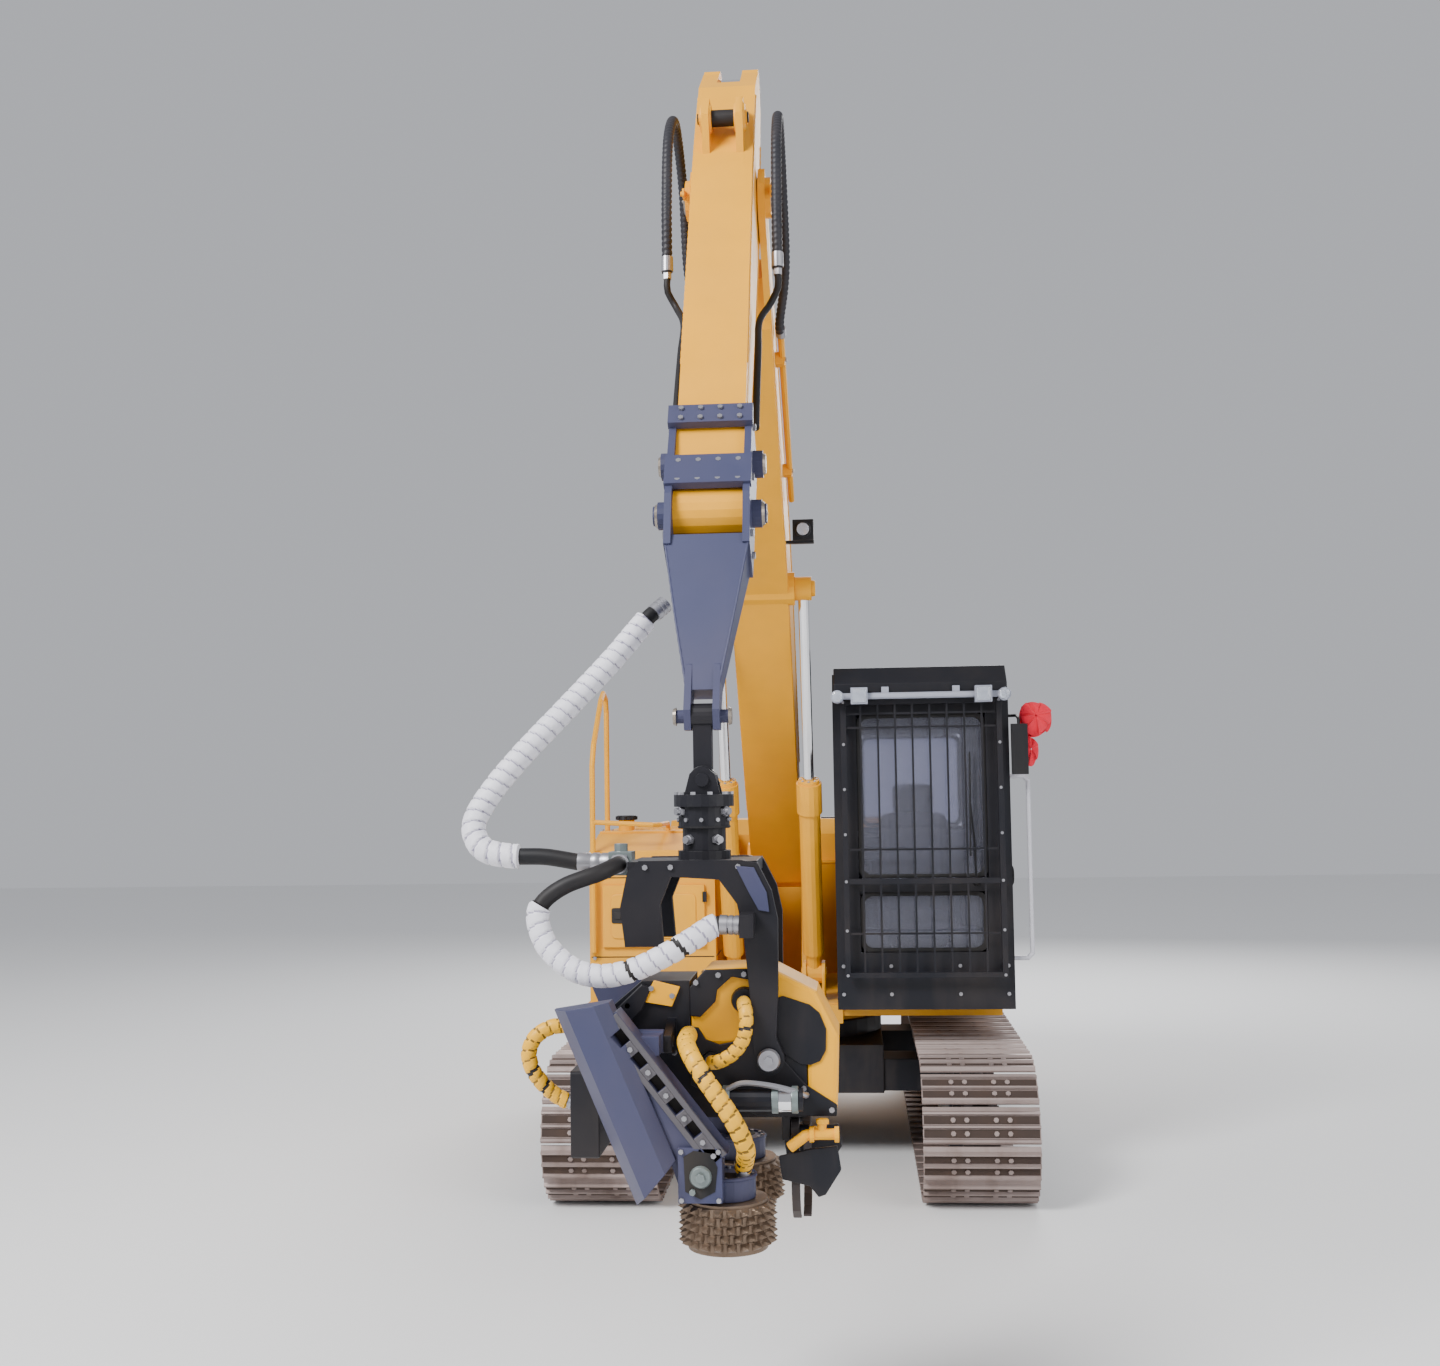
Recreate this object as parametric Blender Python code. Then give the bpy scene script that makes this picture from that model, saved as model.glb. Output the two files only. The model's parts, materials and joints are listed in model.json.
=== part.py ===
"""Tracked forestry harvester: an excavator carrier with a guarded cab, a boom and stick,
and a harvester head that hangs from an adapter on the stick.

Metres, +Z up. The machine faces -Y, its cab is on +X, and it stands on Z = 0. The slew axis
stands at (SLEW_X, SLEW_Y), so that the origin is under the middle of the machine's box.
Every point below is measured from the slew axis at the ground.
"""

import math

import bmesh
import bpy
from mathutils import Matrix, Vector

GAP = 0.0003  # clearance of faces and pins that touch

# Where the slew axis stands in the part's frame
SLEW_X = -0.10
SLEW_Y = 1.75

# Tracks
GAUGE = 1.99
SHOE_WIDTH = 0.60
TRACK_LENGTH = 3.79
TRACK_HEIGHT = 0.78
SHOE_COUNT = 48
SHOE_THICKNESS = 0.033
GROUSER = 0.012
CHAIN_DEPTH = 0.12
CHAIN_WIDTH = 0.17
ROLLER_RADIUS = 0.08
ROLLER_COUNT = 6
FRAME_WIDTH = 0.25
FRAME_BOTTOM = 0.19
FRAME_TOP = 0.46

# Car body and slewing ring
CAR_BODY_BOTTOM = 0.42
CAR_BODY_TOP = 0.70
RING_TOP = 0.80
RING_RADIUS = 0.52

# Upper structure
DECK_BOTTOM = 0.90
DECK_TOP = 0.975
DECK_FRONT = -0.94
DECK_REAR = 1.42
DECK_HALF = 1.20
TAIL_RADIUS = 2.15
COUNTERWEIGHT_TOP = 1.72
BAY_FRONT = 0.54
BAY_TOP = 1.70
SHEET = 0.02
HOOD_TOP = 2.00

# Cab
CAB_RIGHT = 0.265
CAB_WIDTH = 0.981
CAB_FRONT = -1.24
CAB_REAR = 0.46
CAB_HEIGHT = 1.88
CAB_WALL = 0.05

# Boom plane, pins in the machine's side plane (y, z)
BOOM_X = -0.11
BOOM_FOOT = (-0.11, 1.74)
BOOM_LENGTH = 4.587
BOOM_ANGLE = 40.85
BOOM_WIDTH = 0.308
STICK_LENGTH = 1.954
STICK_ANGLE = -53.22
STICK_WIDTH = 0.245
STICK_SLOT = 0.10
PLATE = 0.03
PIN = 0.035
BOOM_CYLINDER_X = 0.235
BOOM_CYLINDER_BASE = (-0.78, 1.13)
BARREL_RADIUS = 0.06
EYE_WIDTH = 0.09
ROD_RADIUS = 0.03
BOOM_BASE_PIN = 0.030

# Head, hung under the adapter
HEAD_X = -0.10
HEAD_Y = -5.15
ADAPTER_PIN_Z = 2.45
ADAPTER_BOLT = 1.72  # down the stick from its pivot
LINK_LENGTH = 0.205
ROTATOR_BOTTOM = 2.02
HANGER_HALF = 0.185
HANGER_PLATE = 0.035
TILT_PIVOT = (0.096, 1.385)
HEAD_HALF = 0.13
FEED_ROLLER_RADIUS = 0.15
FEED_ROLLER_BOTTOM = 0.848
FEED_ROLLER_TOP = 0.995
FEED_ROLLER_Y = 0.27
FEED_ROLLER_X = -0.03
ARM_HINGE_Y = 0.235
ARM_HINGE_Z = 1.45
SAW_SLOT = 0.05
LINK_PIN = 0.022
TILT_PIN = 0.030
ARM_PIN = 0.018
BARREL_BOTTOM = 0.135  # from the base eye to the foot of a barrel's bore

MATERIALS = {
    "machine_yellow": ((0.85, 0.46, 0.05), 0.35, 0.0),
    "head_yellow": ((0.90, 0.50, 0.01), 0.35, 0.0),
    "slate_paint": ((0.09, 0.11, 0.20), 0.45, 0.0),
    "black_paint": ((0.02, 0.02, 0.03), 0.45, 0.0),
    "track_steel": ((0.30, 0.24, 0.22), 0.55, 0.8),
    "bright_steel": ((0.75, 0.75, 0.77), 0.25, 1.0),
    "worn_steel": ((0.25, 0.20, 0.16), 0.6, 0.6),
    "black_rubber": ((0.02, 0.02, 0.02), 0.6, 0.0),
    "white_wrap": ((0.78, 0.76, 0.80), 0.5, 0.0),
    "yellow_wrap": ((0.85, 0.45, 0.02), 0.5, 0.0),
    "seat_fabric": ((0.05, 0.05, 0.07), 0.8, 0.0),
    "lamp_grey": ((0.6, 0.6, 0.62), 0.35, 0.3),
    "red_cloth": ((0.8, 0.02, 0.06), 0.6, 0.0),
    "mirror_black": ((0.02, 0.02, 0.02), 0.3, 0.0),
}


def clear_scene():
    for item in list(bpy.data.objects):
        bpy.data.objects.remove(item, do_unlink=True)


def make_materials():
    for name, (colour, roughness, metallic) in MATERIALS.items():
        material = bpy.data.materials.new(name)
        material.use_nodes = True
        shader = material.node_tree.nodes["Principled BSDF"]
        shader.inputs["Base Color"].default_value = (*colour, 1.0)
        shader.inputs["Roughness"].default_value = roughness
        shader.inputs["Metallic"].default_value = metallic
        material.diffuse_color = (*colour, 1.0)


# ---------------------------------------------------------------- shapes


def prism(axis, outline, low, high):
    """Closed solid of a flat outline carried along an axis. The outline's two numbers are
    (y, z) for axis X, (x, z) for axis Y and (x, y) for axis Z."""
    at = {
        "X": lambda a, b, c: (c, a, b),
        "Y": lambda a, b, c: (a, c, b),
        "Z": lambda a, b, c: (a, b, c),
    }[axis]
    shape = bmesh.new()
    ends = [[shape.verts.new(at(a, b, c)) for a, b in outline] for c in (low, high)]
    shape.faces.new(ends[0])
    shape.faces.new(ends[1])
    count = len(outline)
    for i in range(count):
        j = (i + 1) % count
        shape.faces.new((ends[0][i], ends[0][j], ends[1][j], ends[1][i]))
    bmesh.ops.recalc_face_normals(shape, faces=shape.faces)
    return shape


def box(x0, x1, y0, y1, z0, z1):
    return prism("Z", [(x0, y0), (x1, y0), (x1, y1), (x0, y1)], z0, z1)


def rod(start, end, radius, sides=14, end_radius=None):
    """Round bar, or a cone where end_radius is given, between two points."""
    start, end = Vector(start), Vector(end)
    along = end - start
    turn = along.to_track_quat("Z", "Y").to_matrix().to_4x4()
    shape = bmesh.new()
    bmesh.ops.create_cone(
        shape,
        cap_ends=True,
        segments=sides,
        radius1=radius,
        radius2=radius if end_radius is None else end_radius,
        depth=along.length,
        matrix=Matrix.Translation((start + end) / 2) @ turn,
    )
    return shape


def rod_x(x0, x1, y, z, radius, sides=16):
    return rod((x0, y, z), (x1, y, z), radius, sides)


def rod_y(y0, y1, x, z, radius, sides=16):
    return rod((x, y0, z), (x, y1, z), radius, sides)


def rod_z(z0, z1, x, y, radius, sides=20):
    return rod((x, y, z0), (x, y, z1), radius, sides)


def loft(first, last):
    """Closed solid between two outlines of the same number of points in space."""
    shape = bmesh.new()
    rings = [[shape.verts.new(p) for p in ring] for ring in (first, last)]
    shape.faces.new(rings[0])
    shape.faces.new(rings[1])
    for i in range(len(first)):
        j = (i + 1) % len(first)
        shape.faces.new((rings[0][i], rings[0][j], rings[1][j], rings[1][i]))
    bmesh.ops.recalc_face_normals(shape, faces=shape.faces)
    return shape


def bent_bar(points, radius, sides=10):
    """Round bar bent through a list of points, with mitred corners and flat ends."""
    points = [Vector(p) for p in points]
    shape = bmesh.new()
    normal = None
    rings = []
    for i, point in enumerate(points):
        before = (point - points[i - 1]).normalized() if i else None
        after = (points[i + 1] - point).normalized() if i + 1 < len(points) else None
        along = ((before or after) + (after or before)).normalized()
        if normal is None:
            normal = along.orthogonal().normalized()
        normal = (normal - along * normal.dot(along)).normalized()
        across = along.cross(normal)
        stretch = 1.0 if not (before and after) else 1.0 / max(0.5, along.dot(after))
        bend = (after - before) if before and after else Vector((0, 0, 0))
        ring = []
        for k in range(sides):
            angle = 2 * math.pi * k / sides
            offset = radius * (math.cos(angle) * normal + math.sin(angle) * across)
            if bend.length > 1e-6:
                side = bend.normalized()
                offset += side * offset.dot(side) * (stretch - 1.0)
            ring.append(shape.verts.new(point + offset))
        rings.append(ring)
    for a, b in zip(rings, rings[1:]):
        for k in range(sides):
            n = (k + 1) % sides
            shape.faces.new((a[k], a[n], b[n], b[k]))
    shape.faces.new(rings[0])
    shape.faces.new(rings[-1])
    bmesh.ops.recalc_face_normals(shape, faces=shape.faces)
    return shape


def arc(centre, radius, first, last, steps):
    """Points on a circle, from one angle to another in degrees."""
    turns = [math.radians(first + (last - first) * i / steps) for i in range(steps + 1)]
    return [(centre[0] + radius * math.cos(t), centre[1] + radius * math.sin(t)) for t in turns]


def bore_radius(pin, sides):
    """Radius of a bore of so many sides whose flats clear a pin that turns in it."""
    return (pin + GAP) / math.cos(math.pi / sides)


# ---------------------------------------------------------------- objects


def temporary(shape):
    mesh = bpy.data.meshes.new("shape")
    shape.to_mesh(mesh)
    shape.free()
    item = bpy.data.objects.new("shape", mesh)
    bpy.context.scene.collection.objects.link(item)
    return item


def fuse(name, material, parent, add, cut=(), late=()):
    """One named, closed object: the shapes in add joined by Boolean unions, less cut. The
    shapes in late are joined on after the cuts."""
    base = temporary(add[0])
    helpers = []
    for operation, shapes in (("UNION", add[1:]), ("DIFFERENCE", cut), ("UNION", late)):
        for shape in shapes:
            helper = temporary(shape)
            helpers.append(helper)
            modifier = base.modifiers.new(operation.lower(), "BOOLEAN")
            modifier.operation = operation
            modifier.object = helper
            modifier.solver = "EXACT"
    bpy.context.view_layer.update()
    graph = bpy.context.evaluated_depsgraph_get()
    mesh = bpy.data.meshes.new_from_object(base.evaluated_get(graph))
    for item in [base, *helpers]:
        bpy.data.objects.remove(item, do_unlink=True)
    mesh.name = name
    mesh.materials.clear()
    mesh.materials.append(bpy.data.materials[material])
    mesh.shade_smooth()
    mesh.set_sharp_from_angle(angle=math.radians(30))
    item = bpy.data.objects.new(name, mesh)
    bpy.context.scene.collection.objects.link(item)
    hold(item, parent)
    return item


def hold(item, parent):
    """Parents an object to a pivot and keeps its points measured from the slew axis."""
    item.parent = parent
    item.matrix_parent_inverse = Matrix.Translation(-Vector(parent["machine_place"]))


def pivot(name, place, parent=None):
    """Empty on a joint's axis. Its place is measured from the slew axis at the ground."""
    item = bpy.data.objects.new(name, None)
    item.empty_display_size = 0.2
    bpy.context.scene.collection.objects.link(item)
    item["machine_place"] = place
    item.location = place
    if parent is None:
        item.location = Vector(place) + Vector((SLEW_X, SLEW_Y, 0.0))
    else:
        hold(item, parent)
    return item


def smooth_route(points, spacing):
    """Points read at even steps from a Catmull-Rom curve through a hose's route."""
    points = [Vector(p) for p in points]
    padded = [2 * points[0] - points[1], *points, 2 * points[-1] - points[-2]]
    fine = []
    for i in range(1, len(padded) - 2):
        p0, p1, p2, p3 = padded[i - 1 : i + 3]
        for k in range(24):
            t = k / 24
            fine.append(
                0.5
                * (
                    2 * p1
                    + (p2 - p0) * t
                    + (2 * p0 - 5 * p1 + 4 * p2 - p3) * t**2
                    + (3 * p1 - p0 - 3 * p2 + p3) * t**3
                )
            )
    fine.append(points[-1])
    total = sum((b - a).length for a, b in zip(fine, fine[1:]))
    count = max(3, round(total / spacing))
    step, walked, route = total / count, 0.0, [fine[0]]
    for a, b in zip(fine, fine[1:]):
        length = (b - a).length
        while len(route) < count and walked + length >= step * len(route):
            route.append(a.lerp(b, (step * len(route) - walked) / length))
        walked += length
    route.append(fine[-1])
    return route


def hose(name, material, parent, route, radius):
    """Hydraulic hose: a bevelled curve with filled caps through the smoothed route, square
    to what it meets at both ends."""
    points = smooth_route(route, 5 * radius)
    points.insert(1, points[0] + (Vector(route[1]) - Vector(route[0])).normalized() * radius)
    points.insert(-1, points[-1] + (Vector(route[-2]) - Vector(route[-1])).normalized() * radius)
    curve = bpy.data.curves.new(name, "CURVE")
    curve.dimensions = "3D"
    curve.bevel_depth = radius
    curve.bevel_resolution = 2
    curve.use_fill_caps = True
    spline = curve.splines.new("POLY")
    spline.points.add(len(points) - 1)
    for target, point in zip(spline.points, points):
        target.co = (*point, 1.0)
    curve.materials.append(bpy.data.materials[material])
    item = bpy.data.objects.new(name, curve)
    bpy.context.scene.collection.objects.link(item)
    hold(item, parent)
    return item


# ---------------------------------------------------------------- undercarriage


def track_path(offset, t):
    """Point of the track loop (y, z) and its outward direction. offset is measured outward
    from the chain's inner face, and t runs from 0 to 1 once around."""
    inner = TRACK_HEIGHT / 2 - CHAIN_DEPTH
    half = TRACK_LENGTH / 2 - TRACK_HEIGHT / 2
    centre_z = TRACK_HEIGHT / 2
    pitch = inner + 0.03
    straight, round_end = 2 * half, math.pi * pitch
    s = (t % 1.0) * (2 * straight + 2 * round_end)
    radius = inner + offset
    if s < straight:
        return (-half + s, centre_z + radius)
    s -= straight
    if s < round_end:
        angle = math.pi / 2 - s / pitch
        return (half + radius * math.cos(angle), centre_z + radius * math.sin(angle))
    s -= round_end
    if s < straight:
        return (half - s, centre_z - radius)
    s -= straight
    angle = -math.pi / 2 - s / pitch
    return (-half + radius * math.cos(angle), centre_z + radius * math.sin(angle))


def track(name, centre_x, parent):
    """Closed loop of chain and shoes. Each shoe is a step in the outline, with its grouser
    at the leading edge."""
    shape = bmesh.new()
    half, chain = SHOE_WIDTH / 2, CHAIN_WIDTH / 2
    under = CHAIN_DEPTH - SHOE_THICKNESS
    rings = []
    for shoe in range(SHOE_COUNT):
        for part in (0.04, 0.50, 0.96):
            t = (shoe + part) / SHOE_COUNT
            crown = CHAIN_DEPTH - GROUSER * (part - 0.04) / 0.92
            profile = [
                (-half, crown),
                (half, crown),
                (half, under),
                (chain, under),
                (chain, 0.0),
                (-chain, 0.0),
                (-chain, under),
                (-half, under),
            ]
            ring = []
            for x, offset in profile:
                y, z = track_path(offset, t)
                ring.append(shape.verts.new((centre_x + x, y, z)))
            rings.append(ring)
    for i, ring in enumerate(rings):
        after = rings[(i + 1) % len(rings)]
        for k in range(8):
            n = (k + 1) % 8
            shape.faces.new((ring[k], ring[n], after[n], after[k]))
    bmesh.ops.recalc_face_normals(shape, faces=shape.faces)
    fuse(name, "track_steel", parent, [shape])


def track_frame(name, side, parent):
    """Roller frame with its bottom rollers, carrier rollers and front idler."""
    centre = side * GAUGE / 2
    half = FRAME_WIDTH / 2
    axle_y = TRACK_LENGTH / 2 - TRACK_HEIGHT / 2
    axle_z = TRACK_HEIGHT / 2
    inner = TRACK_HEIGHT / 2 - CHAIN_DEPTH
    inside = centre - side * half
    add = [box(centre - half, centre + half, -1.16, 1.16, FRAME_BOTTOM, FRAME_TOP)]
    roller_z = CHAIN_DEPTH + GAP + ROLLER_RADIUS
    for i in range(ROLLER_COUNT):
        y = -1.05 + 2.10 * i / (ROLLER_COUNT - 1)
        add.append(rod_x(centre - 0.11, centre + 0.11, y, roller_z, ROLLER_RADIUS, 16))
    carrier_top = TRACK_HEIGHT - CHAIN_DEPTH - GAP
    for y in (-0.55, 0.55):
        add.append(rod_x(centre - 0.10, centre + 0.10, y, carrier_top - 0.055, 0.055, 16))
        add.append(box(centre - 0.06, centre + 0.06, y - 0.04, y + 0.04, 0.40, carrier_top - 0.05))
    add.append(rod_x(centre - 0.05, centre + 0.05, -axle_y, axle_z, inner - 0.004, 28))
    add.append(rod_x(centre - 0.115, centre + 0.115, -axle_y, axle_z, 0.085, 16))
    add.append(box(centre - 0.11, centre + 0.11, -axle_y, -1.10, axle_z - 0.07, axle_z + 0.065))
    low, high = sorted((inside - side * 0.035, inside - side * 0.0175))
    add.append(box(low, high, 1.02, axle_y + 0.19, 0.21, 0.57))
    low, high = sorted((inside - side * 0.03, centre))
    add.append(box(low, high, 1.03, 1.14, 0.23, 0.44))
    fuse(name, "black_paint", parent, add)


def final_drive(name, side, parent):
    """Travel motor, gear case and toothed sprocket at the rear of a track."""
    centre = side * GAUGE / 2
    axle_y = TRACK_LENGTH / 2 - TRACK_HEIGHT / 2
    axle_z = TRACK_HEIGHT / 2
    inner = TRACK_HEIGHT / 2 - CHAIN_DEPTH
    teeth = 21
    outline = []
    for i in range(teeth):
        for part, radius in ((0.0, inner - 0.030), (0.3, inner - 0.005), (0.5, inner - 0.005), (0.8, inner - 0.030)):
            angle = 2 * math.pi * (i + part) / teeth
            outline.append((axle_y + radius * math.cos(angle), axle_z + radius * math.sin(angle)))
    face = centre - side * (FRAME_WIDTH / 2 + 0.0175 - GAP)
    outer = centre + side * 0.17
    cover = centre + side * 0.22
    add = [
        prism("X", outline, centre - 0.03, centre + 0.03),
        rod_x(*sorted((face, outer)), axle_y, axle_z, 0.175, 24),
        rod_x(*sorted((outer - side * 0.01, cover)), axle_y, axle_z, 0.13, 24),
    ]
    fuse(name, "black_paint", parent, add)


def undercarriage(parent):
    leg_end = GAUGE / 2 - FRAME_WIDTH / 2 - GAP
    add = [box(-0.52, 0.52, -0.72, 0.72, CAR_BODY_BOTTOM, CAR_BODY_TOP)]
    for side in (-1, 1):
        y = side * 0.55
        add.append(box(-leg_end, leg_end, y - 0.15, y + 0.15, CAR_BODY_BOTTOM + 0.01, 0.615))
    add.append(rod_z(CAR_BODY_TOP - 0.05, RING_TOP, 0, 0, RING_RADIUS, 32))
    fuse("car_body", "black_paint", parent, add)
    for name, side in (("left", 1), ("right", -1)):
        track("track_" + name, side * GAUGE / 2, parent)
        track_frame("track_frame_" + name, side, parent)
        final_drive("final_drive_" + name, side, parent)


# ---------------------------------------------------------------- upper structure


def boom_foot_plates():
    """Two bracket plates and the pin that hold the boom's foot."""
    y, z = BOOM_FOOT
    outline = [
        (y - 0.52, DECK_TOP - 0.03),
        (y + 0.48, DECK_TOP - 0.03),
        (y + 0.30, z - 0.20),
        *arc((y, z), 0.13, 15, 165, 6),
        (y - 0.30, z - 0.22),
    ]
    inner = BOOM_WIDTH / 2 + GAP
    shapes = []
    for side in (-1, 1):
        x0, x1 = sorted((BOOM_X + side * inner, BOOM_X + side * (inner + PLATE)))
        shapes.append(prism("X", outline, x0, x1))
    reach = inner + PLATE + 0.02
    shapes.append(rod_x(BOOM_X - reach, BOOM_X + reach, y, z, PIN, 20))
    return shapes


def boom_cylinder_lugs():
    y, z = BOOM_CYLINDER_BASE
    shapes = []
    for side in (-1, 1):
        centre = BOOM_X + side * BOOM_CYLINDER_X
        for edge in (-1, 1):
            x0, x1 = sorted((centre + edge * (0.045 + GAP), centre + edge * 0.065))
            outline = [
                (y - 0.10, DECK_TOP - 0.06),
                (y + 0.16, DECK_TOP - 0.06),
                (y + 0.07, z + 0.03),
                (y + 0.03, z + 0.07),
                (y - 0.05, z + 0.06),
                (y - 0.08, z),
            ]
            shapes.append(prism("X", outline, x0, x1))
        shapes.append(rod_x(centre - 0.075, centre + 0.075, y, z, PIN - 0.005, 16))
    return shapes


def upper_frame(parent):
    """Slewing platform: ring, centre frame, side decks, boom brackets and bulkhead."""
    add = [
        rod_z(RING_TOP + GAP, DECK_BOTTOM + 0.02, 0, 0, RING_RADIUS - 0.03, 32),
        box(BOOM_X - 0.40, BOOM_X + 0.40, DECK_FRONT - 0.02, DECK_REAR - 0.01, 0.86, DECK_TOP - 0.01),
        box(-DECK_HALF, DECK_HALF, DECK_FRONT, DECK_REAR, DECK_BOTTOM, DECK_TOP),
        box(-DECK_HALF + 0.01, DECK_HALF - 0.01, BAY_FRONT, BAY_FRONT + SHEET, DECK_TOP - 0.03, BAY_TOP - GAP),
    ]
    add += boom_foot_plates()
    add += boom_cylinder_lugs()
    fuse("upper_frame", "machine_yellow", parent, add)


def counterweight(parent):
    half = DECK_HALF
    reach = math.degrees(math.asin(half / TAIL_RADIUS))
    outline = [(-half, DECK_REAR + GAP), (half, DECK_REAR + GAP)]
    outline += arc((0, 0), TAIL_RADIUS, 90 - reach, 90 + reach, 12)
    low, high = DECK_BOTTOM - 0.04, COUNTERWEIGHT_TOP
    shape = prism("Z", outline, low, high)
    fuse("counterweight", "machine_yellow", parent, [shape])


def engine_bay(parent):
    """Engine under its fixed top deck, with a hood and two side doors on hinges."""
    block = box(-0.55, 0.55, 0.76, 1.26, DECK_TOP + GAP, 1.55)
    fuse("engine_block", "black_paint", parent, [block])
    low, high = BAY_TOP, BAY_TOP + SHEET
    rear = DECK_REAR - GAP
    deck = box(-DECK_HALF, DECK_HALF, BAY_FRONT, rear, low, high)
    opening = box(-0.84, 0.84, BAY_FRONT + 0.12, rear - 0.06, low - 0.1, high + 0.1)
    posts = [box(x - 0.03, x + 0.03, BAY_FRONT + SHEET + 0.001, BAY_FRONT + 0.08, DECK_TOP + GAP, low + 0.01) for x in (-1.13, 1.13)]
    posts += [box(x - 0.03, x + 0.03, rear - 0.05, rear, DECK_TOP + GAP, low + 0.01) for x in (-1.13, 1.13)]
    fuse("bay_top_deck", "machine_yellow", parent, [deck, *posts], [opening])


def engine_hood(parent):
    """Raised hood with its exhaust stack, hinged at its rear edge."""
    front, rear = BAY_FRONT + 0.09, DECK_REAR - 0.035
    low = BAY_TOP + SHEET + GAP
    outline = [(front, low), (rear, low), (rear, HOOD_TOP - 0.06), (rear - 0.06, HOOD_TOP), (front + 0.12, HOOD_TOP), (front, HOOD_TOP - 0.10)]
    inner = [(front + SHEET, low - 0.1), (rear - SHEET, low - 0.1), (rear - SHEET, HOOD_TOP - 0.07), (rear - 0.07, HOOD_TOP - SHEET), (front + 0.13, HOOD_TOP - SHEET), (front + SHEET, HOOD_TOP - 0.11)]
    stack = rod_z(HOOD_TOP - 0.01, HOOD_TOP + 0.24, BOOM_X, 1.15, 0.05, 16)
    fuse("engine_hood", "machine_yellow", parent, [prism("X", outline, -0.88, 0.88), stack], [prism("X", inner, -0.86, 0.86)])


def side_door(name, side, parent):
    """Pressed door of the engine bay, with a folded rim behind its skin."""
    front, rear = BAY_FRONT + SHEET + 0.006, DECK_REAR - 0.006
    skin = side * DECK_HALF
    x0, x1 = sorted((skin, skin - side * 0.035))
    low, high = DECK_TOP + 0.006, BAY_TOP - 0.006
    hollow = sorted((skin - side * 0.006, skin - side * 0.08))
    leaves = sorted((skin - side * 0.03, side * (1.16 + GAP)))
    hinges = [box(*leaves, rear - 0.050, rear - 0.010, z, z + 0.10) for z in (low + 0.08, high - 0.18)]
    fuse(
        name,
        "machine_yellow",
        parent,
        [box(x0, x1, front, rear, low, high), *hinges],
        [box(*hollow, front + 0.03, rear - 0.055, low + 0.03, high - 0.03)],
    )


TOOL_BOX = dict(x0=-1.18, x1=-0.44, y0=-0.93, y1=-0.56, top=1.95, lip=1.86)
TOOL_DOOR = dict(x0=-1.10, x1=-0.50, z0=1.30, z1=1.66, thickness=0.025, lap=0.02)
TANK_TOP = 1.965


def right_side_boxes(parent):
    """Tool box with a sloped lid at the front, and the fuel tank behind it."""
    b = TOOL_BOX
    low = DECK_TOP + GAP
    front = b["y0"]
    outline = [(front, low), (b["y1"], low), (b["y1"], b["top"]), (b["y1"] - 0.02, b["top"]), (front, b["lip"])]
    inner = [(front + 0.02, low + 0.02), (b["y1"] - 0.02, low + 0.02), (b["y1"] - 0.02, b["top"] - 0.04), (front + 0.02, b["lip"] - 0.02)]
    d = TOOL_DOOR
    lap = d["lap"]
    door_hole = box(d["x0"] + lap, d["x1"] - lap, front - 0.05, front + 0.05, d["z0"] + lap, d["z1"] - lap)
    fuse("tool_box", "machine_yellow", parent, [prism("X", outline, b["x0"], b["x1"])], [prism("X", inner, b["x0"] + 0.02, b["x1"] - 0.02), door_hole])
    tank_front = b["y1"] + GAP
    shape = [
        box(b["x0"] + 0.005, b["x1"] - 0.005, tank_front, BAY_FRONT - GAP, low, TANK_TOP),
        rod_z(TANK_TOP - 0.015, TANK_TOP + 0.065, -1.03, -0.40, 0.05, 16),
    ]
    fuse("fuel_tank", "machine_yellow", parent, shape)


def tool_box_door(parent):
    d = TOOL_DOOR
    y = TOOL_BOX["y0"] - GAP
    plate = box(d["x0"], d["x1"], y - d["thickness"], y, d["z0"], d["z1"])
    fuse("tool_box_door", "machine_yellow", parent, [plate])


def handrail(parent):
    x = -1.15
    radius = 0.0165
    front = TOOL_BOX["y0"] - 0.045
    rail = [
        (x, TOOL_BOX["y0"] - GAP, 1.27),
        (x, front + 0.012, 1.27),
        (x, front, 1.282),
        (x, front, 2.36),
        (x, front + 0.06, 2.48),
        (x, -0.62, 2.76),
        (x, -0.52, 2.81),
        (x, -0.43, 2.78),
        (x, -0.40, 2.70),
        (x, -0.40, TANK_TOP + GAP),
    ]
    bar = [(x, front, 2.03), (-0.80, front + 0.02, 2.01), (-0.76, front + 0.06, 2.01), (-0.76, -0.53, 2.01), (-0.76, -0.50, 1.985), (-0.76, -0.50, TANK_TOP + GAP)]
    fuse("deck_handrail", "machine_yellow", parent, [bent_bar(rail, radius, 10), bent_bar(bar, radius - 0.002, 8)])


# ---------------------------------------------------------------- cab


def cab_box():
    x0, x1 = CAB_RIGHT, CAB_RIGHT + CAB_WIDTH
    low = DECK_TOP + GAP
    return x0, x1, CAB_FRONT, CAB_REAR, low, low + CAB_HEIGHT


def door_opening():
    """Low and high (y, z) corners of the hole for the cab door."""
    _, _, front, _, low, top = cab_box()
    return (front + 0.14, low + 0.09), (front + 1.10, top - 0.14)


def cab_outline(inset):
    _, _, y0, y1, z0, z1 = cab_box()
    return [
        (y0 + inset, z0 + inset),
        (y1 - inset, z0 + inset),
        (y1 - inset, z1 - 0.05 - inset * 0.6),
        (y1 - 0.05 - inset * 0.6, z1 - inset),
        (y0 + 0.12 + inset * 0.5, z1 - inset),
        (y0 + inset, z1 - 0.12 - inset * 0.5),
    ]


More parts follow.
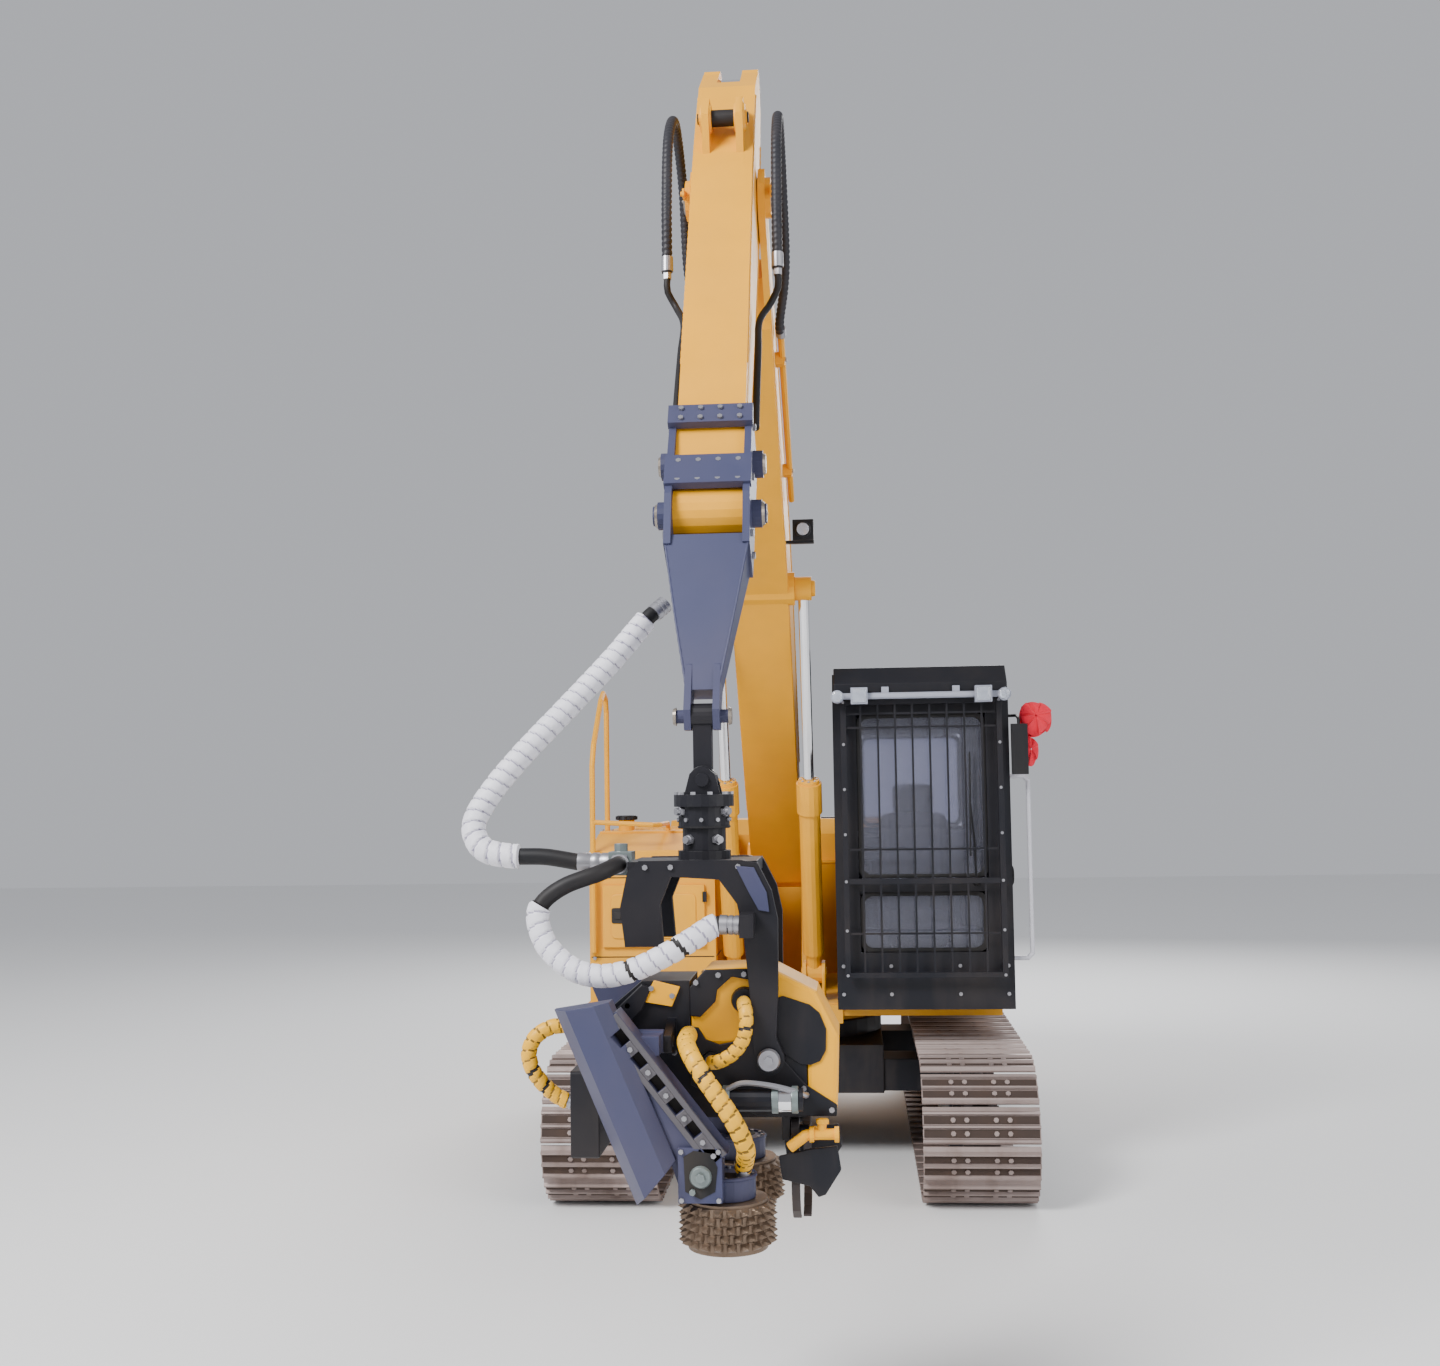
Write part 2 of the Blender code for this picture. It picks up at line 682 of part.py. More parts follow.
def cab_shell(parent):
    """Welded cab: floor, pillars and roof, with its windows and doorway cut through."""
    x0, x1, y0, y1, z0, z1 = cab_box()
    w = CAB_WALL
    (door_y0, door_z0), (door_y1, door_z1) = door_opening()
    cut = [
        prism("X", cab_outline(w), x0 + w, x1 - w),
        box(x0 + 0.13, x1 - 0.13, y0 - 0.1, y0 + 0.1, 1.70, 2.62),
        box(x0 + 0.135, x1 - 0.14, y0 - 0.1, y0 + 0.1, 1.29, 1.625),
        box(x0 - 0.1, x0 + 0.1, y0 + 0.16, y0 + 0.90, 1.55, 2.62),
        box(x0 - 0.1, x0 + 0.1, y0 + 0.98, y1 - 0.14, 1.85, 2.62),
        box(x0 + 0.16, x1 - 0.16, y1 - 0.1, y1 + 0.1, 1.95, 2.55),
        box(x1 - 0.1, x1 + 0.1, door_y0, door_y1, door_z0, door_z1),
        box(x1 - 0.1, x1 + 0.1, door_y1 + 0.12, y1 - 0.14, 1.85, 2.62),
        box(x0 + 0.2, x1 - 0.2, y0 + 0.35, y0 + 1.10, z1 - 0.1, z1 + 0.1),
    ]
    add = [prism("X", cab_outline(0.0), x0, x1)]
    knuckles = []
    for z in (door_z0 + 0.3, door_z1 - 0.3):
        knuckles.append(box(x1 + 0.0005, x1 + 0.022, door_y1 - 0.020, door_y1 + 0.04, z + 0.05 + GAP, z + 0.10))
        knuckles.append(box(x1 - 0.01, x1 + 0.021, door_y1 + 0.001, door_y1 + 0.039, z + 0.051, z + 0.099))
    fuse("cab_shell", "black_paint", parent, add, cut, knuckles)


def cab_door(parent):
    """Door leaf with an upper and a lower window, hinged at its rear edge."""
    _, x1, *_ = cab_box()
    (y0, z0), (y1, z1) = door_opening()
    seam = 0.006
    leaf = box(x1 - CAB_WALL + 0.01, x1, y0 + seam, y1 - seam, z0 + seam, z1 - seam)
    hinges = [rod_z(z - 0.05, z + 0.05, x1 + 0.012, y1 - seam - 0.012, 0.014, 12) for z in (z0 + 0.3, z1 - 0.3)]
    cut = [
        box(x1 - 0.2, x1 + 0.2, y0 + 0.09, y1 - 0.09, z0 + 0.62, z1 - 0.08),
        box(x1 - 0.2, x1 + 0.2, y0 + 0.09, y1 - 0.38, z0 + 0.12, z0 + 0.52),
    ]
    fuse("cab_door", "black_paint", parent, [leaf, *hinges], cut)


def front_guard(parent):
    """Bar guard in front of the windscreen, on four stand-offs."""
    x0, x1 = CAB_RIGHT + 0.045, CAB_RIGHT + CAB_WIDTH - 0.045
    low, high = 1.16, 2.70
    front = CAB_FRONT - 0.10
    bar, thin = 0.03, 0.011
    frame = [
        box(x0, x0 + bar, front, front + bar, low, high),
        box(x1 - bar, x1, front, front + bar, low, high),
        box(x0 + 0.001, x1 - 0.001, front + 0.001, front + bar - 0.001, low + 0.001, low + bar),
        box(x0 + 0.001, x1 - 0.001, front + 0.001, front + bar - 0.001, high - bar, high - 0.001),
        box(x0 + 0.002, x1 - 0.002, front + 0.002, front + bar - 0.002, 1.675, 1.705),
    ]
    uprights = 8
    for i in range(1, uprights + 1):
        x = x0 + bar / 2 + (x1 - x0 - bar) * i / (uprights + 1)
        frame.append(box(x - thin / 2, x + thin / 2, front + 0.006, front + 0.006 + thin, low + 0.01, high - 0.01))
    for z in (1.402, 1.865, 2.542, 2.62):
        frame.append(box(x0 + 0.01, x1 - 0.01, front + 0.012, front + 0.012 + thin, z - thin / 2, z + thin / 2))
    for x in (x0 + 0.003, x1 - 0.027):
        for z in (low + 0.04, high - 0.16):
            frame.append(box(x, x + 0.024, front + 0.01, CAB_FRONT - GAP, z, z + 0.024))
    fuse("front_guard", "black_paint", parent, frame)


def roof_guard(parent):
    """Roof plate with a drooping visor at the front."""
    x0, x1, y0, y1, _, z1 = cab_box()
    top = z1 + GAP
    outline = [
        (y1 - 0.10, top),
        (y1 - 0.10, top + 0.025),
        (y0 - 0.02, top + 0.025),
        (y0 - 0.13, top - 0.070),
        (y0 - 0.13, top - 0.125),
        (y0 - 0.11, top - 0.125),
        (y0 - 0.11, top - 0.080),
        (y0 + 0.0, top),
    ]
    fuse("roof_guard", "black_paint", parent, [prism("X", outline, x0 + 0.01, x1 - 0.015)])


def lamp_bar(parent):
    """Tube across the visor with two square and two round work lamps."""
    x0, x1 = CAB_RIGHT, CAB_RIGHT + CAB_WIDTH
    y, z = CAB_FRONT - 0.155, 2.715
    add = [rod_x(x0 + 0.03, x1 - 0.03, y, z, 0.018, 12)]
    for x in (0.416, 1.096):
        add.append(box(x - 0.046, x + 0.046, y - 0.055, y + 0.022, z - 0.045, z + 0.045))
    for x in (x0 + 0.03, x1 - 0.035):
        add.append(rod_y(y - 0.045, y + 0.02, x, z - 0.003, 0.036, 14))
    seat_y = CAB_FRONT - 0.13 - GAP
    for x in (0.56, 0.95):
        add.append(box(x - 0.02, x + 0.02, y + 0.005, seat_y, z + 0.002, z + 0.050))
    fuse("lamp_bar", "lamp_grey", parent, add)


def cab_mirror(parent):
    x1 = CAB_RIGHT + CAB_WIDTH
    y = CAB_FRONT + 0.05
    add = [
        bent_bar([(x1 + GAP, y, 2.60), (x1 + 0.02, y, 2.60), (x1 + 0.045, y - 0.03, 2.60), (x1 + 0.05, y - 0.10, 2.58), (x1 + 0.05, y - 0.12, 2.44)], 0.009, 8),
        box(x1 + 0.005, x1 + 0.095, y - 0.145, y - 0.105, 2.27, 2.55),
    ]
    fuse("cab_mirror", "mirror_black", parent, add)


def grab_rail(parent):
    x1 = CAB_RIGHT + CAB_WIDTH
    y = CAB_FRONT + 0.06
    points = [(x1 + GAP, y, 1.25), (x1 + 0.08, y, 1.25), (x1 + 0.105, y, 1.275), (x1 + 0.105, y, 2.235), (x1 + 0.08, y, 2.26), (x1 + GAP, y, 2.26)]
    fuse("cab_grab_rail", "lamp_grey", parent, [bent_bar(points, 0.013, 10)])


def rosette(parent):
    """Bow of red cloth tied round the mirror's arm, with two short tails."""
    x1 = CAB_RIGHT + CAB_WIDTH
    centre = Vector((x1 + 0.1492, CAB_FRONT + 0.005, 2.575))
    shape = bmesh.new()
    bmesh.ops.create_icosphere(shape, subdivisions=2, radius=1.0)
    for vertex in shape.verts:
        vertex.co = centre + Vector((vertex.co.x * 0.10, vertex.co.y * 0.062, vertex.co.z * 0.125))
    tail = bmesh.new()
    bmesh.ops.create_icosphere(tail, subdivisions=2, radius=1.0)
    for vertex in tail.verts:
        vertex.co = centre + Vector((vertex.co.x * 0.045 - 0.02, vertex.co.y * 0.035, vertex.co.z * 0.10 - 0.16))
    fuse("mirror_rosette", "red_cloth", parent, [shape, tail])


def operator_seat(parent):
    """Suspension base, cushion, back rest and the two lever consoles."""
    floor = cab_box()[4] + CAB_WALL + GAP
    x = CAB_RIGHT + CAB_WIDTH / 2
    back = 0.02
    add = [
        box(x - 0.17, x + 0.17, back - 0.42, back - 0.02, floor, floor + 0.26),
        box(x - 0.25, x + 0.25, back - 0.50, back + 0.02, floor + 0.24, floor + 0.40),
        prism("X", [(back - 0.08, floor + 0.38), (back + 0.04, floor + 0.38), (back + 0.16, floor + 1.02), (back + 0.05, floor + 1.04)], x - 0.24, x + 0.24),
        prism("X", [(back + 0.06, floor + 1.0), (back + 0.15, floor + 1.0), (back + 0.19, floor + 1.20), (back + 0.10, floor + 1.21)], x - 0.14, x + 0.14),
    ]
    for side in (-1, 1):
        low, high = sorted((x + side * 0.24, x + side * 0.36))
        add.append(box(low, high, back - 0.48, back + 0.04, floor + 0.30, floor + 0.56))
        add.append(rod_z(floor + 0.55, floor + 0.74, x + side * 0.30, back - 0.42, 0.022, 10))
    fuse("operator_seat", "seat_fabric", parent, add)


# ---------------------------------------------------------------- boom and stick


def side_frame(origin, angle):
    """Function from (along, above) in an arm's own side frame to (y, z)."""
    turn = math.radians(angle)
    along = (-math.cos(turn), math.sin(turn))
    above = (math.sin(turn), math.cos(turn))

    def place(a, b=0.0):
        return (origin[0] + a * along[0] + b * above[0], origin[1] + a * along[1] + b * above[1])

    return place


on_boom = side_frame(BOOM_FOOT, BOOM_ANGLE)
STICK_PIVOT = on_boom(BOOM_LENGTH)


def on_stick(s, n=0.0):
    """(y, z) of a point s down the stick from its pivot and n in front of its pin line."""
    y, z = side_frame(STICK_PIVOT, STICK_ANGLE)(s, 0.0)
    turn = math.radians(STICK_ANGLE)
    return (y - n * math.cos(turn + math.pi / 2), z + n * math.sin(turn + math.pi / 2))


BOOM_ROD_PIN = on_boom(2.186, 0.159)
STICK_TIP = on_stick(STICK_LENGTH)
STICK_CYLINDER_BASE = on_boom(2.25, 0.80)
STICK_CYLINDER_PIN = on_stick(-0.69, 0.10)
PIPE_END = 3.80


def boom(parent):
    """Cranked box boom with a bored foot, cylinder bosses, and a fork at its nose."""
    half = BOOM_WIDTH / 2
    body = [
        on_boom(0.0, -0.15), on_boom(1.70, 0.03), on_boom(2.20, 0.08), on_boom(3.40, -0.02), on_boom(BOOM_LENGTH - 0.60, -0.085),
        on_boom(BOOM_LENGTH - 0.40, 0.02),
        on_boom(BOOM_LENGTH - 0.40, 0.18), on_boom(3.20, 0.42), on_boom(2.45, 0.62), on_boom(1.95, 0.67), on_boom(1.45, 0.60), on_boom(0.0, 0.15),
    ]
    fy, fz = BOOM_FOOT
    add = [
        prism("X", body, BOOM_X - half, BOOM_X + half),
        rod_x(BOOM_X - half, BOOM_X + half, fy, fz, 0.15, 20),
    ]
    fork_inner, fork_outer = STICK_WIDTH / 2 + 0.006, STICK_WIDTH / 2 + 0.036
    nose = [
        on_boom(BOOM_LENGTH - 0.75, -0.05), on_boom(BOOM_LENGTH - 0.02, -0.12), on_boom(BOOM_LENGTH + 0.10, -0.05),
        on_boom(BOOM_LENGTH + 0.11, 0.05), on_boom(BOOM_LENGTH, 0.13), on_boom(BOOM_LENGTH - 0.75, 0.22),
    ]
    for side in (-1, 1):
        add.append(prism("X", nose, *sorted((BOOM_X + side * fork_inner, BOOM_X + side * fork_outer))))
        add.append(rod_x(*sorted((BOOM_X + side * (STICK_WIDTH / 2 + GAP), BOOM_X + side * 0.182)), *STICK_PIVOT, 0.085, 16))
    add.append(rod_x(BOOM_X - 0.19, BOOM_X + 0.19, *STICK_PIVOT, PIN, 12))
    boss = BOOM_CYLINDER_X - EYE_WIDTH / 2 - GAP
    add.append(rod_x(BOOM_X - boss, BOOM_X + boss, *BOOM_ROD_PIN, 0.09, 16))
    by, bz = STICK_CYLINDER_BASE
    for side in (-1, 1):
        x0, x1 = sorted((BOOM_X + side * (0.065 + GAP), BOOM_X + side * 0.10))
        ear = [on_boom(2.02, 0.60), on_boom(2.52, 0.55), on_boom(2.34, 0.83), on_boom(2.25, 0.88), on_boom(2.16, 0.83)]
        add.append(prism("X", ear, x0, x1))
    add.append(rod_x(BOOM_X - 0.12, BOOM_X + 0.12, by, bz, PIN, 16))
    bore = rod_x(BOOM_X - 0.4, BOOM_X + 0.4, fy, fz, bore_radius(PIN, 20), 20)
    fuse("boom", "machine_yellow", parent, add, [bore])


def boom_lamp(parent):
    y, z = on_boom(2.60, 0.20)
    x = BOOM_X + BOOM_WIDTH / 2 + GAP
    add = [
        box(x, x + 0.15, y - 0.02, y + 0.02, z - 0.10, z - 0.085),
        box(x + 0.04, x + 0.15, y - 0.055, y + 0.04, z - 0.09, z + 0.02),
        rod_y(y - 0.075, y - 0.05, x + 0.095, z - 0.035, 0.042, 14),
    ]
    fuse("boom_lamp", "black_paint", parent, add)


def boom_pipe(name, side, parent):
    """Steel line clamped along one side of the boom."""
    x = BOOM_X + side * (BOOM_WIDTH / 2 + 0.033)
    line = [on_boom(a, n) for a, n in ((2.62, 0.38), (2.9, 0.33), (3.5, 0.20), (PIPE_END, 0.14))]
    add = [bent_bar([(x, y, z) for y, z in line], 0.016, 8)]
    face, outer = BOOM_X + side * (BOOM_WIDTH / 2 + GAP), BOOM_X + side * (BOOM_WIDTH / 2 + 0.045)
    for a, n in ((2.85, 0.34), (3.65, 0.17)):
        y, z = on_boom(a, n)
        add.append(box(*sorted((face, outer)), y - 0.03, y + 0.03, z - 0.03, z + 0.03))
    fuse(name, "machine_yellow", parent, add)


def stick(parent):
    """Box stick with a cylinder boss behind its pivot and a bored boss at its tip."""
    half = STICK_WIDTH / 2
    body = [
        on_stick(-0.69, 0.20), on_stick(-0.40, 0.30), on_stick(0.10, 0.29), on_stick(0.45, 0.26), on_stick(STICK_LENGTH - 0.06, 0.105),
        on_stick(STICK_LENGTH - 0.06, -0.10), on_stick(0.75, -0.16), on_stick(0.12, -0.17), on_stick(-0.12, -0.14), on_stick(-0.69, 0.0),
    ]
    add = [
        prism("X", body, BOOM_X - half, BOOM_X + half),
        rod_x(BOOM_X - half, BOOM_X + half, *STICK_TIP, 0.105, 24),
        rod_x(BOOM_X - half + 0.002, BOOM_X + half - 0.002, *STICK_CYLINDER_PIN, 0.10, 20),
    ]
    for side in (-1, 1):
        x0, x1 = sorted((BOOM_X + side * 0.055, BOOM_X + side * 0.085))
        ear = [on_stick(-0.22, 0.27), on_stick(0.12, 0.27), on_stick(0.02, 0.42), on_stick(-0.10, 0.42)]
        add.append(prism("X", ear, x0, x1))
    add.append(rod_x(BOOM_X - 0.10, BOOM_X + 0.10, *on_stick(-0.04, 0.36), 0.03, 14))
    slot = [on_stick(-0.95, 0.45), on_stick(-0.50, 0.45), on_stick(-0.50, -0.30), on_stick(-0.95, -0.30)]
    cut = [
        prism("X", slot, BOOM_X - STICK_SLOT / 2, BOOM_X + STICK_SLOT / 2),
        rod_x(BOOM_X - 0.4, BOOM_X + 0.4, *STICK_PIVOT, bore_radius(PIN, 20), 20),
        rod_x(BOOM_X - 0.4, BOOM_X + 0.4, *STICK_TIP, bore_radius(PIN, 20), 20),
    ]
    fuse("stick", "machine_yellow", parent, add, cut)


def cylinder(name, centre_x, base, head, barrel_length, engaged, parents, base_width, base_pin, head_width):
    """Hydraulic cylinder: a barrel with its bored base eye and gland, and a chromed rod
    whose eye carries its own pin, so that the linkage is open there."""
    start, end = Vector((centre_x, *base)), Vector((centre_x, *head))
    along = (end - start).normalized()
    gland = start + along * barrel_length
    add = [
        rod(start + along * 0.13, gland, BARREL_RADIUS, 16),
        rod(start + along * 0.03, start + along * 0.15, 0.042, 14),
        rod(gland - along * 0.20, gland - along * 0.02, BARREL_RADIUS + 0.012, 16),
        rod_x(centre_x - base_width / 2, centre_x + base_width / 2, *base, 0.062, 16),
    ]
    cut = [
        rod_x(centre_x - 0.2, centre_x + 0.2, *base, bore_radius(base_pin, 16), 16),
        rod(start + along * BARREL_BOTTOM, gland + along * 0.05, ROD_RADIUS + GAP * 2, 14),
    ]
    fuse(name + "_barrel", "machine_yellow", parents[0], add, cut)
    add = [
        rod(gland - along * engaged, end - along * 0.03, ROD_RADIUS, 14),
        rod_x(centre_x - head_width / 2, centre_x + head_width / 2, *head, 0.062, 16),
    ]
    fuse(name + "_rod", "bright_steel", parents[1], add)


def adapter(parent):
    """Slip-on mount: side plates and straps round the stick's end, and a tapered arm that
    ends in the fork of the swinging link."""
    inner = STICK_WIDTH / 2 + GAP
    outer = inner + 0.025
    add = []
    cheek = [on_stick(s, n) for s, n in ((1.55, 0.150), (1.55, -0.145), (1.90, -0.140), (2.14, -0.13), (2.16, 0.07), (1.98, 0.135))]
    for side in (-1, 1):
        add.append(prism("X", cheek, *sorted((BOOM_X + side * inner, BOOM_X + side * outer))))
    for low, high, front in ((1.57, 1.655, 0.150), (1.81, 1.945, 0.126)):
        strap = [on_stick(low, front), on_stick(high, front - 0.008), on_stick(high, front + 0.022), on_stick(low, front + 0.030)]
        add.append(prism("X", strap, BOOM_X - outer - 0.004, BOOM_X + outer + 0.004))
    back = [on_stick(1.58, -0.155), on_stick(1.88, -0.145), on_stick(1.88, -0.115), on_stick(1.58, -0.130)]
    add.append(prism("X", back, BOOM_X - outer + 0.001, BOOM_X + outer - 0.001))
    add.append(rod_x(BOOM_X - 0.20, BOOM_X + 0.20, *STICK_TIP, PIN, 20))
    for side in (-1, 1):
        add.append(rod_x(*sorted((BOOM_X + side * (outer - 0.005), BOOM_X + side * (outer + 0.035))), *on_stick(ADAPTER_BOLT, 0.02), 0.05, 16))
        add.append(rod_x(*sorted((BOOM_X + side * (outer - 0.005), BOOM_X + side * (outer + 0.035))), *STICK_TIP, 0.05, 16))
    wide, narrow = outer - 0.002, 0.052
    link_pin = (HEAD_Y, ADAPTER_PIN_Z)

    def section(half, points):
        return [(BOOM_X + sign * half, *point) for point, sign in ((points[0], -1), (points[0], 1), (points[1], 1), (points[1], -1))]

    top = section(wide, (on_stick(2.12, 0.07), on_stick(2.08, -0.12)))
    bottom = section(narrow, (on_stick(2.71, -0.055), on_stick(2.66, -0.165)))
    add.append(loft(top, bottom))
    fork = [on_stick(2.50, -0.04), on_stick(2.62, -0.035), (link_pin[0] - 0.05, link_pin[1] + 0.02), (link_pin[0] - 0.03, link_pin[1] - 0.045), (link_pin[0] + 0.03, link_pin[1] - 0.045), (link_pin[0] + 0.05, link_pin[1] + 0.02), on_stick(2.50, -0.16)]
    for side in (-1, 1):
        add.append(prism("X", fork, *sorted((BOOM_X + side * (0.035 + GAP), BOOM_X + side * 0.058))))
    add.append(rod_x(BOOM_X - 0.085, BOOM_X + 0.085, *link_pin, LINK_PIN, 16))
    fuse("adapter", "slate_paint", parent, add)


# ---------------------------------------------------------------- harvester head


def swing_link(parent):
    """Link between the adapter's cross pin and the rotator's pin, which lies at right
    angles to it."""
    top, bottom = ADAPTER_PIN_Z, ADAPTER_PIN_Z - LINK_LENGTH
    x, y = BOOM_X, HEAD_Y
    add = [
        rod_x(x - 0.035, x + 0.035, y, top, 0.042, 20),
        box(x - 0.030, x + 0.030, y - 0.028, y + 0.028, bottom, top),
        rod_y(y - 0.032, y + 0.032, x, bottom, 0.045, 20),
    ]
    bore = bore_radius(LINK_PIN, 16)
    cut = [rod_x(x - 0.2, x + 0.2, y, top, bore, 16), rod_y(y - 0.2, y + 0.2, x, bottom, bore, 16)]
    fuse("swing_link", "black_paint", parent, add, cut)


def rotator(parent):
    x, y = BOOM_X, HEAD_Y
    pin_z = ADAPTER_PIN_Z - LINK_LENGTH
    low = ROTATOR_BOTTOM
    add = [
        rod_z(low, low + 0.072, x, y, 0.070, 24),
        rod_z(low + 0.070, low + 0.15, x, y, 0.083, 24),
        rod_z(low + 0.14, low + 0.178, x, y, 0.097, 24),
    ]
    for side in (-1, 1):
        y0, y1 = sorted((y + side * (0.032 + GAP), y + side * 0.055))
        ear = [(x - 0.06, low + 0.17), (x + 0.06, low + 0.17), (x + 0.04, pin_z + 0.02), (x + 0.015, pin_z + 0.04), (x - 0.015, pin_z + 0.04), (x - 0.04, pin_z + 0.02)]
        add.append(prism("Y", ear, y0, y1))
    add.append(rod_y(y - 0.065, y + 0.065, x, pin_z, LINK_PIN, 16))
    fuse("rotator", "black_paint", parent, add)


def tilt_frame(parent):
    """Hanger under the rotator: a top plate and two curved legs down to the tilt pins."""
    x, y = BOOM_X, HEAD_Y
    top = ROTATOR_BOTTOM - GAP
    leg = [
        (-0.30, 1.995), (0.02, 1.995), (0.07, 1.985), (0.112, 1.90), (0.130, 1.813), (0.128, 1.60), (0.120, 1.45),
        *arc(TILT_PIVOT, 0.048, 20, -200, 9),
        (0.045, 1.50), (0.039, 1.598), (0.023, 1.771), (0.005, 1.86), (-0.05, 1.935),
        (-0.20, 1.945), (-0.235, 1.86), (-0.225, 1.73), (-0.345, 1.73), (-0.36, 1.85), (-0.336, 1.96),
    ]
    add = [
        rod_z(1.97, top, x, y, 0.085, 24),
        box(-0.336, 0.068, y - HANGER_HALF + 0.01, y + HANGER_HALF - 0.01, 1.955, 1.992),
    ]
    for side in (-1, 1):
        add.append(prism("Y", leg, *sorted((y + side * (HANGER_HALF - HANGER_PLATE), y + side * HANGER_HALF))))
    front = y - HANGER_HALF
    add.append(box(0.018, 0.060, front - 0.11, front + 0.01, 1.765, 1.835))
    bore = rod_y(y - 0.5, y + 0.5, *TILT_PIVOT, bore_radius(TILT_PIN, 16), 16)
    fuse("tilt_frame", "black_paint", parent, add, [bore])


def hose_block(parent):
    """Hydraulic distributor block beside the hanger's top plate."""
    x = -0.336 - GAP
    y = HEAD_Y - 0.03
    add = [box(x - 0.075, x, y - 0.045, y + 0.045, 1.945, 2.02), rod_z(2.01, 2.045, x - 0.04, y, 0.022, 12)]
    fuse("hose_block", "lamp_grey", parent, add)


def head_frame(parent):
    """Main weldment of the head, with the tilt pins, the arm hinges and the knife
    cylinder across its front."""
    y = HEAD_Y
    low = 1.20
    body = [(-0.42, low), (0.20, low), (0.2097, low + 0.01), (0.2097, 1.4197), (-0.1503, 1.4197), (-0.1503, 1.62), (-0.30, 1.62), (-0.42, 1.52)]
    add = [prism("Y", body, y - HEAD_HALF, y + HEAD_HALF)]
    add.append(rod_y(y - HANGER_HALF - 0.012, y + HANGER_HALF + 0.012, *TILT_PIVOT, TILT_PIN, 16))
    add.append(rod_x(-0.03, 0.20, y - 0.215, 1.27, 0.036, 16))
    add.append(box(-0.02, 0.02, y - 0.21, y - 0.12, 1.235, 1.28))
    add.append(box(0.16, 0.19, y - 0.21, y - 0.12, 1.235, 1.28))
    for side in (-1, 1):
        hinge = y + side * ARM_HINGE_Y
        for x0, x1 in ((-0.375, -0.35), (-0.22, -0.195)):
            ear = [
                (y + side * 0.11, ARM_HINGE_Z - 0.06),
                (hinge + side * 0.025, ARM_HINGE_Z - 0.03),
                (hinge + side * 0.03, ARM_HINGE_Z + 0.02),
                (y + side * 0.11, ARM_HINGE_Z + 0.06),
            ]
            add.append(prism("X", ear, x0, x1))
        add.append(rod_x(-0.38, -0.19, hinge, ARM_HINGE_Z, ARM_PIN, 12))
    for side in (-1, 1):
        knife_y = y + side * 0.10
        add.append(box(0.13, 0.155, knife_y - 0.03, knife_y + 0.03, 1.13, 1.21))
        add.append(rod_x(0.14, 0.215, knife_y, 1.155, ARM_PIN, 12))
    fuse("head_frame", "black_paint", parent, add)


def head_cowl(parent):
    y = HEAD_Y
    outline = [(-0.15, 1.42), (-0.15, 1.60), (-0.10, 1.655), (0.10, 1.66), (0.244, 1.585), (0.311, 1.449), (0.302, 1.218), (0.21, 1.218), (0.21, 1.42)]
    fuse("head_cowl", "head_yellow", parent, [prism("Y", outline, y - HEAD_HALF, y + HEAD_HALF)])


def saw_box(parent):
    """Narrow box across the head's left end, open below, in which the saw bar parks."""
    y = HEAD_Y
    x0, x1 = -0.51, -0.42 - GAP
    outer = box(x0, x1, y - 0.25, y + 0.25, 1.10, 1.36)
    middle = (x0 + x1) / 2
    slot = box(middle - SAW_SLOT / 2, middle + SAW_SLOT / 2, y - 0.235, y + 0.235, 1.0, 1.34)
    fuse("saw_box", "slate_paint", parent, [outer], [slot])


def saw_bar(parent):
    """Guide bar of the cross-cut saw with its chain, and the hub it swings on."""
    y = HEAD_Y + 0.19
    z = 1.17
    x = (-0.51 - 0.42 - GAP) / 2
    outline = [(y + 0.026, z - 0.028), (y + 0.026, z + 0.028), (y - 0.34, z + 0.04)]
    outline += arc((y - 0.36, z), 0.04, 90, 270, 6)
    outline.append((y - 0.34, z - 0.04))
    hub = SAW_SLOT / 2 - GAP
    add = [prism("X", outline, x - 0.006, x + 0.006), rod_x(x - hub, x + hub, y, z, 0.028, 16)]
    fuse("saw_bar", "bright_steel", parent, add)


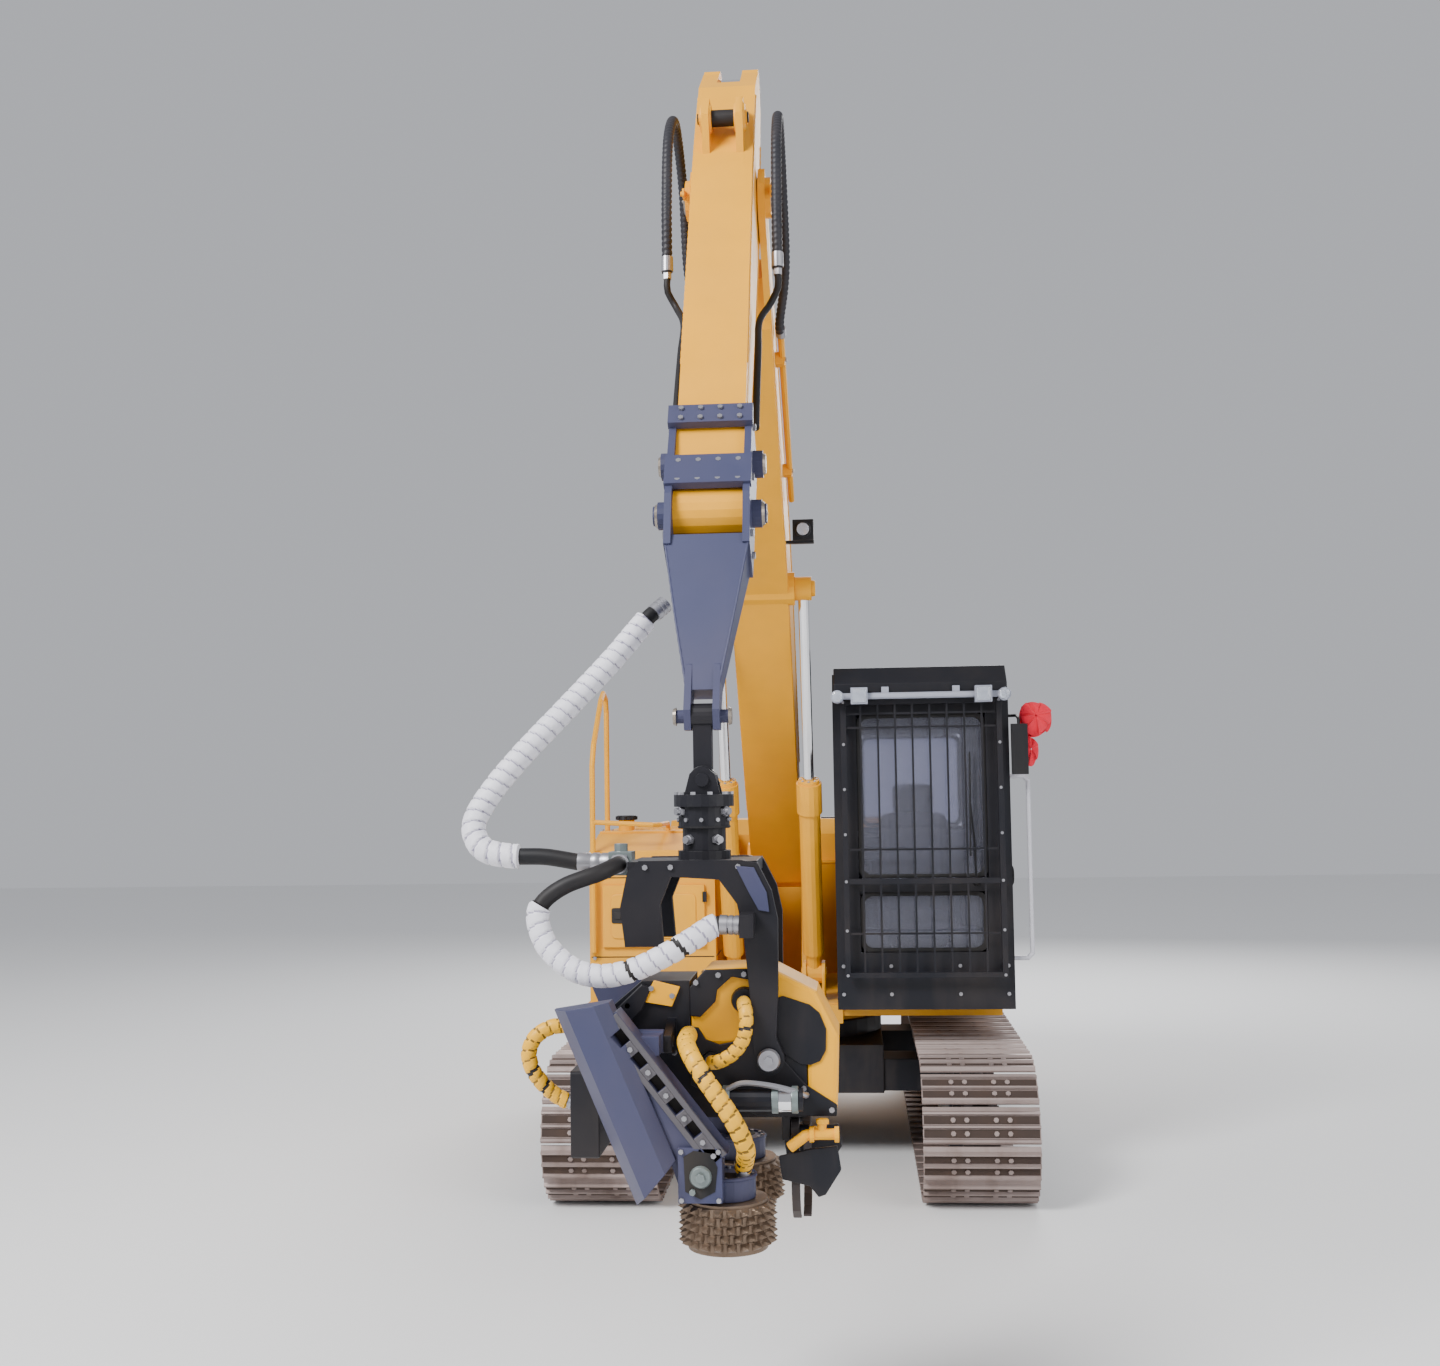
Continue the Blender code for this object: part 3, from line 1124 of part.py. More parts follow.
def feed_arm(name, side, parent):
    """Arm of a feed roller: a folded beam set diagonally across the head with a slotted
    rail beside it, the hinge eye behind, and the motor housing over the roller."""
    y = HEAD_Y
    top, bottom = Vector((-0.455, 1.575)), Vector((-0.235, 1.055))
    run = (bottom - top).normalized()
    across = Vector((-run.y, run.x))
    profile = [(-0.082, 0.345), (-0.035, 0.43), (0.050, 0.445), (0.088, 0.40), (0.088, 0.32), (-0.082, 0.32)]

    def ring(centre, skew):
        points = [(centre + across * w + run * skew * w, depth) for w, depth in profile]
        return [(p.x, y + side * depth, p.y) for p, depth in points]

    a, b = Vector((-0.372, 1.540)), Vector((-0.045, 1.125))
    along = (b - a).normalized()
    wide = Vector((-along.y, along.x))
    rail = [a + wide * 0.035, b + wide * 0.035, b - wide * 0.035, a - wide * 0.035]
    roller = y + side * FEED_ROLLER_Y
    low = FEED_ROLLER_TOP + GAP
    add = [
        loft(ring(top, 0.25), ring(bottom, -0.5)),
        prism("Y", [tuple(p) for p in rail], *sorted((y + side * 0.395, y + side * 0.29))),
        box(-0.165, -0.035, *sorted((y + side * 0.402, y + side * 0.30)), low + 0.01, 1.165),
        rod_z(low, low + 0.065, FEED_ROLLER_X, roller, 0.085, 20),
        rod_x(-0.3497, -0.2203, y + side * ARM_HINGE_Y, ARM_HINGE_Z, 0.036, 16),
        box(-0.345, -0.225, *sorted((y + side * ARM_HINGE_Y, y + side * 0.33)), ARM_HINGE_Z - 0.030, ARM_HINGE_Z + 0.028),
    ]
    cut = [rod_x(-0.5, 0.0, y + side * ARM_HINGE_Y, ARM_HINGE_Z, bore_radius(ARM_PIN, 12), 12)]
    for i in range(5):
        centre = a + along * (0.07 + 0.085 * i)
        corners = ((-0.022, -0.016), (0.022, -0.016), (0.022, 0.016), (-0.022, 0.016))
        hole = [tuple(centre + along * u + wide * v) for u, v in corners]
        cut.append(prism("Y", hole, *sorted((y + side * 0.5, y + side * 0.365))))
    fuse(name, "slate_paint", parent, add, cut)


def feed_roller(name, side, parent):
    """Ribbed drive roller under its arm."""
    roller = HEAD_Y + side * FEED_ROLLER_Y
    ribs = 16
    outline = []
    for i in range(ribs):
        for part, depth in ((0.0, 0.014), (0.35, 0.0), (0.65, 0.0)):
            turn = 2 * math.pi * (i + part) / ribs
            radius = FEED_ROLLER_RADIUS - depth
            outline.append((FEED_ROLLER_X + radius * math.cos(turn), roller + radius * math.sin(turn)))
    shape = prism("Z", outline, FEED_ROLLER_BOTTOM, FEED_ROLLER_TOP)
    fuse(name, "worn_steel", parent, [shape])


def knife(name, side, parent):
    """Curved delimbing knife, hinged beside the frame's right end and closed round the
    space where the stem runs."""
    hinge = (HEAD_Y + side * 0.10, 1.155)
    stem = (HEAD_Y, 1.03)
    outer, inner = [], []
    reach = 150 if side > 0 else 145
    for i in range(9):
        turn = math.radians(62 - reach * i / 8)
        outer.append((stem[0] + side * 0.155 * math.cos(turn), stem[1] + 0.165 * math.sin(turn)))
        thin = 0.040 * (1 - i / 8) + 0.008
        inner.append((stem[0] + side * (0.155 - thin) * math.cos(turn), stem[1] + (0.165 - thin) * math.sin(turn)))
    x0, x1 = (0.157, 0.183) if side < 0 else (0.187, 0.213)
    add = [
        prism("X", outer + inner[::-1], x0, x1),
        rod_x(x0, x1, *hinge, 0.040, 16),
    ]
    cut = [rod_x(-0.3, 0.6, *hinge, bore_radius(ARM_PIN, 12), 12)]
    fuse(name, "worn_steel", parent, add, cut)


# ---------------------------------------------------------------- hoses

UPPER_HOSE = [
    (-0.266, -4.80, 2.86), (-0.33, -4.84, 2.80), (-0.44, -4.90, 2.66), (-0.58, -4.97, 2.50), (-0.72, -5.05, 2.34),
    (-0.82, -5.10, 2.21), (-0.865, -5.14, 2.11), (-0.83, -5.17, 2.035), (-0.74, -5.18, 2.01), (-0.62, -5.18, 2.005), (-0.50, -5.18, 1.985), (-0.4118, -5.18, 1.985),
]
LOWER_HOSE = [
    (-0.374, -5.2255, 1.982), (-0.374, -5.30, 1.982), (-0.42, -5.36, 1.96), (-0.52, -5.385, 1.925), (-0.59, -5.39, 1.875), (-0.605, -5.40, 1.82), (-0.57, -5.42, 1.74),
    (-0.49, -5.44, 1.675), (-0.40, -5.45, 1.655), (-0.30, -5.46, 1.675), (-0.20, -5.46, 1.72), (-0.12, -5.43, 1.765), (-0.06, -5.40, 1.80), (0.0175, -5.40, 1.80),
]
MOTOR_HOSE = [
    (-0.15, -5.2805, 1.46), (-0.15, -5.36, 1.46), (-0.145, -5.46, 1.455), (-0.12, -5.54, 1.425), (-0.08, -5.575, 1.37), (-0.035, -5.59, 1.31),
    (0.010, -5.59, 1.24), (0.035, -5.56, 1.17), (0.03, -5.49, 1.125), (0.02, -5.45, 1.09), (0.02, -5.45, 1.0608),
]


def boom_hose(name, side, parent):
    """Hose that loops round the boom's nose, from the boom's side to the stick's."""
    near = BOOM_X + side * (BOOM_WIDTH / 2 + 0.033)
    x = BOOM_X + side * 0.222
    start = [(near, *on_boom(a, n)) for a, n in ((PIPE_END + GAP, 0.14), (PIPE_END + 0.10, 0.12))]
    loop = [(4.15, 0.16), (4.50, 0.28), (4.84, 0.20), (4.93, -0.10), (4.80, -0.40), (4.62, -0.62)]
    points = start + [(x, *on_boom(a, n)) for a, n in loop]
    hose(name, "black_rubber", parent, points, 0.022)


# ---------------------------------------------------------------- the whole machine


def build():
    clear_scene()
    make_materials()
    ground = pivot("undercarriage", (0.0, 0.0, 0.0))
    undercarriage(ground)

    slew = pivot("slew", (0.0, 0.0, RING_TOP), ground)
    upper_frame(slew)
    counterweight(slew)
    engine_bay(slew)
    right_side_boxes(slew)
    handrail(slew)
    cab_shell(slew)
    front_guard(slew)
    roof_guard(slew)
    lamp_bar(slew)
    cab_mirror(slew)
    grab_rail(slew)
    rosette(slew)
    operator_seat(slew)

    hood = pivot("hood_hinge", (0.0, DECK_REAR - 0.035, BAY_TOP + SHEET + GAP), slew)
    engine_hood(hood)
    for name, side in (("left", 1), ("right", -1)):
        hinge = pivot(name + "_door_hinge", (side * DECK_HALF, DECK_REAR - 0.006, 1.3), slew)
        side_door(name + "_side_door", side, hinge)
    d = TOOL_DOOR
    middle = (d["z0"] + d["z1"]) / 2
    box_hinge = pivot("tool_box_hinge", (d["x1"], TOOL_BOX["y0"] - GAP - d["thickness"], middle), slew)
    tool_box_door(box_hinge)
    (_, _), (door_y1, _) = door_opening()
    cab_hinge = pivot("cab_door_hinge", (CAB_RIGHT + CAB_WIDTH + 0.012, door_y1 - 0.018, 1.9), slew)
    cab_door(cab_hinge)

    boom_pivot = pivot("boom_pivot", (BOOM_X, *BOOM_FOOT), slew)
    boom(boom_pivot)
    boom_lamp(boom_pivot)
    barrel_pivot = pivot("boom_cylinder_pivot", (BOOM_X, *BOOM_CYLINDER_BASE), slew)
    rod_slide = pivot("boom_cylinder_slide", (BOOM_X, *BOOM_ROD_PIN), barrel_pivot)
    parents = (barrel_pivot, rod_slide)
    for name, side in (("left", 1), ("right", -1)):
        cylinder("boom_cylinder_" + name, BOOM_X + side * BOOM_CYLINDER_X, BOOM_CYLINDER_BASE, BOOM_ROD_PIN, 1.22, 0.12, parents, EYE_WIDTH, BOOM_BASE_PIN, EYE_WIDTH)
        boom_pipe("boom_pipe_" + name, side, boom_pivot)
        boom_hose("boom_hose_" + name, side, boom_pivot)

    stick_pivot = pivot("stick_pivot", (BOOM_X, *STICK_PIVOT), boom_pivot)
    stick(stick_pivot)
    adapter(stick_pivot)
    barrel_pivot = pivot("stick_cylinder_pivot", (BOOM_X, *STICK_CYLINDER_BASE), boom_pivot)
    rod_slide = pivot("stick_cylinder_slide", (BOOM_X, *STICK_CYLINDER_PIN), barrel_pivot)
    parents = (barrel_pivot, rod_slide)
    cylinder("stick_cylinder", BOOM_X, STICK_CYLINDER_BASE, STICK_CYLINDER_PIN, 1.30, 0.60, parents, 0.13, PIN, STICK_SLOT - 2 * GAP)

    link = pivot("link_pivot", (BOOM_X, HEAD_Y, ADAPTER_PIN_Z), stick_pivot)
    swing_link(link)
    swing = pivot("rotator_pivot", (BOOM_X, HEAD_Y, ADAPTER_PIN_Z - LINK_LENGTH), link)
    rotator(swing)
    turn = pivot("rotator_axis", (BOOM_X, HEAD_Y, ROTATOR_BOTTOM), swing)
    tilt_frame(turn)
    hose_block(turn)
    hose("white_hose_upper", "white_wrap", stick_pivot, UPPER_HOSE, 0.040)
    hose("white_hose_lower", "white_wrap", turn, LOWER_HOSE, 0.036)

    head = pivot("tilt_pivot", (TILT_PIVOT[0], HEAD_Y, TILT_PIVOT[1]), turn)
    head_frame(head)
    head_cowl(head)
    saw_box(head)
    hose("motor_hose", "yellow_wrap", head, MOTOR_HOSE, 0.028)
    bar = pivot("saw_pivot", (-0.465, HEAD_Y + 0.19, 1.17), head)
    saw_bar(bar)
    for name, side in (("front", -1), ("rear", 1)):
        hinge = pivot("feed_arm_hinge_" + name, (-0.285, HEAD_Y + side * ARM_HINGE_Y, ARM_HINGE_Z), head)
        feed_arm("feed_arm_" + name, side, hinge)
        axle = pivot("feed_roller_axle_" + name, (FEED_ROLLER_X, HEAD_Y + side * FEED_ROLLER_Y, 0.92), hinge)
        feed_roller("feed_roller_" + name, side, axle)
        knife_hinge = pivot("knife_hinge_" + name, (0.185, HEAD_Y + side * 0.10, 1.155), head)
        knife("knife_" + name, side, knife_hinge)


build()
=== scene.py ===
"""Looks of a tracked forestry harvester: finishes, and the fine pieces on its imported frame."""

import json
import math

import bmesh
import bpy
import numpy as np
from mathutils import Matrix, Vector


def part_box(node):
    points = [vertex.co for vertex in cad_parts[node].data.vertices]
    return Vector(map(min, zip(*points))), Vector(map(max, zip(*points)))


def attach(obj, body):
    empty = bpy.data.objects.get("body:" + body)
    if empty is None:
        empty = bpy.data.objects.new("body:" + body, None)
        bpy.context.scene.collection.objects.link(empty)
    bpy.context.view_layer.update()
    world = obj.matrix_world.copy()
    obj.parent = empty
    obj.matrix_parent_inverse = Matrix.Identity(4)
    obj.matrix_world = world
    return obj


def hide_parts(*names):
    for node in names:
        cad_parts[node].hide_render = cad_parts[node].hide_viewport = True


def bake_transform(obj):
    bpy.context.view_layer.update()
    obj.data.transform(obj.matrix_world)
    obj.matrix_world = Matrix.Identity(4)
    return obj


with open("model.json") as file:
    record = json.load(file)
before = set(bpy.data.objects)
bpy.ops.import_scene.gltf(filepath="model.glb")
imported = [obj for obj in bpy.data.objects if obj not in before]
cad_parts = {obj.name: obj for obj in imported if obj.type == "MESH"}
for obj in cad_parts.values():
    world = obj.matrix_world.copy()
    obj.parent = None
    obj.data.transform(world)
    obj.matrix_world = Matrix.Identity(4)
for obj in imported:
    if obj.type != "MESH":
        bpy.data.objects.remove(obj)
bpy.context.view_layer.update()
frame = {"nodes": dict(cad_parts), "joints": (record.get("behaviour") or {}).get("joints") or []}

# ------------------------------------------------------------ camera, floor and light
# A person's eye height in front of the machine and a little to the right of its boom.
# The floor is a pale sheet, and three soft lamps stand round it with a pale sky.
# Places in this file are metres from the slewing axis on the ground, and at() moves
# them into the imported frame.

SLEW_X, SLEW_Y = next(j["pos_m"] for j in frame["joints"] if j["name"] == "slew")[:2]


def at(x, y, z):
    """A place measured from the slewing axis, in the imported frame."""
    return (x + SLEW_X, y + SLEW_Y, z)


def turned(yaw, pitch, roll):
    """Turn of a camera that looks along +Y, then swings left, tips up and rolls."""
    upright = Matrix.Rotation(math.radians(90), 3, "X")
    swing = Matrix.Rotation(math.radians(yaw), 3, "Z")
    tip = Matrix.Rotation(math.radians(pitch), 3, "X")
    lean = Matrix.Rotation(math.radians(roll), 3, "Y")
    return (swing @ tip @ lean @ upright).to_4x4()


eye = bpy.data.cameras.new("eye")
eye.sensor_width = 36.0
eye.lens = 40.17
camera = bpy.data.objects.new("eye", eye)
camera.matrix_world = Matrix.Translation(at(0.366, -10.319, 2.217)) @ turned(4.624, 3.751, 0.858)
bpy.context.scene.collection.objects.link(camera)
bpy.context.scene.camera = camera


def lamp(name, size, power, place, aim):
    """Soft square lamp at a place, turned to face another."""
    light = bpy.data.lights.new(name, "AREA")
    light.size = size
    light.energy = power
    item = bpy.data.objects.new(name, light)
    away = Matrix.Translation(place).translation - Matrix.Translation(aim).translation
    item.matrix_world = Matrix.Translation(place) @ away.to_track_quat(
        "Z", "Y"
    ).to_matrix().to_4x4()
    bpy.context.scene.collection.objects.link(item)


HEART = (0.0, 0.0, 2.0)
lamp("key_lamp", 4.0, 2100.0, (-6.0, -9.0, 9.5), HEART)
lamp("fill_lamp", 6.0, 420.0, (7.0, -7.0, 5.0), HEART)
lamp("back_lamp", 6.0, 1000.0, (2.0, 11.0, 8.0), HEART)

sky = bpy.data.worlds.new("pale_sky")
sky.use_nodes = True
sky.node_tree.nodes["Background"].inputs["Color"].default_value = (0.92, 0.94, 1.0, 1.0)
sky.node_tree.nodes["Background"].inputs["Strength"].default_value = 0.55
bpy.context.scene.world = sky


def mesh_from(name, points, faces, smooth=False):
    """Mesh object at the origin from points and faces of any number of corners."""
    mesh = bpy.data.meshes.new(name)
    mesh.from_pydata(np.asarray(points).tolist(), [], [tuple(int(v) for v in f) for f in faces])
    mesh.update()
    if smooth:
        mesh.shade_smooth()
        mesh.set_sharp_from_angle(angle=math.radians(40))
    item = bpy.data.objects.new(name, mesh)
    bpy.context.scene.collection.objects.link(item)
    return item


def plain_finish(name, colour, roughness):
    """Material of one colour, for what isn't part of the machine."""
    material = bpy.data.materials.new(name)
    material.use_nodes = True
    shader = material.node_tree.nodes["Principled BSDF"]
    shader.inputs["Base Color"].default_value = (*colour, 1.0)
    shader.inputs["Roughness"].default_value = roughness
    return material


floor = mesh_from(
    "floor", [(-30, -30, 0), (30, -30, 0), (30, 30, 0), (-30, 30, 0)], [(0, 1, 2, 3)]
)
floor.data.materials.append(plain_finish("floor_sheet", (0.86, 0.86, 0.86), 0.9))

# ------------------------------------------------------------ paint and bare metal
# Every painted plate is enamel over steel: thicker and thinner coats give a faint
# mottle, dust lies on it in patches that grow towards the ground, and fine grit dulls it.
# One group makes that for all finishes, and each finish feeds it its own values.


def link(tree, source, output, target, socket):
    tree.links.new(source.outputs[output], target.inputs[socket])


def noise(tree, coordinates, scale, detail, stretch=(1.0, 1.0, 1.0)):
    """Noise texture read on coordinates that a mapping stretches."""
    mapping = tree.nodes.new("ShaderNodeMapping")
    mapping.inputs["Scale"].default_value = stretch
    link(tree, coordinates, "Object", mapping, "Vector")
    texture = tree.nodes.new("ShaderNodeTexNoise")
    texture.inputs["Scale"].default_value = scale
    texture.inputs["Detail"].default_value = detail
    link(tree, mapping, "Vector", texture, "Vector")
    return texture


def spread(tree, source, output, low, high, out_low, out_high):
    """Map Range node, clamped."""
    item = tree.nodes.new("ShaderNodeMapRange")
    for socket, value in zip(
        ("From Min", "From Max", "To Min", "To Max"), (low, high, out_low, out_high)
    ):
        item.inputs[socket].default_value = value
    link(tree, source, output, item, "Value")
    return item


def maths(tree, kind, first, second):
    """Math node of two sockets, each a (node, output) pair or a number."""
    item = tree.nodes.new("ShaderNodeMath")
    item.operation = kind
    for index, part in enumerate((first, second)):
        if isinstance(part, tuple):
            tree.links.new(part[0].outputs[part[1]], item.inputs[index])
        else:
            item.inputs[index].default_value = part
    return item


def weathering_group():
    """Group that soils a colour: patches of dust, thicker near the ground, and grit."""
    group = bpy.data.node_groups.new("weathering", "ShaderNodeTree")
    for name, kind in (
        ("Colour", "NodeSocketColor"), ("Soil Colour", "NodeSocketColor"),
        ("Soil", "NodeSocketFloat"), ("Roughness", "NodeSocketFloat"),
        ("Grain", "NodeSocketFloat")
    ):
        group.interface.new_socket(name, in_out="INPUT", socket_type=kind)
    for name, kind in (
        ("Colour", "NodeSocketColor"), ("Roughness", "NodeSocketFloat"),
        ("Height", "NodeSocketFloat")
    ):
        group.interface.new_socket(name, in_out="OUTPUT", socket_type=kind)
    source, sink = group.nodes.new("NodeGroupInput"), group.nodes.new("NodeGroupOutput")
    coordinates = group.nodes.new("ShaderNodeTexCoord")
    split = group.nodes.new("ShaderNodeSeparateXYZ")
    link(group, coordinates, "Object", split, "Vector")
    low = spread(group, split, "Z", 0.1, 2.2, 1.0, 0.25)
    patches = spread(group, noise(group, coordinates, 2.3, 5.0), "Fac", 0.42, 0.72, 0.0, 1.0)
    streaks = spread(
        group, noise(group, coordinates, 9.0, 4.0, (1.0, 1.0, 0.18)), "Fac", 0.5, 0.8, 0.0, 0.8
    )
    grit = noise(group, coordinates, 160.0, 2.0)
    soil = maths(group, "ADD", (patches, "Result"), (streaks, "Result"))
    soil = maths(group, "MULTIPLY", (soil, "Value"), (low, "Result"))
    soil = maths(group, "MULTIPLY", (soil, "Value"), (source, "Soil"))
    soil.use_clamp = True
    mottle = spread(group, noise(group, coordinates, 5.5, 3.0), "Fac", 0.3, 0.7, 0.96, 1.03)
    shade = group.nodes.new("ShaderNodeVectorMath")
    shade.operation = "SCALE"
    link(group, source, "Colour", shade, 0)
    link(group, mottle, "Result", shade, "Scale")
    blend = group.nodes.new("ShaderNodeMix")
    blend.data_type = "RGBA"
    link(group, soil, "Value", blend, "Factor")
    group.links.new(shade.outputs["Vector"], blend.inputs["A"])
    group.links.new(source.outputs["Soil Colour"], blend.inputs["B"])
    group.links.new(next(o for o in blend.outputs if o.type == "RGBA"), sink.inputs["Colour"])
    rough = maths(group, "MULTIPLY", (soil, "Value"), 0.45)
    rough = maths(group, "ADD", (rough, "Value"), (source, "Roughness"))
    rough.use_clamp = True
    link(group, rough, "Value", sink, "Roughness")
    fine = maths(group, "MULTIPLY", (grit, "Fac"), (source, "Grain"))
    height = maths(
        group, "ADD", (fine, "Value"), (maths(group, "MULTIPLY", (soil, "Value"), 0.3), "Value")
    )
    link(group, height, "Value", sink, "Height")
    return group


WEATHERING = weathering_group()
DUST = (0.33, 0.25, 0.19)


def finish(
    name, colour, roughness, metallic=0.0, soil=0.25, grain=0.3, bump=0.12, coat=0.0, shine=0.3,
    soil_colour=DUST
):
    """Material of the weathering group over one colour."""
    material = bpy.data.materials.new(name)
    material.use_nodes = True
    tree = material.node_tree
    shader = tree.nodes["Principled BSDF"]
    cover = tree.nodes.new("ShaderNodeGroup")
    cover.node_tree = WEATHERING
    cover.inputs["Colour"].default_value = (*colour, 1.0)
    cover.inputs["Soil Colour"].default_value = (*soil_colour, 1.0)
    cover.inputs["Soil"].default_value = soil
    cover.inputs["Roughness"].default_value = roughness
    cover.inputs["Grain"].default_value = grain
    relief = tree.nodes.new("ShaderNodeBump")
    relief.inputs["Strength"].default_value = bump
    relief.inputs["Distance"].default_value = 0.002
    link(tree, cover, "Colour", shader, "Base Color")
    link(tree, cover, "Roughness", shader, "Roughness")
    link(tree, cover, "Height", relief, "Height")
    link(tree, relief, "Normal", shader, "Normal")
    shader.inputs["Metallic"].default_value = metallic
    shader.inputs["Coat Weight"].default_value = coat
    shader.inputs["Coat Roughness"].default_value = 0.2
    shader.inputs["Specular IOR Level"].default_value = shine
    return material


YELLOW = finish("machine_yellow_enamel", (0.80, 0.36, 0.008), 0.46, soil=0.16)
HEAD_YELLOW = finish("head_yellow_enamel", (0.95, 0.43, 0.0), 0.40, soil=0.14, coat=0.05)
SLATE = finish("slate_blue_enamel", (0.046, 0.050, 0.105), 0.46, soil=0.12)
BLACK = finish("black_enamel", (0.007, 0.0075, 0.012), 0.42, soil=0.10)
CHROME = finish("chromed_rod", (0.82, 0.82, 0.84), 0.12, metallic=1.0, soil=0.05, grain=0.0)
ZINC = finish("zinc_plated_steel", (0.36, 0.36, 0.39), 0.38, metallic=0.8, soil=0.3)
RUBBER = finish("hose_rubber", (0.009, 0.009, 0.011), 0.55, soil=0.12, grain=0.8)
PLASTIC = finish("black_moulding", (0.010, 0.010, 0.012), 0.48, soil=0.08, grain=0.6)


def dress(material, bevel, *names):
    """Gives CAD nodes a finish, and rounds their plate edges where bevel isn't 0."""
    for name in names:
        item = frame["nodes"][name]
        item.data.materials.clear()
        item.data.materials.append(material)
        if bevel:
            weld = item.modifiers.new("weld", "WELD")
            weld.merge_threshold = 0.00005
            edge = item.modifiers.new("edge", "BEVEL")
            edge.width = bevel
            edge.segments = 2
            edge.limit_method = "ANGLE"
            edge.angle_limit = math.radians(38)
# ------------------------------------------------------------ tracks
# Each crawler is a loop of cast links with pins, carrying pressed shoes with three low
# grousers, each shoe held by four bolts. Shoes and links are placed along the loop of
# two straight runs and two half circles that the frame's track has.

def join_grid(rows, columns, wrap=True, offset=0):
    """Quads of a grid of rows by columns of points, closed round each row if wrap."""
    last = columns if wrap else columns - 1
    r, c = np.meshgrid(np.arange(rows - 1), np.arange(last), indexing="ij")
    a, b = r * columns + c, r * columns + (c + 1) % columns
    return np.stack([a, b, b + columns, a + columns], axis=-1).reshape(-1, 4) + offset


def place_on(item, body, material=None):
    """Finish and body of a new piece. The piece is attached to its body when that is a name;
    a body given as a joint's two bodies and the places of a bend leaves it unattached,
    fixed where it stands."""
    if material is not None:
        item.data.materials.append(material)
    if isinstance(body, str):
        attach(item, body)
    else:
        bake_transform(item)
    return item


def faces_out(item):
    """Normals of a closed mesh turned outwards."""
    shape = bmesh.new()
    shape.from_mesh(item.data)
    bmesh.ops.recalc_face_normals(shape, faces=shape.faces)
    shape.to_mesh(item.data)
    shape.free()
    return item


class Bundle:
    """Points and faces of many small shapes that make one piece."""

    def __init__(self):
        self.points, self.faces, self.count = [], [], 0

    def add(self, points, faces):
        points = np.asarray(points, dtype=float).reshape(-1, 3)
        self.points.append(points)
        self.faces += [tuple(int(v) + self.count for v in f) for f in faces]
        self.count += len(points)

    def prism(self, axis, outline, low, high):
        """Outline pushed along X, Y or Z from low to high, with both ends closed."""
        outline = np.asarray(outline, dtype=float)
        n = len(outline)
        ends = []
        for level in (low, high):
            columns = [outline[:, 0], outline[:, 1]]
            columns.insert("XYZ".index(axis), np.full(n, level))
            ends.append(np.stack(columns, axis=1))
        sides = join_grid(2, n)
        self.add(
            np.concatenate(ends),
            [*map(tuple, sides), tuple(range(n)), tuple(range(2 * n - 1, n - 1, -1))]
        )

    def box(self, x0, x1, y0, y1, z0, z1):
        self.prism("Z", [(x0, y0), (x1, y0), (x1, y1), (x0, y1)], z0, z1)

    def disc(self, centre, normal, radius, height, sides=6, top=None):
        """Short cylinder, or a hexagon head, standing on a face with its normal."""
        normal = np.asarray(normal, dtype=float)
        normal /= np.linalg.norm(normal)
        across = np.cross(normal, (0.31, 0.95, 0.07))
        across /= np.linalg.norm(across)
        other = np.cross(normal, across)
        turn = np.arange(sides) * 2 * np.pi / sides
        ring = np.cos(turn)[:, None] * across + np.sin(turn)[:, None] * other
        base = np.asarray(centre, dtype=float) + radius * ring
        crown = np.asarray(centre, dtype=float) + normal * height + (
            radius if top is None else top
        ) * ring
        self.add(
            np.concatenate([base, crown]),
            [
                *map(tuple, join_grid(2, sides)), tuple(range(sides - 1, -1, -1)),
                tuple(range(sides, 2 * sides))
            ]
        )

    def tube(self, path, radius, sides=10):
        """Circle carried along a path, with closed ends."""
        points, faces = tube_surface(path, radius, sides)
        n = len(points)
        self.add(
            points,
            [*map(tuple, faces), tuple(range(sides - 1, -1, -1)), tuple(range(n - sides, n))]
        )

    def piece(self, name, body, slot, material, bevel=0.0, smooth=False):
        points = np.concatenate(self.points) + (SLEW_X, SLEW_Y, 0.0)
        item = faces_out(mesh_from(name, points, self.faces, smooth))
        if bevel:
            edge = item.modifiers.new("edge", "BEVEL")
            edge.width = bevel
            edge.segments = 2
            edge.limit_method = "ANGLE"
            edge.angle_limit = math.radians(40)
        return place_on(item, body, material)


def path_frames(path):
    """Tangents, and two directions square to them, carried along a path without twist:
    each across vector is the last one with its part along the new tangent taken off."""
    path = np.asarray(path, dtype=float)
    tangents = np.gradient(path, axis=0)
    tangents /= np.linalg.norm(tangents, axis=1)[:, None]
    across = np.empty_like(path)
    start = np.cross(tangents[0], (0.13, 0.42, 0.9))
    across[0] = start / np.linalg.norm(start)
    for i in range(1, len(path)):
        v = across[i - 1] - tangents[i] * np.dot(across[i - 1], tangents[i])
        across[i] = v / np.linalg.norm(v)
    return tangents, across, np.cross(tangents, across)


def tube_surface(path, radius, sides, swell=None):
    """Grid of a circle carried along a path. swell(i, turn) scales the radius."""
    path = np.asarray(path, dtype=float)
    _, across, other = path_frames(path)
    turn = np.arange(sides) * 2 * np.pi / sides
    size = np.full((len(path), sides), radius, dtype=float)
    if swell is not None:
        size = size * swell(np.arange(len(path))[:, None], turn[None, :])
    ring = np.cos(turn)[
        None, :, None
    ] * across[:, None] + np.sin(turn)[None, :, None] * other[:, None]
    points = path[:, None] + size[:, :, None] * ring
    return points.reshape(-1, 3), join_grid(len(path), sides)


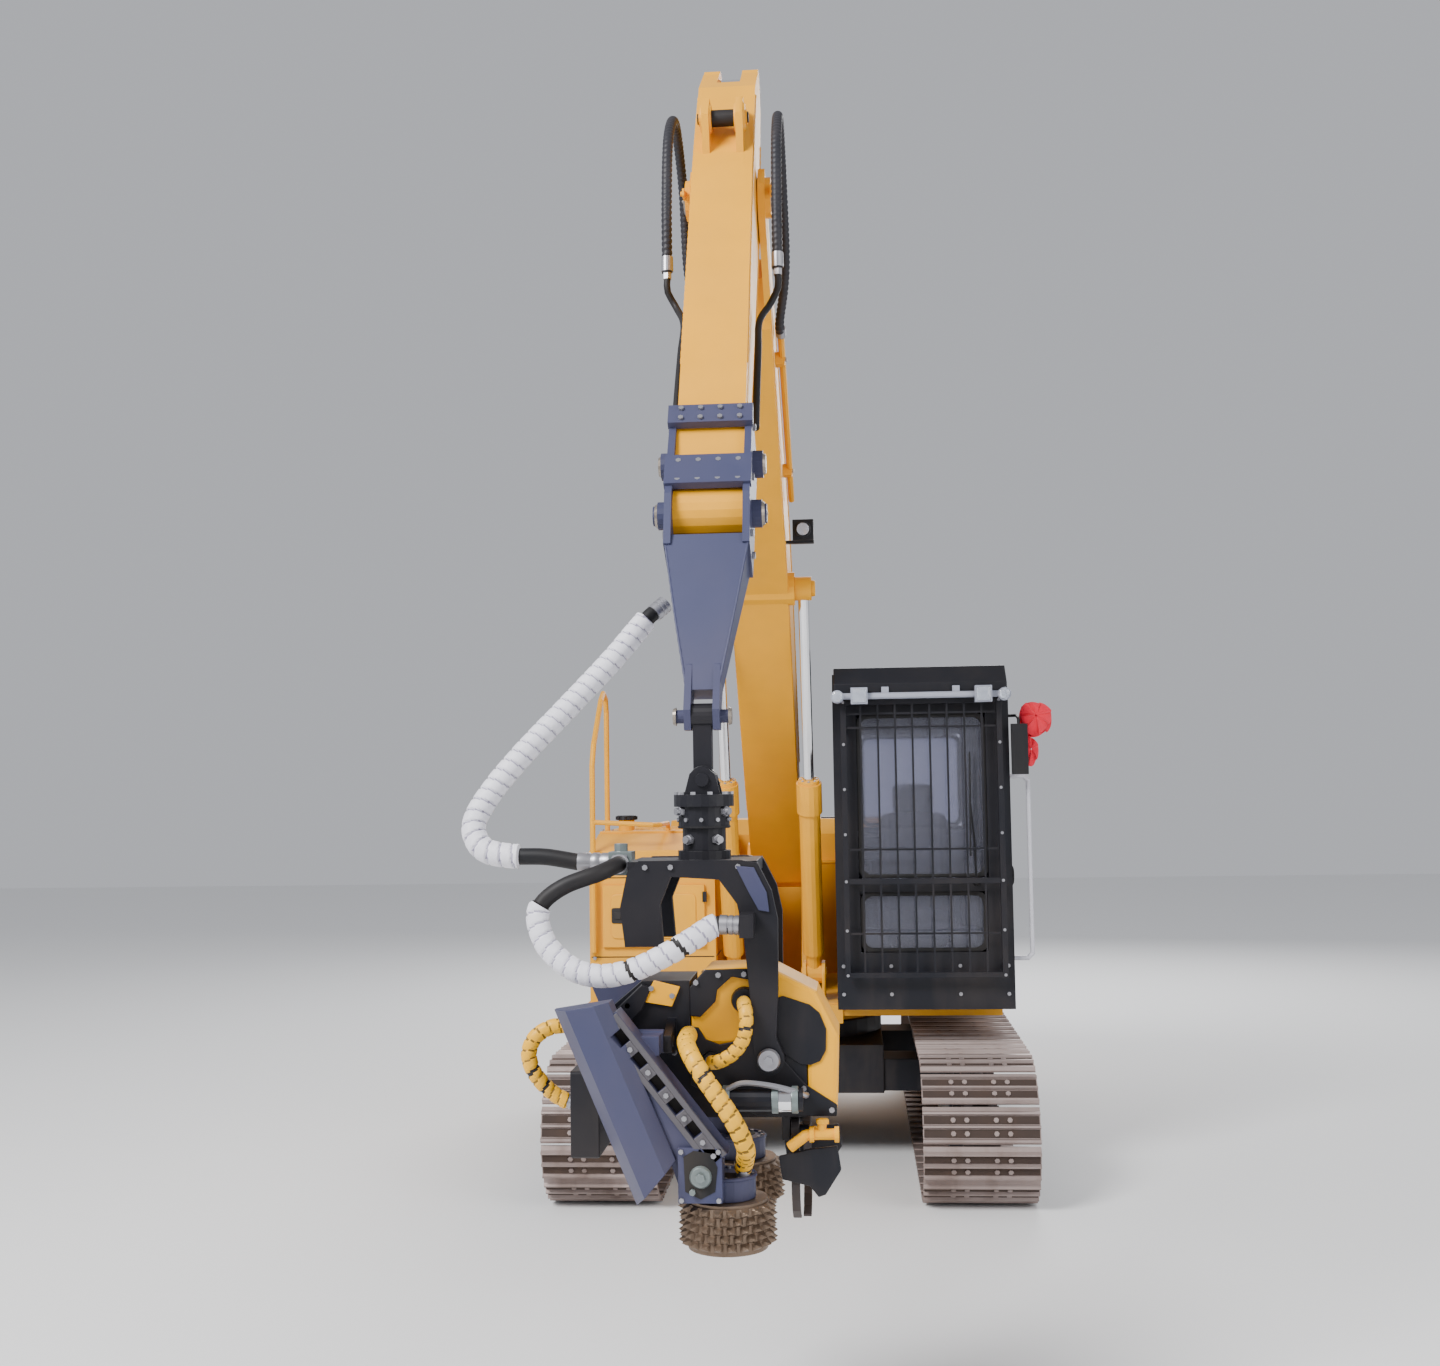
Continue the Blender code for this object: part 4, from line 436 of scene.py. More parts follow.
def smooth_path(points, step):
    """Points every step metres along a Catmull-Rom curve through a route's points."""
    points = np.asarray(points, dtype=float)
    padded = np.vstack([2 * points[0] - points[1], points, 2 * points[-1] - points[-2]])
    t = np.linspace(0, 1, 24, endpoint=False)[:, None]
    runs = []
    for p0, p1, p2, p3 in zip(padded, padded[1:], padded[2:], padded[3:]):
        runs.append(
            0.5
            * (
                2 * p1 + (p2 - p0) * t + (2 * p0 - 5 * p1 + 4 * p2 - p3) * t**2
                + (3 * p1 - p0 - 3 * p2 + p3) * t**3
            )
        )
    fine = np.vstack([*runs, points[-1]])
    walked = np.concatenate([[0.0], np.cumsum(np.linalg.norm(np.diff(fine, axis=0), axis=1))])
    even = np.linspace(0.0, walked[-1], max(4, int(round(walked[-1] / step)) + 1))
    return np.stack([np.interp(even, walked, fine[:, k]) for k in range(3)], axis=1)


SHOES = 48
SHOE_HALF = 0.30
CHAIN = 0.12
SHOE_STEEL = finish(
    "track_shoe_steel", (0.36, 0.29, 0.27), 0.46, metallic=0.55, soil=0.5, grain=0.9, bump=0.35,
    soil_colour=(0.12, 0.075, 0.055)
)
LINK_STEEL = finish(
    "track_link_steel", (0.12, 0.10, 0.10), 0.55, metallic=0.7, soil=0.5, grain=0.9, bump=0.3,
    soil_colour=(0.13, 0.085, 0.06)
)
EARTH = finish(
    "packed_earth", (0.050, 0.034, 0.028), 0.85, soil=0.5, grain=1.0, bump=0.6,
    soil_colour=(0.09, 0.06, 0.045)
)
SHOE_PROFILE = [
    (-0.086, 0.084), (-0.086, 0.094), (-0.076, 0.112), (-0.064, 0.113), (-0.056, 0.098),
    (-0.010, 0.098), (-0.004, 0.117), (0.006, 0.117), (0.012, 0.098),
    (0.058, 0.098), (0.064, 0.113), (0.074, 0.112), (0.080, 0.094), (0.100, 0.080),
    (0.098, 0.072), (0.080, 0.082),
]
LINK_PROFILE = [
    (-0.088, 0.030), (-0.070, 0.008), (0.070, 0.008), (0.088, 0.030),
    (0.088, 0.062), (0.060, 0.087), (-0.060, 0.087), (-0.088, 0.062),
]


def loop_frames(low, high, count):
    """Middle of each shoe on the loop's inner face, with its running and outward
    directions, from the box (y, z) of the whole track."""
    radius = (high[2] - low[2]) / 2
    inner = radius - CHAIN
    centre_z = (high[2] + low[2]) / 2
    front, rear = low[1] + radius, high[1] - radius
    straight, pitch = rear - front, inner + 0.03
    bend = math.pi * pitch
    s = (np.arange(count) + 0.5) / count * (2 * straight + 2 * bend)
    angle = np.select(
        [s < straight, s < straight + bend, s < 2 * straight + bend],
        [
            np.full(count, np.pi / 2), np.pi / 2 - (s - straight) / pitch,
            np.full(count, -np.pi / 2)
        ],
        -np.pi / 2 - (s - 2 * straight - bend) / pitch,
    )
    middle = np.select(
        [s < straight, s < straight + bend, s < 2 * straight + bend],
        [front + s, np.full(count, rear), rear - (s - straight - bend)], front
    )
    outward = np.stack([np.cos(angle), np.sin(angle)], axis=1)
    place = np.stack([middle, np.full(count, centre_z)], axis=1) + inner * outward
    along = np.stack([outward[:, 1], -outward[:, 0]], axis=1)
    return place, along, outward


def carried(place, along, outward, profile, x0, x1):
    """A profile (running, outward) pushed across from x0 to x1 at every shoe's place."""
    profile = np.asarray(profile)
    yz = place[:, None] + profile[
        None, :, 0, None
    ] * along[:, None] + profile[None, :, 1, None] * outward[:, None]
    n, count = len(profile), len(place)
    ends = [np.concatenate([np.full((count, n, 1), x), yz], axis=2) for x in (x0, x1)]
    points = np.concatenate(ends, axis=1).reshape(-1, 3)
    one = [*map(tuple, join_grid(2, n)), tuple(range(n)), tuple(range(2 * n - 1, n - 1, -1))]
    return points, [tuple(v + k * 2 * n for v in f) for k in range(count) for f in one]


def crawler(name, node):
    low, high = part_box(node)
    centre = (low[0] + high[0]) / 2 - SLEW_X
    place, along, outward = loop_frames(low, high, SHOES)
    place = place - (SLEW_Y, 0.0)
    shoes = Bundle()
    shoes.add(
        *carried(place, along, outward, SHOE_PROFILE, centre - SHOE_HALF, centre + SHOE_HALF)
    )
    for x in (-0.145, -0.075, 0.075, 0.145):
        for run in (-0.033, 0.035):
            for p, a, o in zip(place, along, outward):
                spot = p + run * a + 0.098 * o
                shoes.disc((centre + x, *spot), (0, *o), 0.014, 0.010)
    shoes.piece(name + "_shoes", "undercarriage", "track_steel", SHOE_STEEL)
    mud = Bundle()
    for run in (-0.033, 0.035):
        bed = [
            (run - 0.021, 0.096), (run + 0.021, 0.096), (run + 0.019, 0.1015),
            (run - 0.019, 0.1015)
        ]
        mud.add(
            *carried(
                place, along, outward, bed, centre - SHOE_HALF + 0.006,
                centre + SHOE_HALF - 0.006
            )
        )
    mud.piece(name + "_packed_earth", "undercarriage", "track_steel", EARTH)
    chain = Bundle()
    for inner, outer in ((0.040, 0.085), (-0.085, -0.040)):
        chain.add(*carried(place, along, outward, LINK_PROFILE, centre + inner, centre + outer))
    pin = [(0.022 * math.cos(a), 0.045 + 0.022 * math.sin(a)) for a in np.arange(8) * math.pi / 4]
    half_step = [(u + 0.0865, w) for u, w in pin]
    chain.add(*carried(place, along, outward, half_step, centre - 0.095, centre + 0.095))
    links = chain.piece(name + "_chain", "undercarriage", "track_steel", LINK_STEEL)
    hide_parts(node)


for side in ("left", "right"):
    crawler("crawler_" + side, "track_" + side)

# ------------------------------------------------------------ track frames and car body
# Fabricated black frames carry the rollers and the idler. Bolts hold the rollers' end
# caps, the sprocket's ring and the motor cover, and a rock guard lies over the chain.

dress(
    BLACK, 0.006, "car_body", "track_frame_left", "track_frame_right", "final_drive_left",
    "final_drive_right"
)


def track_hardware(name, sign):
    low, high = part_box("track_frame_" + name)
    drive_low, drive_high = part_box("final_drive_" + name)
    outer = (high[0] if sign > 0 else low[0]) - SLEW_X
    small = Bundle()
    for y in np.linspace(-1.05, 1.05, 6):
        for dy in (-0.045, 0.045):
            small.disc((outer - sign * 0.018, y + dy, 0.225), (sign, 0, 0), 0.014, 0.012)
    hub_x = (drive_high[0] if sign > 0 else drive_low[0]) - SLEW_X
    hub_y = (drive_low[1] + drive_high[1]) / 2 - SLEW_Y
    hub_z = (drive_low[2] + drive_high[2]) / 2
    for a in np.arange(12) * math.pi / 6:
        small.disc(
            (hub_x - sign * 0.055, hub_y + 0.152 * math.cos(a), hub_z + 0.152 * math.sin(a)),
            (sign, 0, 0), 0.013, 0.012
        )
    for a in np.arange(3) * 2 * math.pi / 3:
        small.disc(
            (hub_x, hub_y + 0.07 * math.cos(a), hub_z + 0.07 * math.sin(a)), (sign, 0, 0),
            0.016, 0.010
        )
    small.piece("track_frame_bolts_" + name, "undercarriage", "track_steel", ZINC)
    cover = Bundle()
    edge = outer - sign * 0.016
    panel = sorted((edge, edge + sign * 0.012))
    for y0, y1 in ((-0.98, -0.10), (0.10, 0.98)):
        cover.prism(
            "X",
            [(y0, 0.34), (y1, 0.34), (y1, 0.43), (y1 - 0.04, 0.45), (y0 + 0.04, 0.45), (y0, 0.43)],
            *panel
        )
    cover.piece("track_frame_cover_" + name, "undercarriage", "black_paint", BLACK, bevel=0.004)


track_hardware("left", 1)
track_hardware("right", -1)

swing = Bundle()
for a in np.arange(36) * 2 * math.pi / 36:
    swing.disc((0.49 * math.cos(a), 0.49 * math.sin(a), 0.838), (0, 0, 1), 0.015, 0.012)
swing.piece("slew_ring_bolts", "upper_structure", "bright_steel", ZINC)

# ------------------------------------------------------------ deck, tank and tool box
# Yellow pressed panels. The tool box's front door has a folded edge, two hinges and a
# turn latch, treads of expanded plate lie on the box tops, and the tank has its cap.

dress(
    YELLOW, 0.008, "upper_frame", "counterweight", "bay_top_deck", "tool_box", "fuel_tank",
    "engine_hood"
)
dress(YELLOW, 0.005, "left_side_door", "right_side_door", "tool_box_door")
dress(YELLOW, 0.0, "deck_handrail")
dress(BLACK, 0.01, "engine_block")


def rounded(x0, x1, y0, y1, radius, steps=4):
    """Outline of a rectangle with round corners."""
    turn = np.linspace(0, math.pi / 2, steps + 1)
    corners = (
        (x1 - radius, y1 - radius, 0), (x0 + radius, y1 - radius, 1),
        (x0 + radius, y0 + radius, 2), (x1 - radius, y0 + radius, 3)
    )
    return [
        (cx + radius * math.cos(t + q * math.pi / 2), cy + radius * math.sin(t + q * math.pi / 2))
        for cx,
        cy, q in corners for t in turn
    ]


def local(node):
    """Box of a CAD node, measured from the slewing axis."""
    low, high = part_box(node)
    return (low[0] - SLEW_X, low[1] - SLEW_Y, low[2]), (
        high[0] - SLEW_X, high[1] - SLEW_Y, high[2]
    )


(door_x0, door_y, door_z0), (door_x1, _, door_z1) = local("tool_box_door")
panel = Bundle()
panel.prism(
    "Y", rounded(door_x0 + 0.05, door_x1 - 0.05, door_z0 + 0.05, door_z1 - 0.05, 0.03),
    door_y - 0.008, door_y + 0.004
)
panel.piece("tool_box_door_pressing", "tool_box_door", "machine_yellow", YELLOW, bevel=0.006)
latch = Bundle()
latch.prism(
    "Y", rounded(door_x0 + 0.055, door_x0 + 0.125, 1.44, 1.53, 0.012), door_y - 0.014,
    door_y - 0.004
)
latch.prism(
    "Y", rounded(door_x0 + 0.07, door_x0 + 0.11, 1.465, 1.505, 0.008), door_y - 0.022,
    door_y - 0.012
)
for z in (1.36, 1.56):
    latch.box(door_x1 - 0.012, door_x1 + 0.012, door_y - 0.010, door_y + 0.012, z, z + 0.06)
latch.piece("tool_box_latch_and_hinges", "tool_box_door", "black_paint", PLASTIC, bevel=0.002)

(box_x0, box_y0, _), (box_x1, box_y1, _) = local("tool_box")
tank_y0 = local("fuel_tank")[0][1]
TANK_DECK = 1.965
tread = Bundle()
for row in range(16):
    for column in range(9):
        x = box_x0 + 0.09 + column * 0.072 + (row % 2) * 0.036
        y = tank_y0 + 0.25 + row * 0.045
        if x < box_x1 - 0.08 and not (-1.12 < x < -0.94 and -0.49 < y < -0.31):
            tread.disc((x, y, TANK_DECK), (0, 0, 1), 0.014, 0.004, sides=8, top=0.010)
tread.piece("tank_tread_buttons", "upper_structure", "machine_yellow", YELLOW)
cap = Bundle()
cap.disc((-1.03, -0.40, 2.030), (0, 0, 1), 0.062, 0.028, sides=24, top=0.058)
for a in np.arange(8) * math.pi / 4:
    cap.disc(
        (-1.03 + 0.06 * math.cos(a), -0.40 + 0.06 * math.sin(a), 2.032), (0, 0, 1), 0.010, 0.022
    )
cap.piece("tank_filler_cap", "upper_structure", "black_paint", PLASTIC, bevel=0.002)

rim = Bundle()
for x in (box_x0 - 0.0015, box_x1 - 0.0045):
    rim.box(x, x + 0.006, box_y0 + 0.02, box_y1 - 0.01, 1.24, 1.246)
rim.box(box_x0 + 0.01, box_x1 - 0.01, box_y0 - 0.0015, box_y0 + 0.004, 1.240, 1.246)
rim.box(box_x0 + 0.01, box_x1 - 0.01, box_y0 - 0.0015, box_y0 + 0.004, 1.700, 1.706)
rim.piece("tool_box_seams", "upper_structure", "black_paint", RUBBER)

rail_bolts = Bundle()
for place, normal in (
    ((-1.15, box_y0 - 0.003, 1.303), (0, -1, 0)), ((-1.15, box_y0 - 0.003, 1.237), (0, -1, 0)),
    ((-1.12, -0.40, TANK_DECK), (0, 0, 1)), ((-1.18, -0.40, TANK_DECK), (0, 0, 1))
):
    rail_bolts.disc(place, normal, 0.011, 0.009)
rail_bolts.piece("handrail_bolts", "upper_structure", "bright_steel", ZINC)

# ------------------------------------------------------------ engine hood and side doors
# Louvres cut in the side doors let air to the coolers, the hood has a raised grille and
# two latches, and the exhaust stack ends in a slanted pipe.


def louvres(name, body, side, y0, y1, z0, z1, rows, columns):
    """Rows of pressed louvres on a door's skin: each a half-round hood, with a strip of
    painted shade below it for the opening.
    """
    skin = side * 1.20
    vents = Bundle()
    width = (y1 - y0) / columns
    for row in range(rows):
        z = z0 + (z1 - z0) * row / (rows - 1)
        for column in range(columns):
            a, b = y0 + column * width + 0.015, y0 + (column + 1) * width - 0.015
            outline = [
                (skin - side * 0.002, z), (skin + side * 0.013, z + 0.004),
                (skin + side * 0.010, z + 0.018), (skin - side * 0.002, z + 0.030)
            ]
            vents.prism("Y", outline, a, b)
    vents.piece(name + "_louvres", body, "machine_yellow", YELLOW, bevel=0.002)
    # A dark strip under each hood is painted shade for the opening below it.
    slots = Bundle()
    for row in range(rows):
        z = z0 + (z1 - z0) * row / (rows - 1)
        for column in range(columns):
            a, b = y0 + column * width + 0.018, y0 + (column + 1) * width - 0.018
            low, high = sorted((skin, skin + side * 0.0115))
            slots.box(low, high, a, b, z - 0.004, z + 0.001)
    slots.piece(name + "_louvre_gaps", body, "black_paint", RUBBER)


for name, side in (("left_side_door", 1), ("right_side_door", -1)):
    louvres(name, name, side, 0.66, 1.16, 1.10, 1.50, 9, 2)
    fittings = Bundle()
    skin = side * 1.20
    for z in (1.14, 1.56):
        low, high = sorted((skin - side * 0.004, skin + side * 0.012))
        fittings.prism("X", rounded(1.33, 1.40, z - 0.05, z + 0.05, 0.01), low, high)
    low, high = sorted((skin - side * 0.002, skin + side * 0.016))
    fittings.prism("X", rounded(0.60, 0.63, 1.30, 1.44, 0.008), low, high)
    fittings.piece(name + "_fittings", name, "black_paint", PLASTIC, bevel=0.002)

(hood_x0, hood_y0, hood_z0), (hood_x1, _, _) = local("engine_hood")
HOOD_TOP = 2.0
grille = Bundle()
for i in range(14):
    y = hood_y0 + 0.20 + i * 0.027
    grille.prism(
        "X",
        [
            (y, HOOD_TOP - 0.002), (y + 0.016, HOOD_TOP - 0.002), (y + 0.013, HOOD_TOP + 0.009),
            (y + 0.003, HOOD_TOP + 0.009)
        ],
        0.15, 0.65
    )
grille.piece("hood_top_grille", "engine_hood", "black_paint", BLACK, bevel=0.0015)
latches = Bundle()
for x in (hood_x0 + 0.25, hood_x1 - 0.25):
    latches.prism(
        "Y", rounded(x - 0.045, x + 0.045, hood_z0 + 0.05, hood_z0 + 0.10, 0.012),
        hood_y0 - 0.012, hood_y0 + 0.004
    )
latches.piece("hood_latches", "engine_hood", "black_paint", PLASTIC, bevel=0.002)

stack = Bundle()
ring = np.arange(24) * 2 * math.pi / 24
STACK = (-0.11, 1.15)
for radius, z0, z1 in (
    (0.066, HOOD_TOP - 0.004, HOOD_TOP + 0.022), (0.056, HOOD_TOP + 0.14, HOOD_TOP + 0.155)
):
    stack.prism(
        "Z", [(STACK[0] + radius * math.cos(a), STACK[1] + radius * math.sin(a)) for a in ring],
        z0, z1
    )
stack.piece("exhaust_clamps", "engine_hood", "bright_steel", ZINC, bevel=0.002)

# ------------------------------------------------------------ counterweight
# One casting. A bolted tow eye, two lifting eyes on top, and a pair of rear lamps stand
# on it.

weight = Bundle()
for x in (-0.75, 0.75):
    weight.tube(
        smooth_path(
            [
                (x, 1.62, 1.715), (x, 1.62, 1.77), (x, 1.66, 1.80), (x, 1.74, 1.80),
                (x, 1.78, 1.77), (x, 1.78, 1.715)
            ],
            0.015
        ),
        0.014, 8
    )
weight.piece(
    "counterweight_lifting_eyes", "upper_structure", "machine_yellow", YELLOW, smooth=True
)
rear = Bundle()
for sign in (-1, 1):
    angle = math.pi / 2 - sign * 0.42
    place = (2.150 * math.cos(angle), 2.150 * math.sin(angle), 1.45)
    rear.disc(place, (math.cos(angle), math.sin(angle), 0), 0.055, 0.022, sides=20, top=0.048)
rear.piece("rear_lamp_rims", "upper_structure", "black_paint", PLASTIC, bevel=0.003)

# ------------------------------------------------------------ cab
# A pressed and welded black cab. Tinted panes sit in rubber gaskets in its window holes,
# one wiper parks on the windscreen, and bolts and seams show where panels meet.

dress(BLACK, 0.010, "cab_shell", "cab_door")
CAB_X0, CAB_X1, CAB_FRONT, CAB_REAR = 0.265, 1.246, -1.24, 0.46
GASKET = finish("window_gasket", (0.012, 0.012, 0.013), 0.6, soil=0.1, grain=0.5)


def glass(name, colour, clear, roughness=0.04):
    """Tinted glass: clear is the share of light that it lets through, and fine dust
    dulls it in patches."""
    material = bpy.data.materials.new(name)
    material.use_nodes = True
    tree = material.node_tree
    shader = tree.nodes["Principled BSDF"]
    coordinates = tree.nodes.new("ShaderNodeTexCoord")
    grit = spread(
        tree, noise(tree, coordinates, 60.0, 3.0), "Fac", 0.4, 0.8, roughness, roughness + 0.12
    )
    shader.inputs["Transmission Weight"].default_value = clear
    link(tree, grit, "Result", shader, "Roughness")
    shader.inputs["Base Color"].default_value = (*colour, 1.0)
    shader.inputs["IOR"].default_value = 1.45
    return material


PANE = glass("tinted_pane", (0.56, 0.57, 0.70), 0.90)


def pane(name, body, axis, level, thick, a0, a1, b0, b1, radius=0.04):
    """Pane across one of the cab's holes, and the gasket round its edge."""
    outline = rounded(a0 + 0.004, a1 - 0.004, b0 + 0.004, b1 - 0.004, radius)
    sheet = Bundle()
    sheet.prism(axis, outline, level - thick / 2, level + thick / 2)
    sheet.piece(name + "_pane", body, "mirror_black", PANE)
    ring = rounded(a0 + 0.007, a1 - 0.007, b0 + 0.007, b1 - 0.007, radius - 0.003, 6)
    rows = []
    for depth, inset in (
        (0.014, -0.005), (0.017, 0.006), (0.010, 0.016), (-0.010, 0.016), (-0.017, 0.006),
        (-0.014, -0.005)
    ):
        loop = np.asarray(
            rounded(
                a0 + 0.007 + inset, a1 - 0.007 - inset, b0 + 0.007 + inset, b1 - 0.007 - inset,
                radius, 6
            )
        )
        columns = [loop[:, 0], loop[:, 1]]
        columns.insert("XYZ".index(axis), np.full(len(ring), level + depth))
        rows.append(np.stack(columns, axis=1))
    gasket = Bundle()
    gasket.add(np.concatenate([*rows, rows[0]]), join_grid(len(rows) + 1, len(ring)))
    gasket.piece(name + "_gasket", body, "black_rubber", GASKET, smooth=True)


DOOR_Y0, DOOR_Z0 = CAB_FRONT + 0.14, 0.9753 + 0.09
pane(
    "windscreen", "upper_structure", "Y", CAB_FRONT + 0.025, 0.006, CAB_X0 + 0.13,
    CAB_X1 - 0.13, 1.70, 2.62, 0.05
)
pane(
    "lower_windscreen", "upper_structure", "Y", CAB_FRONT + 0.025, 0.006, CAB_X0 + 0.135,
    CAB_X1 - 0.14, 1.29, 1.625, 0.05
)
pane(
    "right_front_window", "upper_structure", "X", CAB_X0 + 0.025, 0.006, CAB_FRONT + 0.16,
    CAB_FRONT + 0.90, 1.55, 2.62
)
pane(
    "right_rear_window", "upper_structure", "X", CAB_X0 + 0.025, 0.006, CAB_FRONT + 0.98,
    CAB_REAR - 0.14, 1.85, 2.62
)
pane(
    "left_rear_window", "upper_structure", "X", CAB_X1 - 0.025, 0.006, CAB_FRONT + 1.22,
    CAB_REAR - 0.14, 1.85, 2.62
)
pane(
    "rear_window", "upper_structure", "Y", CAB_REAR - 0.025, 0.006, CAB_X0 + 0.16,
    CAB_X1 - 0.16, 1.95, 2.55
)
pane(
    "roof_window", "upper_structure", "Z", 2.83, 0.006, CAB_X0 + 0.2, CAB_X1 - 0.2,
    CAB_FRONT + 0.35, CAB_FRONT + 1.10
)
pane(
    "door_upper_window", "cab_door", "X", CAB_X1 - 0.02, 0.006, DOOR_Y0 + 0.09,
    CAB_FRONT + 1.10 - 0.09, DOOR_Z0 + 0.62, 2.8553 - 0.14 - 0.08
)
pane(
    "door_lower_window", "cab_door", "X", CAB_X1 - 0.02, 0.006, DOOR_Y0 + 0.09,
    CAB_FRONT + 1.10 - 0.38, DOOR_Z0 + 0.12, DOOR_Z0 + 0.52
)

seams = Bundle()
seams.box(CAB_X0 + 0.02, CAB_X1 - 0.02, CAB_FRONT - 0.0015, CAB_FRONT + 0.004, 1.150, 1.156)
seams.box(CAB_X0 + 0.02, CAB_X1 - 0.02, CAB_FRONT - 0.0015, CAB_FRONT + 0.004, 1.655, 1.660)
for x in (CAB_X0 - 0.0015, CAB_X1 - 0.004):
    seams.box(x, x + 0.0055, CAB_FRONT + 0.02, CAB_REAR - 0.02, 1.030, 1.035)
seams.piece("cab_panel_seams", "upper_structure", "black_rubber", RUBBER)

fixings = Bundle()
for x in (CAB_X0 + 0.035, CAB_X0 + 0.30, CAB_X1 - 0.30, CAB_X1 - 0.035):
    fixings.disc((x, CAB_FRONT, 1.215), (0, -1, 0), 0.011, 0.008)
    fixings.disc((x, CAB_FRONT, 1.060), (0, -1, 0), 0.011, 0.008)
fixings.piece("cab_front_bolts", "upper_structure", "bright_steel", ZINC)

wiper = Bundle()
wiper.disc((1.045, CAB_FRONT, 1.675), (0, -1, 0), 0.020, 0.035, sides=14, top=0.014)
wiper.tube(
    [
        (1.045, CAB_FRONT - 0.030, 1.675), (1.040, CAB_FRONT - 0.032, 1.90),
        (1.020, CAB_FRONT - 0.022, 2.12)
    ],
    0.006, 6
)
wiper.prism(
    "Y", [(1.012, 1.82), (1.022, 1.82), (1.030, 2.40), (1.020, 2.40)], CAB_FRONT - 0.024,
    CAB_FRONT - 0.006
)
wiper.piece("windscreen_wiper", "upper_structure", "black_paint", PLASTIC)

handle = Bundle()
handle.prism(
    "X", rounded(DOOR_Y0 + 0.02, DOOR_Y0 + 0.075, 1.62, 1.78, 0.014), CAB_X1 - 0.002,
    CAB_X1 + 0.010
)
handle.tube(
    smooth_path(
        [
            (CAB_X1 + 0.004, DOOR_Y0 + 0.048, 1.645), (CAB_X1 + 0.018, DOOR_Y0 + 0.048, 1.655),
            (CAB_X1 + 0.022, DOOR_Y0 + 0.048, 1.70), (CAB_X1 + 0.018, DOOR_Y0 + 0.048, 1.745),
            (CAB_X1 + 0.004, DOOR_Y0 + 0.048, 1.755)
        ],
        0.012
    ),
    0.007, 8
)
handle.piece("cab_door_handle", "cab_door", "black_paint", PLASTIC, bevel=0.002)

# ------------------------------------------------------------ cab guards, lamps and mirror
# A bar guard bolted in front of the glass, a bent roof plate, and a tube of lamps across
# its visor. The lamps are clear lenses over bright bowls.

dress(BLACK, 0.003, "front_guard")
dress(BLACK, 0.006, "roof_guard")
LAMP_GREY = finish("lamp_grey_enamel", (0.33, 0.35, 0.42), 0.42, soil=0.2, coat=0.2)
dress(LAMP_GREY, 0.004, "lamp_bar")
RAIL_GREY = finish("rail_grey_enamel", (0.55, 0.55, 0.60), 0.36, soil=0.15, coat=0.2)
dress(RAIL_GREY, 0.0, "cab_grab_rail")
dress(PLASTIC, 0.004, "cab_mirror", "boom_lamp")

bolts = Bundle()
for x in (CAB_X0 + 0.06, CAB_X1 - 0.06):
    for z in (1.175, 1.42, 1.69, 1.95, 2.20, 2.45, 2.685):
        bolts.disc((x, CAB_FRONT - 0.10, z), (0, -1, 0), 0.009, 0.007)
for x in np.linspace(CAB_X0 + 0.07, CAB_X1 - 0.07, 4):
    for y in (CAB_FRONT + 0.12, CAB_REAR - 0.16):
        bolts.disc((x, y, 2.8806), (0, 0, 1), 0.012, 0.009)
bolts.piece("guard_bolts", "upper_structure", "bright_steel", ZINC)

LENS = glass("lamp_lens", (0.80, 0.84, 0.92), 0.75, 0.08)
BOWL = finish("lamp_bowl", (0.75, 0.78, 0.84), 0.22, metallic=0.9, soil=0.1, grain=0.1)


def lens(name, body, outline, y):
    """Bright bowl, fluted glass and rim on a lamp's front face at y."""
    centre = np.mean(outline, axis=0)
    ring = np.asarray(outline) - centre
    rows = [(0.92, 0.0), (0.92, -0.006), (0.70, -0.009), (0.35, -0.011)]
    points = [
        np.stack(
            [centre[0] + s * ring[:, 0], np.full(len(ring), y + d), centre[1] + s * ring[:, 1]],
            axis=1
        )
        for s,
        d in rows
    ]
    front = Bundle()
    n = len(ring)
    front.add(
        np.concatenate(points),
        [
            *map(tuple, join_grid(len(rows), n)), tuple(range(n)),
            tuple(range(len(rows) * n - 1, (len(rows) - 1) * n - 1, -1))
        ]
    )
    front.piece(name + "_glass", body, "lamp_grey", LENS, smooth=True)
    bowl = Bundle()
    bowl.prism("Y", (centre + 0.86 * ring).tolist(), y - 0.0015, y + 0.002)
    bowl.piece(name + "_bowl", body, "lamp_grey", BOWL)


LAMP_Y = CAB_FRONT - 0.155
for i, x in enumerate((0.416, 1.096)):
    lens(
        f"square_lamp_{i}", "upper_structure",
        rounded(x - 0.042, x + 0.042, 2.674, 2.756, 0.012), LAMP_Y - 0.055
    )
circle = np.arange(20) * 2 * math.pi / 20
for i, x in enumerate((CAB_X0 + 0.03, CAB_X1 - 0.035)):
    lens(
        f"round_lamp_{i}", "upper_structure",
        [(x + 0.032 * math.cos(a), 2.712 + 0.032 * math.sin(a)) for a in circle], LAMP_Y - 0.045
    )
fins = Bundle()
for x in (0.416, 1.096):
    for i in range(5):
        z = 2.69 + i * 0.014
        fins.box(x - 0.036, x + 0.036, LAMP_Y + 0.020, LAMP_Y + 0.034, z - 0.002, z + 0.002)
fins.piece("square_lamp_fins", "upper_structure", "lamp_grey", LAMP_GREY)

lamp_low, lamp_high = local("boom_lamp")
boom_glass = (
    (lamp_low[0] + lamp_high[0]) / 2 + 0.02, lamp_low[1],
    (lamp_low[2] + lamp_high[2]) / 2 + 0.005
)
lens(
    "boom_lamp", "boom",
    [(boom_glass[0] + 0.036 * math.cos(a), boom_glass[2] + 0.036 * math.sin(a)) for a in circle],
    boom_glass[1]
)

